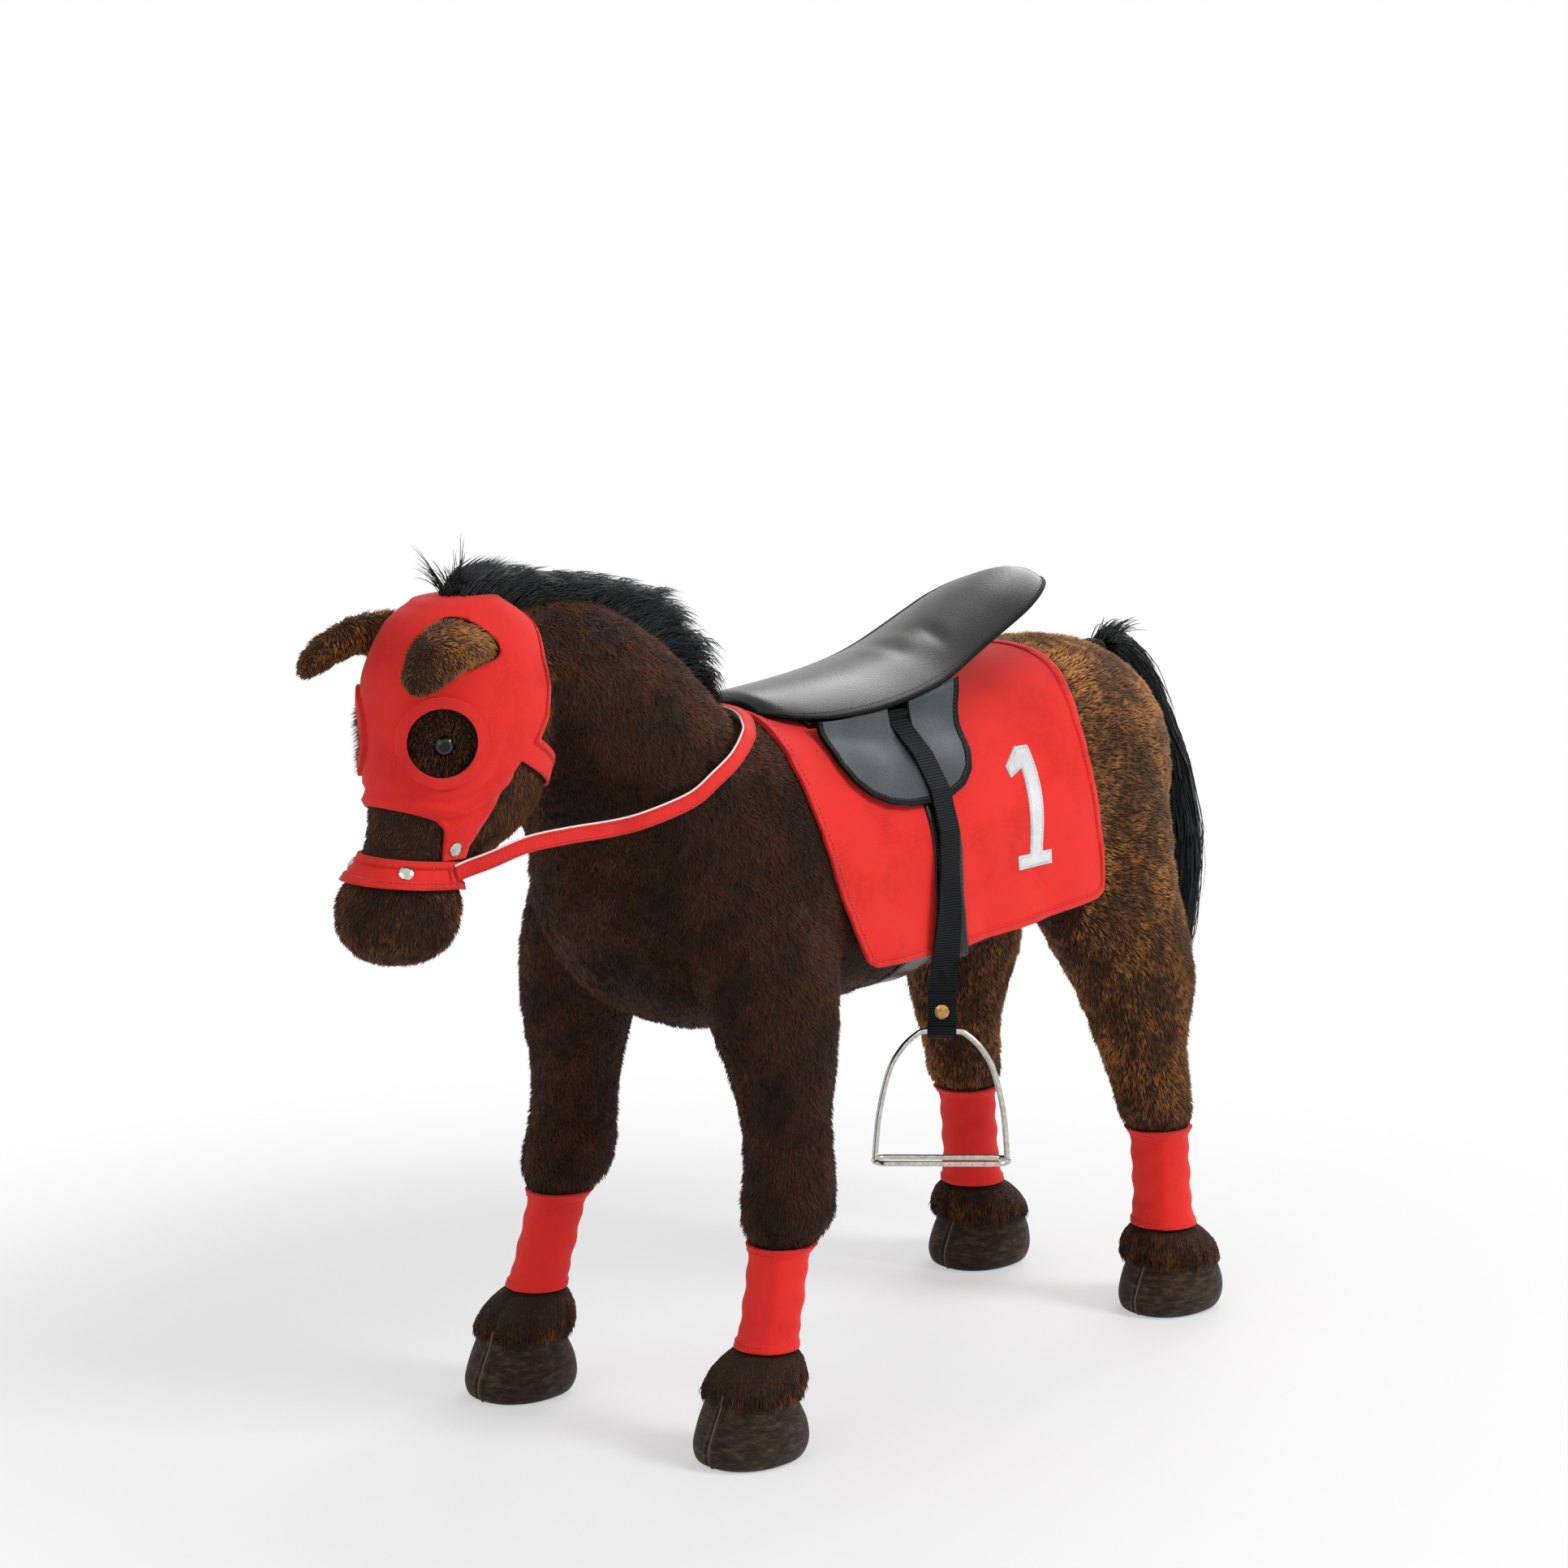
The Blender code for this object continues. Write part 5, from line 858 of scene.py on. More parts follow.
def turned(name, profile, centre, look):
    """A turned piece: a profile of radius and height spun round look through centre."""
    side = unit(np.cross(look, (0.0, 0.13, 0.99)))
    angle = circle(40)[:, None]
    spoke = np.cos(angle) * side + np.sin(angle) * np.cross(look, side)
    rings = np.stack([centre + spoke * radius + look * height for radius, height in profile])
    return closed_form(name, rings, centre + look * profile[0][1], centre + look * profile[-1][1])


EYE_RADIUS = 0.0118
for side_name, side in SIDES:
    eye_centre = np.array((0.0449 * side, -0.6105, 0.697))
    eye_look = unit(np.array((0.78 * side, -0.62, -0.02)))
    arc = np.linspace(0.02, math.pi - 0.02, 32)
    dome = turned("eye_glass_" + side_name, [(EYE_RADIUS * math.sin(a), EYE_RADIUS * math.cos(a)) for a in arc],
                  eye_centre, eye_look)
    glass, eye_shader, place = new_material("brown_glass_" + side_name)
    front = eye_centre + eye_look * EYE_RADIUS + np.array([0, SHIFT, 0])
    spot = add(glass, "VectorMath", {0: place, 1: front}, operation="DISTANCE")
    ring = add(glass, "MapRange", {"Value": spot.outputs["Value"], "From Min": 0.0, "From Max": 0.0125})
    tint = ramp(glass, ring.outputs["Result"], [
        (0.0, "#020202"), (0.34, "#030202"), (0.42, "#1d2220"), (0.50, "#3c423c"), (0.60, "#0c0806"), (1.0, "#080504"),
    ])
    plug(glass, eye_shader, {"Base Color": tint, "Roughness": 0.06, "Specular IOR Level": 0.28})
    dress(dome, glass, "horse", "eye", "eye_" + side_name)


def metal_material(name, colour, dark, rough):
    """Polished or plated metal: its own colour in the reflection, with fine wear that dulls it in places."""
    material, shader, place = new_material(name)
    worn = noise(material, place, 260.0, 3.0)
    tint = ramp(material, worn, [(0.30, dark), (0.60, colour)])
    dull = add(material, "MapRange", {"Value": worn, "To Min": rough * 0.7, "To Max": rough * 1.6})
    plug(material, shader, {
        "Base Color": tint, "Roughness": dull.outputs["Result"], "Metallic": 1.0,
    })
    return material


POLISHED_STEEL = metal_material("polished_steel", "#c9c6c0", "#a9a6a0", 0.16)
FRAME_STEEL = metal_material("painted_frame_steel", "#8d8b86", "#5f5d5a", 0.40)
COPPER = metal_material("copper_rivet", "#c79a63", "#8a5f37", 0.28)
METALS = {"snap": POLISHED_STEEL, "stirrup_bar": POLISHED_STEEL, "frame": FRAME_STEEL, "rivet": COPPER}
for node_name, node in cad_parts.items():
    for word, metal in METALS.items():
        if word in node_name:
            wear(node, metal)

# ---------------------------------------------------------------- mane and forelock
# Long black nylon hair, stitched into the crest seam in small bunches. It stands up from the seam, leans back and
# falls a little to both sides, and a few short tufts come out at the top of the hood.
MANE_ROWS = [
    (-0.562, 0.804, -0.569, 0.832), (-0.540, 0.798, -0.540, 0.843), (-0.500, 0.798, -0.497, 0.845),
    (-0.460, 0.790, -0.459, 0.839), (-0.415, 0.784, -0.408, 0.833), (-0.372, 0.766, -0.346, 0.821),
    (-0.338, 0.742, -0.300, 0.805), (-0.300, 0.708, -0.250, 0.766), (-0.272, 0.684, -0.232, 0.734),
    (-0.258, 0.672, -0.230, 0.712),
]
MANE_HAIRS = 6900
MANE_STEPS = 6
CREST_PLACES = 400
# Lighter blue-grey stops: painted sheen on the black hair, with random tone per lock.
BLACK_PAINTED_SHEEN_AND_TONE = [(0.60, "#555a5c"), (0.78, "#7d8486"), (0.95, "#b4bcbe")]


def black_hair(name, hair, tip="#2c3436", rough=0.42):
    """Black nylon hair, with painted sheen: a little blue and lighter in patches where the light catches it."""
    return hair_material(name, hair["cells"], "#090b0c", "#15191a", tip, BLACK_PAINTED_SHEEN_AND_TONE, size=30.0, rough=rough,
                         sheen=0.1)


def crest_hairs(count, draw):
    """Hairs from the crest: each rises from beside the seam to the crown line, then lies back along the crest."""
    at = draw.random(count) ** 0.9
    crest, picked = blend_rows(MANE_ROWS, CREST_PLACES), (at * (CREST_PLACES - 1)).astype(int)
    root, crown = crest[picked, :2], crest[picked, 2:]
    bunch = np.floor(at * 46)
    lean = np.sin(bunch * 2.4) * 0.35 + draw.normal(size=count) * 0.10
    side = draw.uniform(-1, 1, count)
    t = np.linspace(0, 1, MANE_STEPS)[None, :]
    length = draw.uniform(0.62, 1.06, count)[:, None] * (1.0 + 0.07 * np.sin(bunch * 1.7))[:, None]
    along = unit(np.gradient(crest[:, 2:], axis=0))[picked]
    up = 0.93 * np.sin(t * math.pi / 2) ** 0.85 * length
    back = 0.050 * t**1.7 * draw.uniform(0.7, 1.25, count)[:, None]
    x = side[:, None] * 0.0095 * (1 + 0.9 * np.sin(t * 2.2)) + lean[:, None] * 0.012 * t**1.5
    y = root[:, [0]] + (crown - root)[:, [0]] * up + along[:, [0]] * back
    z = root[:, [1]] - 0.004 + (crown - root)[:, [1]] * up + along[:, [1]] * back - 0.004 * t**3
    return np.stack([x, y + SHIFT, z], 2)


draw = np.random.default_rng(23)
mane_paths = crest_hairs(MANE_HAIRS, draw)
mane = strands("mane_hair", mane_paths, draw.uniform(0.00055, 0.00100, MANE_HAIRS), blunt=0.3)
dress(mane, black_hair("black_nylon_mane", mane), "horse", "long_hair", "mane")
core_rings = sagittal_rings([(*row, 0.0085) for row in MANE_ROWS], 41, 16)
core_rings = core_rings.mean(1, keepdims=True) * 0.28 + core_rings * 0.72
core = closed_form("mane_weft", core_rings, core_rings[0].mean(0), core_rings[-1].mean(0))
BLACK_WEFT = plush_material("black_weft", "#08090a", "#0f1214", "#1c2124", 0.5)
dress(core, BLACK_WEFT, "horse", "long_hair")

# Root, reach and number of hairs of each tuft that stands out at the top of the hood
TUFTS = [
    ((0.004, -0.562, 0.820), (-0.022, -0.020, 0.046), 30), ((0.002, -0.552, 0.823), (0.002, 0.002, 0.052), 26),
    ((0.000, -0.545, 0.824), (0.032, 0.028, 0.018), 22), ((0.002, -0.556, 0.822), (-0.010, -0.008, 0.036), 26),
    ((0.004, -0.560, 0.820), (0.016, -0.004, 0.020), 26),
]
tuft_paths = []
t = np.linspace(0, 1, MANE_STEPS)[None, :, None]
for root, reach, count in TUFTS:
    start = np.array(root) + draw.normal(size=(count, 1, 3)) * (0.004, 0.003, 0.001)
    spread = np.array(reach) * draw.uniform(0.45, 1.1, (count, 1, 1)) + draw.normal(size=(count, 1, 3)) * 0.005
    tuft_paths.append(start + spread * t + np.array([0, 0, -0.010]) * t**3)
tuft_paths = np.concatenate(tuft_paths) + np.array([0, SHIFT, 0])
forelock = strands("forelock_hair", tuft_paths, draw.uniform(0.00040, 0.00070, len(tuft_paths)), blunt=0.15)
dress(forelock, black_hair("black_nylon_forelock", forelock), "horse", "long_hair")

# ---------------------------------------------------------------- tail
# The same nylon hair, gathered on a padded stub that lifts and sways at the root of the tail.
TAIL_ROWS = [
    (0.367, 0.668, 0.0105), (0.388, 0.662, 0.0165), (0.414, 0.630, 0.0215), (0.440, 0.585, 0.0255),
    (0.462, 0.535, 0.0295), (0.474, 0.466, 0.0345), (0.474, 0.405, 0.0340), (0.470, 0.345, 0.0290),
    (0.478, 0.305, 0.0170), (0.484, 0.290, 0.0080),
]
TAIL_HAIRS = 4100
TAIL_STEPS = 8
TAIL_PLACES = 300


def tail_hairs(count, draw, rows=TAIL_ROWS, start=0.09, inner=0.35, short=0.62):
    """Hairs along the tail's middle line, each at its own place across it and ending at its own length."""
    t = np.linspace(0, 1, TAIL_STEPS)[None, :] * draw.uniform(short, 1.0, count)[:, None]
    start = start * draw.uniform(0.5, 1.0, (count, 1))
    place = start + t * (1 - start)
    table = blend_rows(rows, TAIL_PLACES)
    at = place * (TAIL_PLACES - 1)
    y, z, radius = (np.interp(at, np.arange(TAIL_PLACES), table[:, k]) for k in range(3))
    slope = unit(np.gradient(table[:, :2], axis=0))
    out_y = np.interp(at, np.arange(TAIL_PLACES), -slope[:, 1])
    out_z = np.interp(at, np.arange(TAIL_PLACES), slope[:, 0])
    turn = draw.uniform(0, 2 * math.pi, count)[:, None] + 0.35 * np.sin(3.0 * t + draw.uniform(0, 6, (count, 1)))
    reach = np.sqrt(draw.uniform(inner**2, 1.0, count))[:, None] * radius
    wild = np.maximum(draw.normal(size=(count, 1)), 0.0)
    reach = reach * (1 + 0.10 * np.sin(9 * t + draw.uniform(0, 6, (count, 1))) + 0.16 * wild * t)
    x, back = reach * np.cos(turn), reach * np.sin(turn)
    return np.stack([x, y + SHIFT + back * out_y, z + back * out_z], 2)


tail = strands("tail_hair_long", tail_hairs(TAIL_HAIRS, draw), draw.uniform(0.0006, 0.0011, TAIL_HAIRS), blunt=0.3)
dress(tail, black_hair("black_nylon_tail", tail, "#2a3234", 0.40), "tail_hair", "long_hair", "tail")
table = blend_rows(TAIL_ROWS, 40)[4:36]
middle = np.stack([np.zeros(len(table)), table[:, 0], table[:, 1]], 1)
along = unit(np.gradient(middle, axis=0))
angle = circle(20)[None, :, None]
spoke = np.cos(angle) * np.array([1.0, 0, 0]) + np.sin(angle) * np.cross(along, (1.0, 0, 0))[:, None]
tail_rings = middle[:, None] + spoke * table[:, 2][:, None, None] * 0.62
tail_core = closed_form("tail_weft", tail_rings, middle[0], middle[-1])
dress(tail_core, BLACK_WEFT, "tail_hair", "long_hair")
wear(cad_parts["tail_dock"], BLACK_WEFT)
# Hair that grows on the stub itself covers its joint with the tail, with a few loose ends on top. It bends over
# into the tail
ROOT_ROWS = [
    (0.350, 0.666, 0.0060), (0.364, 0.669, 0.0100), (0.382, 0.668, 0.0175), (0.408, 0.642, 0.0225),
    (0.430, 0.603, 0.0255), (0.446, 0.567, 0.0275),
]
DOCK_HAIRS = 2000
LOOSE_ENDS = 60
root_hair = tail_hairs(DOCK_HAIRS, draw, ROOT_ROWS, start=0.42, inner=0.55, short=0.40)
loose = draw.normal(size=(LOOSE_ENDS, 1, 3)) * (0.010, 0.006, 0.004) + (0.0, 0.034, 0.030)
sprig = np.array((0.0, 0.366 + SHIFT, 0.675)) + draw.normal(size=(LOOSE_ENDS, 1, 3)) * (0.006, 0.004, 0.001)
t = np.linspace(0, 1, TAIL_STEPS)[None, :, None]
sprig = sprig + loose * t
sprig[..., 2] -= 0.016 * t[..., 0] ** 2.5
root_hair = np.concatenate([root_hair, sprig])
dock_hair = strands("tail_dock_hair", root_hair, draw.uniform(0.00055, 0.0010, len(root_hair)), blunt=0.3)
wear(dock_hair, black_hair("black_nylon_dock", dock_hair, "#2a3234"))
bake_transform(dock_hair)

# ---------------------------------------------------------------- saddle cloth and its number
# A red cotton number cloth, cut to the shape of the side, its edge turned and sewn down. It lies over the back and
# hangs free below the widest part of the barrel. The number is cut from white felt and sewn on.
CLOTH_INNER = 0.0010
CLOTH_THICKNESS = 0.0030
CLOTH_OUTER = CLOTH_INNER + CLOTH_THICKNESS
CLOTH_SAG = 0.0011
CLOTH_REACH = 0.20


def drape(stations, overs=73, hangs=14):
    """Cloth over the back from one widest line to the other, then hanging from both: stations by places across."""
    table = blend_rows(TORSO_ROWS, 73)
    y = np.array(stations)[:, None]
    top, bottom, half = (np.interp(y, table[:, 0], table[:, k]) for k in (1, 2, 3))
    middle = bottom + WAIST * (top - bottom)
    over = np.linspace(0, math.pi, overs)[None, :]
    hang = np.linspace(0.085, 0.085 / hangs, hangs)[None, :]
    fall = 0.003 * ease_step(hang, 0.02, 0.06) * np.sin(34 * y)
    x_over = half * rounded(np.cos(over), TORSO_SQUARENESS)
    z_over = middle + (top - middle) * rounded(np.sin(over), TORSO_SQUARENESS)
    x_hang = half + 0.001 * ease_step(hang, 0, 0.03) + 0.020 * hang + np.abs(fall)
    x = np.hstack([x_hang, x_over, -x_hang[:, ::-1]])
    z = np.hstack([middle - hang, z_over, (middle - hang)[:, ::-1]])
    points = np.stack([x, np.broadcast_to(y, x.shape), z], 2)
    normal = unit(np.cross(np.gradient(points, axis=0), np.gradient(points, axis=1)))
    outward = points - np.array([0, 0, 0.5])
    return points, (-normal if (normal * outward).sum() < 0 else normal)


def layer(name, points, normals, inner, thickness):
    """A sheet between two offsets of a grid, its four edges closed by a strip."""
    rows, columns = points.shape[:2]
    under = rows * columns
    both = [(points + normals * lift).reshape(-1, 3) for lift in (inner + thickness, inner)]
    top = grid_faces(rows, columns, around=False)
    rim = np.concatenate([
        np.arange(columns), np.arange(1, rows) * columns + columns - 1,
        (rows - 1) * columns + np.arange(columns - 2, -1, -1), np.arange(rows - 2, 0, -1) * columns,
    ])
    after = np.roll(rim, -1)
    strip = np.stack([after, rim, rim + under, after + under], -1)
    faces = np.concatenate([top, top[:, ::-1] + under, strip])
    return tidy(mesh_of(name, np.concatenate(both), faces.tolist()))


CLOTH_OUTLINE = [
    (-0.202, 0.730), (-0.202, 0.674), (-0.214, 0.657), (-0.222, 0.633), (-0.223, 0.601), (-0.218, 0.567),
    (-0.209, 0.531), (-0.197, 0.502), (-0.184, 0.475), (-0.170, 0.446), (-0.160, 0.440), (-0.075, 0.439),
    (0.000, 0.443), (0.080, 0.448), (0.168, 0.457), (0.181, 0.462), (0.185, 0.474), (0.184, 0.500),
    (0.178, 0.541), (0.172, 0.574), (0.171, 0.598), (0.176, 0.628), (0.189, 0.656), (0.202, 0.676),
    (0.208, 0.690), (0.208, 0.730),
]
back_points, back_normals = drape(np.linspace(-0.250, 0.235, 98))
_, y, z = np.moveaxis(back_points, -1, 0)
creases = 0.0009 * np.sin(y * 61 + z * 23) * ease_step(0.62 - z, 0, 0.10)
back_points = back_points + back_normals * (creases - CLOTH_SAG)[..., None]
cloth = layer("number_cloth", back_points, back_normals, CLOTH_INNER, CLOTH_THICKNESS)
combine(cloth, side_prism("cloth_cut", CLOTH_OUTLINE, -CLOTH_REACH, CLOTH_REACH), "INTERSECT")
cloth_hem = layer("number_cloth_hem", back_points, back_normals, CLOTH_OUTER - 0.0004, 0.0013)
keep_band(cloth_hem, CLOTH_OUTLINE, 0.0003, 0.0075, -CLOTH_REACH, CLOTH_REACH)
neck_room = closed_form("neck_room", *offset_form(neck_rings, *NECK_POLES, 0.0008))
combine(cloth, neck_room.copy(), "DIFFERENCE")
combine(cloth_hem, neck_room, "DIFFERENCE")
dress(cloth, RED_CLOTH, "horse", "red_cloth", "saddle_cloth")
dress(cloth_hem, RED_HEM, "horse", "red_cloth")
sewn_rows("number_cloth_stitches", cloth_hem, CLOTH_OUTLINE, 0.0058, RED_THREAD)

NUMBER_OUTLINE = [
    (0.0500, 0.5020), (0.1010, 0.5020), (0.1010, 0.5155), (0.0880, 0.5155), (0.0970, 0.6160), (0.0810, 0.6160),
    (0.0570, 0.6005), (0.0580, 0.5900), (0.0765, 0.5970), (0.0690, 0.5155), (0.0500, 0.5155),
]
NUMBER_TURN = 0.151  # twice the middle of the number along the horse, so that it reads the right way on the right
WHITE_FELT = plush_material("white_felt", "#cfcfd2", "#e9e9ec", "#fafafc", 0.6, rough=0.9, sheen=0.0)
WHITE_THREAD = thread_material("white_polyester_thread", "#b4b4b8", "#dcdce0")
for side_name, side in SIDES:
    outline = NUMBER_OUTLINE if side > 0 else [(NUMBER_TURN - y, z) for y, z in NUMBER_OUTLINE]
    number = layer("felt_number_" + side_name, back_points, back_normals, CLOTH_OUTER + 0.0002, 0.0012)
    combine(number, side_prism("number_cut", outline, *sorted((0.02 * side, CLOTH_REACH * side))), "INTERSECT")
    dress(number, WHITE_FELT, "horse", "white_felt", "number_" + side_name)
    sewn_rows("number_stitches_" + side_name, number, outline, 0.0022, WHITE_THREAD, pitch=0.0032)

# ---------------------------------------------------------------- girth
# A smooth black leatherette strap, folded and sewn, that goes round under the belly over the edge of the cloth.
GIRTH_Y = -0.054
GIRTH_WIDTH = 0.040
GIRTH_THICKNESS = 0.0025
GIRTH_UNDER = [
    (0.1480, 0.4275, 0.55), (0.1250, 0.4170, 0.35), (0.1000, 0.4065, 0.33), (0.0750, 0.3955, 0.33),
    (0.0500, 0.3880, 0.20), (0.0250, 0.3840, 0.10), (0.0, 0.3830, 0.0),
]
PEBBLE = 0.0016


def leather_material(name, deep, colour, light, rough, shine=0.32):
    """Leatherette: a vinyl skin embossed with a fine pebble grain, glossier on the high spots and where it has been
    rubbed, each pebble darker towards its edge as painted shade in the grain's valleys. The grain is drawn at about
    twice its real 0.8 mm so that it shows."""
    material, shader, place = new_material(name)
    cells = add(material, "TexVoronoi", {"Vector": place, "Scale": 1 / PEBBLE, "Randomness": 1.0}, feature="F1")
    pebble = cells.outputs["Distance"]
    rub = noise(material, place, 16.0, 1.0)
    # The pebble term darkens each pebble towards its edge: painted shade in the valleys of the grain.
    level = maths(material, "MULTIPLY_ADD", pebble, -0.25, rub)
    tint = ramp(material, level, [(0.18, deep), (0.42, colour), (0.72, light)])
    gloss = add(material, "MapRange", {"Value": rub, "To Min": rough * 1.25, "To Max": rough * 0.75})
    bump = bumps(material, pebble, 0.25, 0.0005, invert=True)
    plug(material, shader, {
        "Base Color": tint, "Roughness": gloss.outputs["Result"],
        "Normal": bump, "Specular IOR Level": shine,
    })
    return material


BLACK_LEATHER = leather_material("black_leatherette", "#080807", "#151513", "#272623", 0.28)
GREY_LEATHER = leather_material("grey_leatherette", "#30363a", "#434a4f", "#596166", 0.36)
BINDING = leather_material("black_binding", "#030303", "#070707", "#0f0f0f", 0.55, shine=0.12)


def rounded_bar_section(width, thickness):
    """A strap's cross section: a flat bar with round edges, as places across and out."""
    r = thickness / 2
    turn = np.linspace(-math.pi / 2, math.pi / 2, 5)
    right = np.stack([width / 2 - r + r * np.cos(turn), r * np.sin(turn)], 1)
    flat = np.stack([np.linspace(width / 2 - r, r - width / 2, 6)[1:-1], np.full(4, r)], 1)
    return np.concatenate([right, flat, -right, -flat])


def strap(name, rows, count, section):
    """A strap: the section carried along rows of a place and the way the face looks, blended to count steps. Gives
    also its line: its middle, the way across it and the way out of its face."""
    table = blend_rows(rows, count)
    path, look = table[:, :3], table[:, 3:6]
    along = unit(np.gradient(path, axis=0))
    across = unit(np.cross(look, along))
    out = np.cross(along, across)
    rings = path[:, None] + across[:, None] * section[None, :, 0:1] + out[:, None] * section[None, :, 1:2]
    return closed_form(name, rings, path[0], path[-1]), (path, across, out)


girth_points, girth_normals = drape([GIRTH_Y - 0.001, GIRTH_Y, GIRTH_Y + 0.001])
down = np.argmin(np.abs(girth_points[1, :, 0] - 0.128) + 10 * (girth_points[1, :, 2] < 0.58))
picked = np.linspace(down, 1, 9).astype(int)
girth_rise = CLOTH_OUTER + GIRTH_THICKNESS / 2 + 0.0008 - CLOTH_SAG
girth_rows = [(*(girth_points[1, k] + girth_normals[1, k] * girth_rise), *girth_normals[1, k]) for k in picked]
coat_tree = skin_tree(coat)
for x, z, lean in GIRTH_UNDER:
    # Below the cloth the strap is drawn up to the belly, as far as it can be from the cloth's edge
    look = Vector((lean, 0.0, -math.sqrt(1 - lean * lean)))
    gap = coat_tree.ray_cast(Vector((x, GIRTH_Y + SHIFT, z)), -look, 0.08)[3] or 0.0
    place = Vector((x, GIRTH_Y, z)) - look * min(max(gap - 0.0035, 0.0), 0.014)
    girth_rows.append((*place, *look))
girth_rows += [(-x, y, z, -lx, ly, lz) for x, y, z, lx, ly, lz in reversed(girth_rows[:-1])]
girth, girth_line = strap("belly_girth", girth_rows, 180, rounded_bar_section(GIRTH_WIDTH, GIRTH_THICKNESS))
dress(girth, BLACK_LEATHER, "horse", "leatherette", "girth")
BLACK_THREAD = thread_material("black_polyester_thread", "#2a2a2c", "#4c4c50")


def strap_stitches(name, line, offset, thickness, material):
    """Stitches along a strap, offset across it from its middle."""
    path, across, out = line
    row = path + across * offset + out * (thickness / 2 + 0.0001)
    row = along_line(np.concatenate([row, out], 1), STITCH_PITCH)
    thread_row(name, row[:, :3] + np.array([0, SHIFT, 0]), unit(row[:, 3:]), material)


for row_name, offset in (("front", 0.0165), ("rear", -0.0165)):
    strap_stitches("girth_stitches_" + row_name, girth_line, offset, GIRTH_THICKNESS, BLACK_THREAD)

# ---------------------------------------------------------------- saddle seat and panel
# A light racing saddle: a thin seat pad of black leatherette over foam that sweeps up to the cantle, bound round its
# edge, on a stitched panel that carries the stirrup bars.
SEAT_ROWS = [
    (-0.194, 0.6790, 0.040, 0.007, 0.0028), (-0.184, 0.6815, 0.056, 0.010, 0.0042),
    (-0.165, 0.6815, 0.069, 0.013, 0.0048), (-0.130, 0.6820, 0.080, 0.015, 0.0050),
    (-0.085, 0.6840, 0.086, 0.015, 0.0050), (-0.040, 0.6875, 0.086, 0.014, 0.0052),
    (0.000, 0.6925, 0.083, 0.013, 0.0055), (0.035, 0.6990, 0.078, 0.012, 0.0058),
    (0.065, 0.7080, 0.073, 0.011, 0.0060), (0.095, 0.7190, 0.070, 0.010, 0.0060),
    (0.130, 0.7320, 0.068, 0.009, 0.0062), (0.165, 0.7450, 0.065, 0.008, 0.0062),
    (0.195, 0.7540, 0.056, 0.006, 0.0060), (0.218, 0.7590, 0.043, 0.004, 0.0055),
    (0.232, 0.7590, 0.028, 0.002, 0.0045),
]
SEAT_CROWN = 0.0028


def seat_rings(count, segments):
    """Seat rings: a squared ellipse whose sides drop with the square of the place across, with a crowned top that
    puckers where the seat turns up."""
    table = blend_rows(SEAT_ROWS, count)
    angle = circle(segments)[None, :]
    y, height, half, drop, thick = (table[:, [k]] for k in range(5))
    side = rounded(np.cos(angle), 2.8)
    upper = np.sin(angle) > 0
    crown = SEAT_CROWN * np.cos(side * math.pi / 2)
    pucker = 0.0007 * np.sin(y * 150 + side * 3) * np.exp(-(((y - 0.045) / 0.035) ** 2)) * np.cos(side * 2.2) ** 2
    bend = np.exp(-(((y - 0.085 + 0.03 * side) / 0.010) ** 2)) * np.exp(-(((side - 0.25) / 0.35) ** 2))
    top = upper * (crown + pucker - 0.0022 * bend) * rounded(np.abs(np.sin(angle)), 1.4)
    z = height - drop * side**2 + thick * rounded(np.sin(angle), 2.2) + top
    return np.stack([half * side, np.broadcast_to(y, z.shape), z], 2), table


rings, seat_table = seat_rings(121, 96)
seat = closed_form("seat_pad", rings, (0, -0.198, 0.6785), (0, 0.239, 0.758))
ROOM_DEPTH = 0.035
cloth_room = layer("cloth_room", back_points, back_normals, -ROOM_DEPTH, ROOM_DEPTH + CLOTH_OUTER + 0.0003)
combine(seat, cloth_room.copy(), "DIFFERENCE")
dress(seat, BLACK_LEATHER, "horse", "leatherette", "saddle_seat")


def tube(name, path, radius, segments, closed=False, up=(0.05, 0.03, 1.0)):
    """A round cord along a path: a circle carried square to it."""
    along = unit(np.roll(path, -1, 0) - np.roll(path, 1, 0) if closed else np.gradient(path, axis=0))
    across = unit(np.cross(along, up))
    angle = circle(segments)[None, :, None]
    spoke = np.cos(angle) * across[:, None] + np.sin(angle) * np.cross(across, along)[:, None]
    rings = path[:, None] + spoke * radius
    return ring_form(name, rings) if closed else closed_form(name, rings, path[0], path[-1])


# The binding runs round the widest line of the pad
BINDING_RADIUS = 0.0026
right_edge = np.stack([seat_table[:, 2], seat_table[:, 0], seat_table[:, 1] - seat_table[:, 3]], 1)
edge_line = np.concatenate([right_edge, right_edge[::-1] * (-1, 1, 1), right_edge[:1]])
binding = tube("seat_binding", along_line(edge_line, 0.004), BINDING_RADIUS, 12, closed=True)
dress(binding, BINDING, "horse", "leatherette")
seat_tree = skin_tree(seat)
for side_name, side in SIDES:
    seam_line = np.stack([seat_table[8:-8, 2] * 0.93 * side, seat_table[8:-8, 0], seat_table[8:-8, 1]], 1)
    seam_line = along_line(seam_line, STITCH_PITCH)
    hits = [seat_tree.ray_cast(Vector((x, y + SHIFT, z + 0.05)), Vector((0, 0, -1))) for x, y, z in seam_line]
    places = np.array([hit + normal * THREAD_LIFT for hit, normal, *_ in hits if hit is not None])
    normals = np.array([normal for hit, normal, *_ in hits if hit is not None])
    thread_row("seat_stitches_" + side_name, places, normals, BLACK_THREAD)

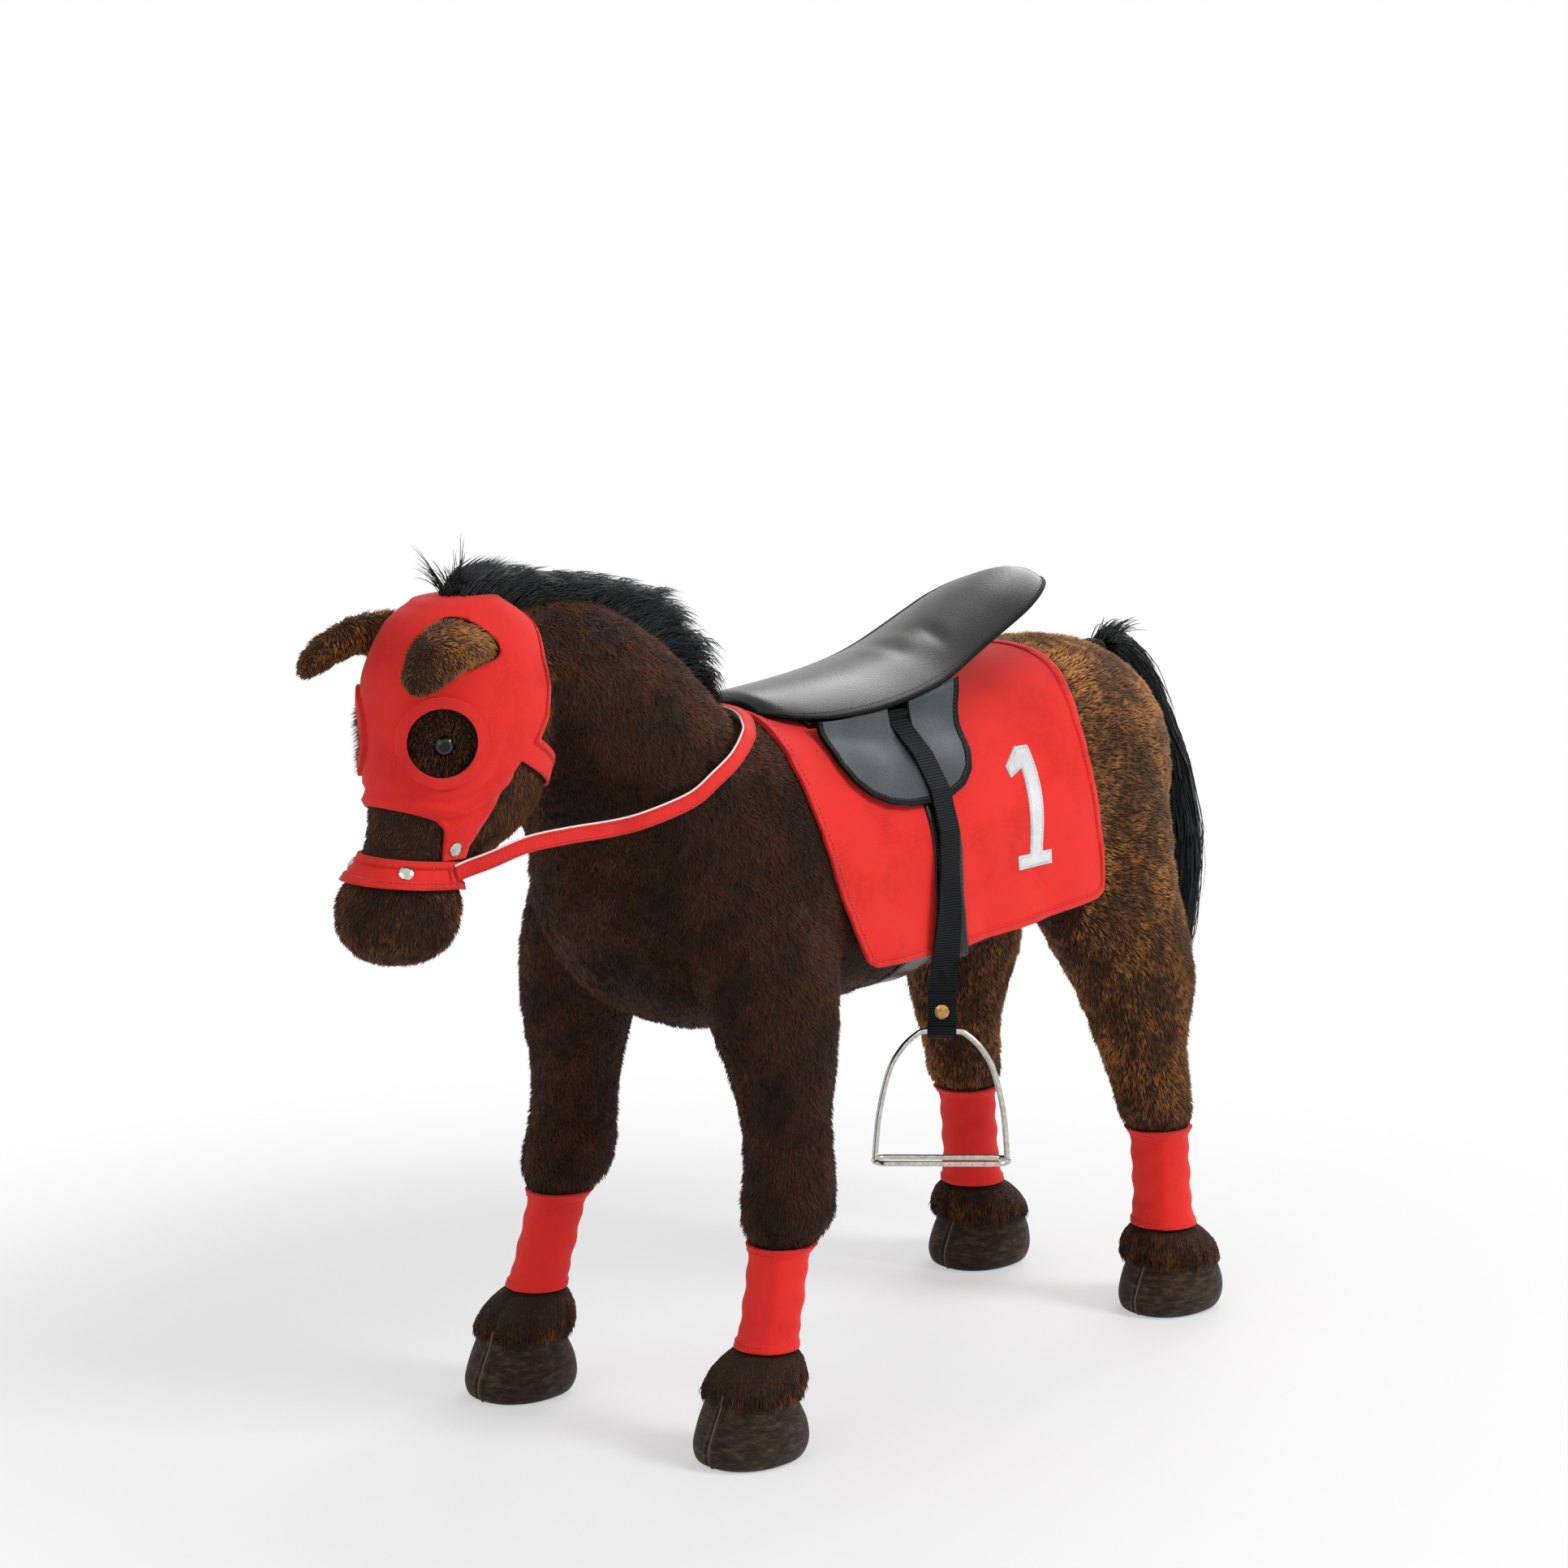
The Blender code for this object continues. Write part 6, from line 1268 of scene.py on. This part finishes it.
PANEL_HALF_WIDTH = 0.0685
panel_rings = []
for y in np.linspace(-0.158, 0.046, 40):
    middle, half, drop = (float(np.interp(y, seat_table[:, 0], seat_table[:, k])) for k in (1, 2, 3))
    share = np.linspace(1, -1, 21)
    top_z = middle - drop * (share * PANEL_HALF_WIDTH / half) ** 2 - 0.0052
    bulge = PANEL_HALF_WIDTH + 0.0006 * np.sin(y * 180)
    over_top = np.stack([share * bulge, top_z], 1)
    under = np.array([(-bulge, 0.640), (-bulge * 0.9, 0.636), (bulge * 0.9, 0.636), (bulge, 0.640)])
    panel_rings.append([(x, y, z) for x, z in np.concatenate([over_top, under])])
panel_rings = np.array(panel_rings)
panel = closed_form("saddle_panel_pad", panel_rings, panel_rings[0].mean(0), panel_rings[-1].mean(0))
combine(panel, cloth_room, "DIFFERENCE")
dress(panel, BLACK_LEATHER, "horse", "leatherette", "saddle_panel")

# ---------------------------------------------------------------- saddle flaps
# One layer of blue-grey leatherette on each side, bound in black, hung from the panel under the seat's edge.
FLAP_LIFT = 0.0074
FLAP_THICKNESS = 0.0027
FLAP_OUTLINE = [
    (-0.152, 0.720), (-0.166, 0.652), (-0.168, 0.630), (-0.161, 0.614), (-0.146, 0.600), (-0.124, 0.590),
    (-0.098, 0.585), (-0.066, 0.584), (-0.036, 0.587), (-0.014, 0.594), (0.004, 0.606), (0.018, 0.624),
    (0.030, 0.648), (0.038, 0.672), (0.042, 0.720),
]
LEATHER_SLOT = [(-0.0655, 0.6490), (-0.0345, 0.6490), (-0.0345, 0.70), (-0.0655, 0.70)]


def flap_surface(side):
    """The flap's middle: straight out from under the seat's edge, then down over the barrel."""
    stations = np.linspace(-0.182, 0.052, 60)
    points, normals = drape(stations, overs=145, hangs=4)
    picked = 4 + np.arange(48, 11, -1)
    on_back = np.transpose(points[:, picked] + normals[:, picked] * FLAP_LIFT, (1, 0, 2))
    down_normals = np.transpose(normals[:, picked], (1, 0, 2))
    first = on_back[0].copy()
    height, half, dip = (np.interp(stations, seat_table[:, 0], seat_table[:, k]) for k in (1, 2, 3))
    under = height - dip * np.minimum(first[:, 0] / half, 1.0) ** 2 - 0.003
    first[:, 2] = np.maximum(under, first[:, 2] + 0.004)
    first_normal = unit(down_normals[0] + np.array([0.9, 0.0, -0.6]))
    share = np.linspace(0, 1, 5)[:-1, None, None]
    lead = first[None] * (1 - share) + on_back[:1] * share
    lead_normals = unit(first_normal[None] * (1 - share) + down_normals[:1] * share)
    points, normals = np.concatenate([lead, on_back]), np.concatenate([lead_normals, down_normals])
    for _ in range(30):
        points[1:18] = points[1:18] * 0.5 + (points[:17] + points[2:19]) * 0.25
        normals[1:24] = unit(normals[1:24] * 0.5 + (normals[:23] + normals[2:25]) * 0.25)
    return points * (side, 1, 1), normals * (side, 1, 1)


for side_name, side in SIDES:
    flap_points, flap_normals = flap_surface(side)
    span = sorted((0.04 * side, 0.20 * side))
    flap = layer("flap_" + side_name, flap_points, flap_normals, 0.0, FLAP_THICKNESS)
    combine(flap, side_prism("flap_cut", FLAP_OUTLINE, *span), "INTERSECT")
    bound = layer("flap_binding_" + side_name, flap_points, flap_normals, -0.0004, FLAP_THICKNESS + 0.0010)
    keep_band(bound, FLAP_OUTLINE, 0.0006, 0.0058, *span)
    for part in (flap, bound):
        combine(part, side_prism("leather_slot", LEATHER_SLOT, *sorted((0.06 * side, 0.10 * side))), "DIFFERENCE")
    dress(flap, GREY_LEATHER, "horse", "grey_leatherette", "saddle_flap_" + side_name)
    dress(bound, BINDING, "horse", "leatherette")
    sewn_rows("flap_stitches_" + side_name, bound, FLAP_OUTLINE, 0.0044, BLACK_THREAD)

# ---------------------------------------------------------------- stirrup leathers and irons
# Ribbed black webbing looped over the steel bar and riveted below, where it folds round the iron. The iron is a
# forged and polished arch of steel wire with an open tread of two bars, and it swings in the fold.
RIB = 0.0024
WEBBING, shader, place = new_material("ribbed_webbing")
ribs = add(WEBBING, "TexWave", {"Vector": place, "Scale": 2 * math.pi / RIB / 20, "Distortion": 0.3},
           wave_type="BANDS", bands_direction="Z").outputs["Fac"]
fuzz = noise(WEBBING, place, 500.0, 2.0)
level = maths(WEBBING, "MULTIPLY_ADD", fuzz, 0.3, ribs)
# Rib crests lighter and grooves darker: painted light and shade along the ribs, with random fuzz tone.
tint = ramp(WEBBING, level, [(0.2, "#020303"), (0.7, "#0a0d0e"), (1.0, "#1b2022")])
bump = bumps(WEBBING, level, 0.8, 0.0008)
plug(WEBBING, shader, {
    "Base Color": tint, "Normal": bump, "Roughness": 0.62,
    "Specular IOR Level": 0.12,
})
BAR_Y = -0.050
LOOP_X = 0.1680
LOOP_HEIGHT = 0.3665
IRON_WIRE = 0.0028
IRON_DROP = 0.1270
TREAD_WIRE = 0.0026
TREAD_HALF = 0.0520
TREAD_BEND = 0.0125
HANG_FORWARD = {"left": 0.0290, "right": -0.0750}
ARCH = [(0.0635, 0.0), (0.0595, 0.0460), (0.0500, 0.0880), (0.0380, 0.1100), (0.0250, 0.1230)]
for side_name, side in SIDES:
    wear(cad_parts["stirrup_leather_" + side_name], WEBBING)
    plane = unit(np.array((0.7478 * side, 0.6640, 0.0)))
    face = np.array((plane[1] * side, -plane[0] * side, 0.0))
    loop = np.array((LOOP_X * side, BAR_Y - HANG_FORWARD[side_name], LOOP_HEIGHT))
    foot = loop[2] - IRON_DROP
    half_arch = [(s, foot + rise) for s, rise in ARCH] + [(0.0150, LOOP_HEIGHT)]
    arch = blend_rows(half_arch + [(-s, z) for s, z in reversed(half_arch)], 111)
    flat_top = np.abs(arch[:, 0]) < 0.0152
    arch[flat_top, 1] = LOOP_HEIGHT
    arch_path = loop * (1, 1, 0) + arch[:, [0]] * plane + arch[:, [1]] * np.array((0, 0, 1.0))
    iron = tube("iron_arch_" + side_name, arch_path, IRON_WIRE, 20, up=face)
    turns = np.concatenate([np.linspace(-math.pi / 2, math.pi / 2, 13) + half_turn for half_turn in (0, math.pi)])
    end = np.repeat([TREAD_HALF, -TREAD_HALF], 13)
    tread_line = np.stack([end + TREAD_BEND * np.cos(turns), TREAD_BEND * np.sin(turns)], 1)
    tread_path = loop * (1, 1, 0) + tread_line[:, [0]] * plane + tread_line[:, [1]] * face + np.array((0, 0, foot))
    tread = tube("iron_tread_" + side_name, tread_path, TREAD_WIRE, 16, closed=True)
    combine(iron, tread, "UNION")
    dress(iron, POLISHED_STEEL, side_name + "_iron", "polished_steel", "stirrup_iron_" + side_name)

# ---------------------------------------------------------------- rein
# A flat strap of the hood's red cloth, sewn along both edges, with white piping on its upper edge. It lies over the
# withers and runs down both sides of the neck to the bit end of the chin strap.
REIN_ROWS = [
    (0.0, -0.2140, 0.6800, 0.0, 0.1, 1.0), (0.030, -0.2180, 0.6790, 0.15, 0.1, 0.98),
    (0.055, -0.2320, 0.6765, 0.35, 0.15, 0.92), (0.073, -0.2470, 0.6725, 0.55, 0.2, 0.8),
    (0.090, -0.2650, 0.6665, 0.74, 0.2, 0.62), (0.108, -0.3010, 0.6520, 0.93, 0.15, 0.32),
    (0.1145, -0.3346, 0.6380, 0.98, -0.09, 0.12), (0.1125, -0.3638, 0.6226, 0.94, -0.34, 0.0),
    (0.1030, -0.4087, 0.6105, 0.90, -0.40, 0.0), (0.0930, -0.4415, 0.6050, 0.93, -0.30, 0.0),
    (0.0800, -0.4906, 0.6028, 0.95, -0.25, 0.0), (0.0690, -0.5308, 0.5990, 0.96, -0.25, 0.0),
    (0.0588, -0.5660, 0.5890, 0.96, -0.25, 0.0), (0.0502, -0.5860, 0.5830, 0.96, -0.26, 0.0),
    (0.0472, -0.5990, 0.5795, 0.96, -0.27, -0.1),
]
REIN_WIDTH = 0.0150
REIN_THICKNESS = 0.0024
PIPING_RADIUS = 0.0010
rein_rows = [(-x, y, z, -lx, ly, lz) for x, y, z, lx, ly, lz in reversed(REIN_ROWS)] + REIN_ROWS[1:]
rein, rein_line = strap("red_rein", rein_rows, 260, rounded_bar_section(REIN_WIDTH, REIN_THICKNESS))
dress(rein, RED_HEM, "horse", "red_cloth", "rein")
path, across, out = rein_line
quarter = across[len(across) // 4]
upper = 1.0 if quarter[2] + 0.3 * quarter[1] > 0 else -1.0
piping = tube("rein_piping", path + across * upper * (REIN_WIDTH / 2 + 0.0002), PIPING_RADIUS, 8, up=out)
wear(piping, cloth_material("white_cotton_piping", "#f1efec", "#cfccc8"))
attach(piping, "horse")
for row_name, offset in (("upper", 0.0052), ("lower", -0.0052)):
    strap_stitches("rein_stitches_" + row_name, rein_line, offset, REIN_THICKNESS, RED_THREAD)

# ---------------------------------------------------------------- leg wraps
# A sleeve of red cotton round each cannon, hemmed at both ends and closed down its outer side by a sewn overlap.
FORE_WRAP = (0.1030, 0.1960)
HIND_WRAP = (0.0920, 0.1960)
FIBRE_GAP = 0.0006
WRAP_THICKNESS = 0.0030
WRAP_HEM = 0.0070
HEM_LIFT = 0.0012
CLOSING = (-95, -58)  # degrees round the leg of the lap's edge on the right legs and on the left ones


def rings_at(rings, heights, grow):
    """The upright form's rings at these heights, grown outward level by grow."""
    levels = rings[:, 0, 2]
    found = np.stack([
        np.stack([np.interp(heights, levels, rings[:, j, k]) for k in range(3)], -1) for j in range(rings.shape[1])
    ], 1)
    outward = found - found.mean(1, keepdims=True)
    outward[..., 2] = 0
    return found + unit(outward) * np.broadcast_to(grow, found.shape[:2])[..., None]


def sleeve(name, outer_rings, inner_rings):
    """A sleeve closed on itself: down its outer rings and up its inner ones."""
    return ring_form(name, np.concatenate([outer_rings, inner_rings[::-1]]))


def add_wrap(leg_name, foot_x, foot_y):
    """A wrap, whose hems, ripples and thicker closing lap are worked into its outer rings."""
    leg_rings, wrap_name = limbs[leg_name], leg_name.replace("leg", "wrap")
    low, high = FORE_WRAP if foot_y < 0 else HIND_WRAP
    heights = np.concatenate([[high], np.linspace(high - 0.0004, low + 0.0004, 60), [low]])
    ends = np.minimum(high - heights, heights - low)
    turn = circle(leg_rings.shape[1])
    hem = HEM_LIFT * (1 - ease_step(ends, WRAP_HEM - 0.0008, WRAP_HEM))[:, None]
    closing = math.radians(CLOSING[foot_x > 0])
    lap = (turn - closing + math.pi) % (2 * math.pi) - math.pi
    fold = (0.0016 * ease_step(lap, 0.0, 0.06) * (1 - ease_step(lap, 0.9, 2.6)))[None, :]
    wave = np.sin(heights[:, None] * 230 + 2.2 * np.cos(turn + foot_y * 9)[None, :] + 1.1 * np.sin(3 * turn)[None, :])
    ripple = 0.0009 * wave * ease_step(ends, 0.008, 0.02)[:, None] * (0.35 + 0.65 * np.cos(turn * 2 - 1)[None, :] ** 2)
    thick = FIBRE_GAP + WRAP_THICKNESS + hem + fold + ripple
    thick[[0, -1]] -= 0.0008
    inner_rings = rings_at(leg_rings, heights, np.full_like(thick, 0.0003))
    wrap = sleeve(wrap_name + "_cloth", rings_at(leg_rings, heights, thick), inner_rings)
    dress(wrap, RED_CLOTH, "horse", "red_cloth", wrap_name)
    for row_name, level in (("top", high - WRAP_HEM + 0.0014), ("foot", low + WRAP_HEM - 0.0014)):
        ring = rings_at(leg_rings, np.array([level]), FIBRE_GAP + WRAP_THICKNESS + 0.0013)[0]
        ring = along_line(np.concatenate([ring, ring[:1]]), STITCH_PITCH)
        away = unit(ring - ring.mean(0))
        thread_row(f"{wrap_name}_stitches_{row_name}", ring + np.array([0, SHIFT, 0]), away, RED_THREAD)

# ---------------------------------------------------------------- hooves and cuffs
# Each hoof is brown suede over foam with a flat sole, its two halves joined by an upright seam and a welt at the toe.
# Each cuff is a folded band of the coat's plush, sewn round the fetlock and turned down over the hoof.
SUEDE, shader, place = new_material("brown_suede")
creased = add(SUEDE, "Mapping", {"Vector": place, "Scale": (1.0, 1.0, 3.2)}).outputs["Vector"]
nap = noise(SUEDE, creased, 70.0, 6.0, 0.7)
tint = ramp(SUEDE, nap, [(0.34, "#1f1611"), (0.52, "#382a22"), (0.70, "#5a493e")])
fluff = noise(SUEDE, place, 1100.0, 2.0)
level = maths(SUEDE, "MULTIPLY_ADD", fluff, 0.25, nap)
bump = bumps(SUEDE, level, 0.6, 0.0012)
plug(SUEDE, shader, {
    "Base Color": tint, "Normal": bump, "Roughness": 0.92, "Sheen Weight": 0.14,
    "Sheen Roughness": 0.5, "Specular IOR Level": 0.15,
})
SUEDE_WELT = leather_material("suede_welt", "#5a4a3f", "#75645a", "#8f7e72", 0.8)
HOOF_ROWS = [
    (0.000, 0.048, 0.042, 0.0380), (0.005, 0.055, 0.050, 0.0455), (0.018, 0.057, 0.055, 0.0490),
    (0.036, 0.050, 0.053, 0.0475), (0.054, 0.041, 0.045, 0.0420), (0.067, 0.037, 0.040, 0.0375),
    (0.070, 0.032, 0.034, 0.0330),
]
HOOF_SIDES = 300
FORE_CUFF = (0.0600, 0.1020)
HIND_CUFF = (0.0520, 0.0910)
CUFF_HAIRS = 5200


def add_hoof(leg_name, foot_x, foot_y):
    """A hoof with its seam and its welt at the toe. Gives its rings."""
    hoof_name = leg_name.replace("leg", "hoof")
    z, toe, heel, half = (blend_rows(HOOF_ROWS, 43)[:, [k]] for k in range(4))
    z = np.maximum(z, 0.0)
    angle = circle(HOOF_SIDES)[None, :] + math.pi / HOOF_SIDES
    away = np.abs(np.angle(np.exp(1j * (angle + math.pi / 2)))) * 0.05
    seam = -0.0012 * np.exp(-((away / 0.0012) ** 2)) + 0.0013 * np.exp(-(((away - 0.0036) / 0.0020) ** 2))
    seam = seam * ease_step(z, 0.001, 0.006)
    dent = 0.0009 * np.sin(angle * 3 + foot_x * 40) * np.sin(z * 70)
    x = foot_x + (half + seam + dent) * rounded(np.cos(angle), 2.2)
    lengthwise = rounded(np.sin(angle), 2.2)
    y = foot_y + np.where(lengthwise < 0, (toe + seam + dent) * lengthwise, (heel + dent) * lengthwise)
    hoof_rings = np.stack([x, y, np.broadcast_to(z, x.shape)], 2)
    hoof = closed_form(hoof_name + "_suede", hoof_rings, (foot_x, foot_y, 0.0), (foot_x, foot_y, HOOF_ROWS[-1][0]))
    dress(hoof, SUEDE, "horse", "suede", hoof_name)
    toe_line = np.stack([np.full(34, foot_x), foot_y - toe[3:37, 0] - 0.0004, z[3:37, 0]], 1)
    dress(tube(hoof_name + "_welt", toe_line, PIPING_RADIUS, 8, up=(1.0, 0, 0)), SUEDE_WELT, "horse", "suede")
    return hoof_rings


def add_cuff(leg_name, foot_y, hoof_rings):
    """A cuff that swells between the fetlock and the hoof, lies on both with its inner side, and carries pile."""
    leg_rings, cuff_name = limbs[leg_name], leg_name.replace("leg", "cuff")
    low, high = FORE_CUFF if foot_y < 0 else HIND_CUFF
    top, foot = np.array([high - 0.001]), np.array([low + 0.004])
    leg_top, inner_top = (rings_at(leg_rings, top, grow)[0] for grow in (0.0012, 0.0004))
    picked = (np.arange(leg_top.shape[0]) * HOOF_SIDES / leg_top.shape[0]).astype(int)
    hoof_low, inner_low = (rings_at(hoof_rings, foot, grow)[0][picked] for grow in (0.0026, 0.0004))
    t = np.linspace(0, 1, 14)[:, None, None]
    skirt = leg_top[None] * (1 - t) + hoof_low[None] * t
    out = skirt - skirt.mean(1, keepdims=True)
    out[..., 2] = 0
    out = unit(out)
    skirt = skirt + out * 0.0080 * np.sin(math.pi * t) ** 0.6
    front = np.exp(-(((np.arange(skirt.shape[1]) / skirt.shape[1] - 0.75) / 0.02) ** 2))[None, :, None]
    skirt = skirt - out * 0.0035 * front
    inner_middle = inner_top * 0.45 + inner_low * 0.55 + out[7] * 0.003
    skin = sleeve(cuff_name + "_skirt", skirt, np.stack([inner_top, inner_middle, inner_low]))
    dress(skin, COAT_SKIN, "horse", "plush", cuff_name)
    at = draw.random(CUFF_HAIRS)
    around = draw.random(CUFF_HAIRS) * skirt.shape[1]
    first, then, part = around.astype(int), (around.astype(int) + 1) % skirt.shape[1], (around % 1)[:, None]
    row, down = (at * 12.99).astype(int), (at * 12.99 % 1)[:, None]
    above, below = (skirt[k, first] * (1 - part) + skirt[k, then] * part for k in (row, row + 1))
    root = above * (1 - down) + below * down
    away = out[row, first] * (1 - part) + out[row, then] * part
    lock = np.sin(around * 2.1 + 3 * np.sin(around * 0.7))
    reach = draw.uniform(0.0065, 0.0105, CUFF_HAIRS) * (1 + 0.15 * lock)
    t = np.linspace(0, 1, 4)[None, :, None]
    flare = (0.62 + 0.14 * lock + 0.10 * draw.normal(size=CUFF_HAIRS))[:, None, None]
    sweep = draw.normal(size=(CUFF_HAIRS, 1, 3)) * (0.10, 0.10, 0.05)
    heading = away[:, None] * flare * (1 - 0.75 * t) + np.array([0, 0, -1.0]) * (0.55 + 0.5 * t) + sweep
    hairs = root[:, None] + heading * t * reach[:, None, None] + np.array([0, SHIFT, 0])
    hairs[..., 2] = np.maximum(hairs[..., 2], 0.004)
    cuff = strands(cuff_name + "_pile", hairs, draw.uniform(0.0006, 0.0009, CUFF_HAIRS), blunt=0.3)
    # Cuff pile colours, with gold patches of painted sheen.
    tones = ("#150b06", "#3d2412", "#7a5330", GOLD_PAINTED_SHEEN_AND_TONE)
    dress(cuff, hair_material(leg_name + "_cuff_hair", cuff["cells"], *tones, size=30.0), "horse", "plush")


for leg_name, (foot_x, foot_y, _) in FEET.items():
    add_wrap(leg_name, foot_x, foot_y)
    add_cuff(leg_name, foot_y, add_hoof(leg_name, foot_x, foot_y))

# ---------------------------------------------------------------- floor, lights and camera
# A pale seamless paper floor that fades into white away from the horse, three big soft lamps and an even sky. The
# camera looks from the bearing and height that match the photograph.
WHITE = (1.0, 1.0, 1.0, 1.0)
FLOOR_REACH = 2.6


def seen_rays(tree_owner):
    """1 for rays from the camera, off gloss or through glass, and 0 for those that only carry light."""
    rays = add(tree_owner, "LightPath").outputs
    seen = maths(tree_owner, "MAXIMUM", rays["Is Camera Ray"], rays["Is Glossy Ray"])
    return maths(tree_owner, "MAXIMUM", seen, rays["Is Transmission Ray"])


corners = [(x * FLOOR_REACH, y * FLOOR_REACH, 0) for x, y in ((-1, -1), (1, -1), (1, 1), (-1, 1))]
floor_mesh = mesh_of("floor", corners, [[0, 1, 2, 3]], smooth=False)
paper, shader, place = new_material("pale_paper")
grain = noise(paper, place, 300.0, 2.0)
tint = ramp(paper, grain, [(0.3, "#f6f6f6"), (0.7, "#fafafa")])
plug(paper, shader, {"Base Color": tint, "Roughness": 0.9, "Specular IOR Level": 0.1})
spot = add(paper, "VectorMath", {0: place}, operation="LENGTH").outputs["Value"]
edge = add(paper, "MapRange", {"Value": spot, "From Min": 0.62, "From Max": 1.35, "To Min": 0.45},
           interpolation_type="SMOOTHSTEP").outputs["Result"]
clear = maths(paper, "MULTIPLY", edge, seen_rays(paper))
glow = add(paper, "Emission", {"Color": WHITE, "Strength": 1.0})
faded = add(paper, "MixShader", {0: clear, 1: shader.outputs[0], 2: glow.outputs[0]})
plug(paper, paper.node_tree.nodes["Material Output"], {"Surface": faded.outputs[0]})
wear(floor_mesh, paper)

world = bpy.data.worlds.new("studio")
world.use_nodes = True
bpy.context.scene.world = world
sky = world.node_tree.nodes["Background"]
plug(world, sky, {"Color": WHITE, "Strength": 0.42})
white = add(world, "Background", {"Color": WHITE, "Strength": 1.0})
choice = add(world, "MixShader", {0: seen_rays(world), 1: sky.outputs[0], 2: white.outputs[0]})
plug(world, world.node_tree.nodes["World Output"], {"Surface": choice.outputs[0]})

# Name, place, watts and width of each lamp. All look at the middle of the horse
LAMPS = (
    ("key_lamp", (2.6, 0.9, 2.6), 64, 1.1), ("fill_lamp", (0.4, -3.2, 2.2), 19, 2.4),
    ("back_lamp", (-1.2, 2.8, 2.4), 40, 2.0),
)
for lamp_name, lamp_place, power, size in LAMPS:
    lamp_data = bpy.data.lights.new(lamp_name, "AREA")
    lamp_data.energy = power
    lamp_data.size = size
    lamp = bpy.data.objects.new(lamp_name, lamp_data)
    bpy.context.scene.collection.objects.link(lamp)
    lamp.location = lamp_place
    lamp.rotation_euler = (Vector((0, 0, 0.45)) - lamp.location).to_track_quat("-Z", "Y").to_euler()

BEARING = math.radians(41.61)
CAMERA_DISTANCE = 4.8
CAMERA_HEIGHT = 1.4453
CAMERA_DIP = math.radians(10.28)
CAMERA_TURN = math.radians(0.956)
SENSOR_WIDTH = 36
FRAME_PIXELS = 1932
FOCAL_PIXELS = 6133.2
camera_data = bpy.data.cameras.new("camera")
camera_data.lens = FOCAL_PIXELS * SENSOR_WIDTH / FRAME_PIXELS
camera_data.sensor_width = SENSOR_WIDTH
camera = bpy.data.objects.new("camera", camera_data)
bpy.context.scene.collection.objects.link(camera)
away_x, away_y = math.sin(BEARING) * CAMERA_DISTANCE, math.cos(BEARING) * CAMERA_DISTANCE
camera.location = (away_x, SHIFT - away_y, CAMERA_HEIGHT)
camera.rotation_euler = (math.pi / 2 - CAMERA_DIP, 0, BEARING + CAMERA_TURN)
bpy.context.scene.camera = camera
bpy.context.scene.view_settings.view_transform = "Standard"
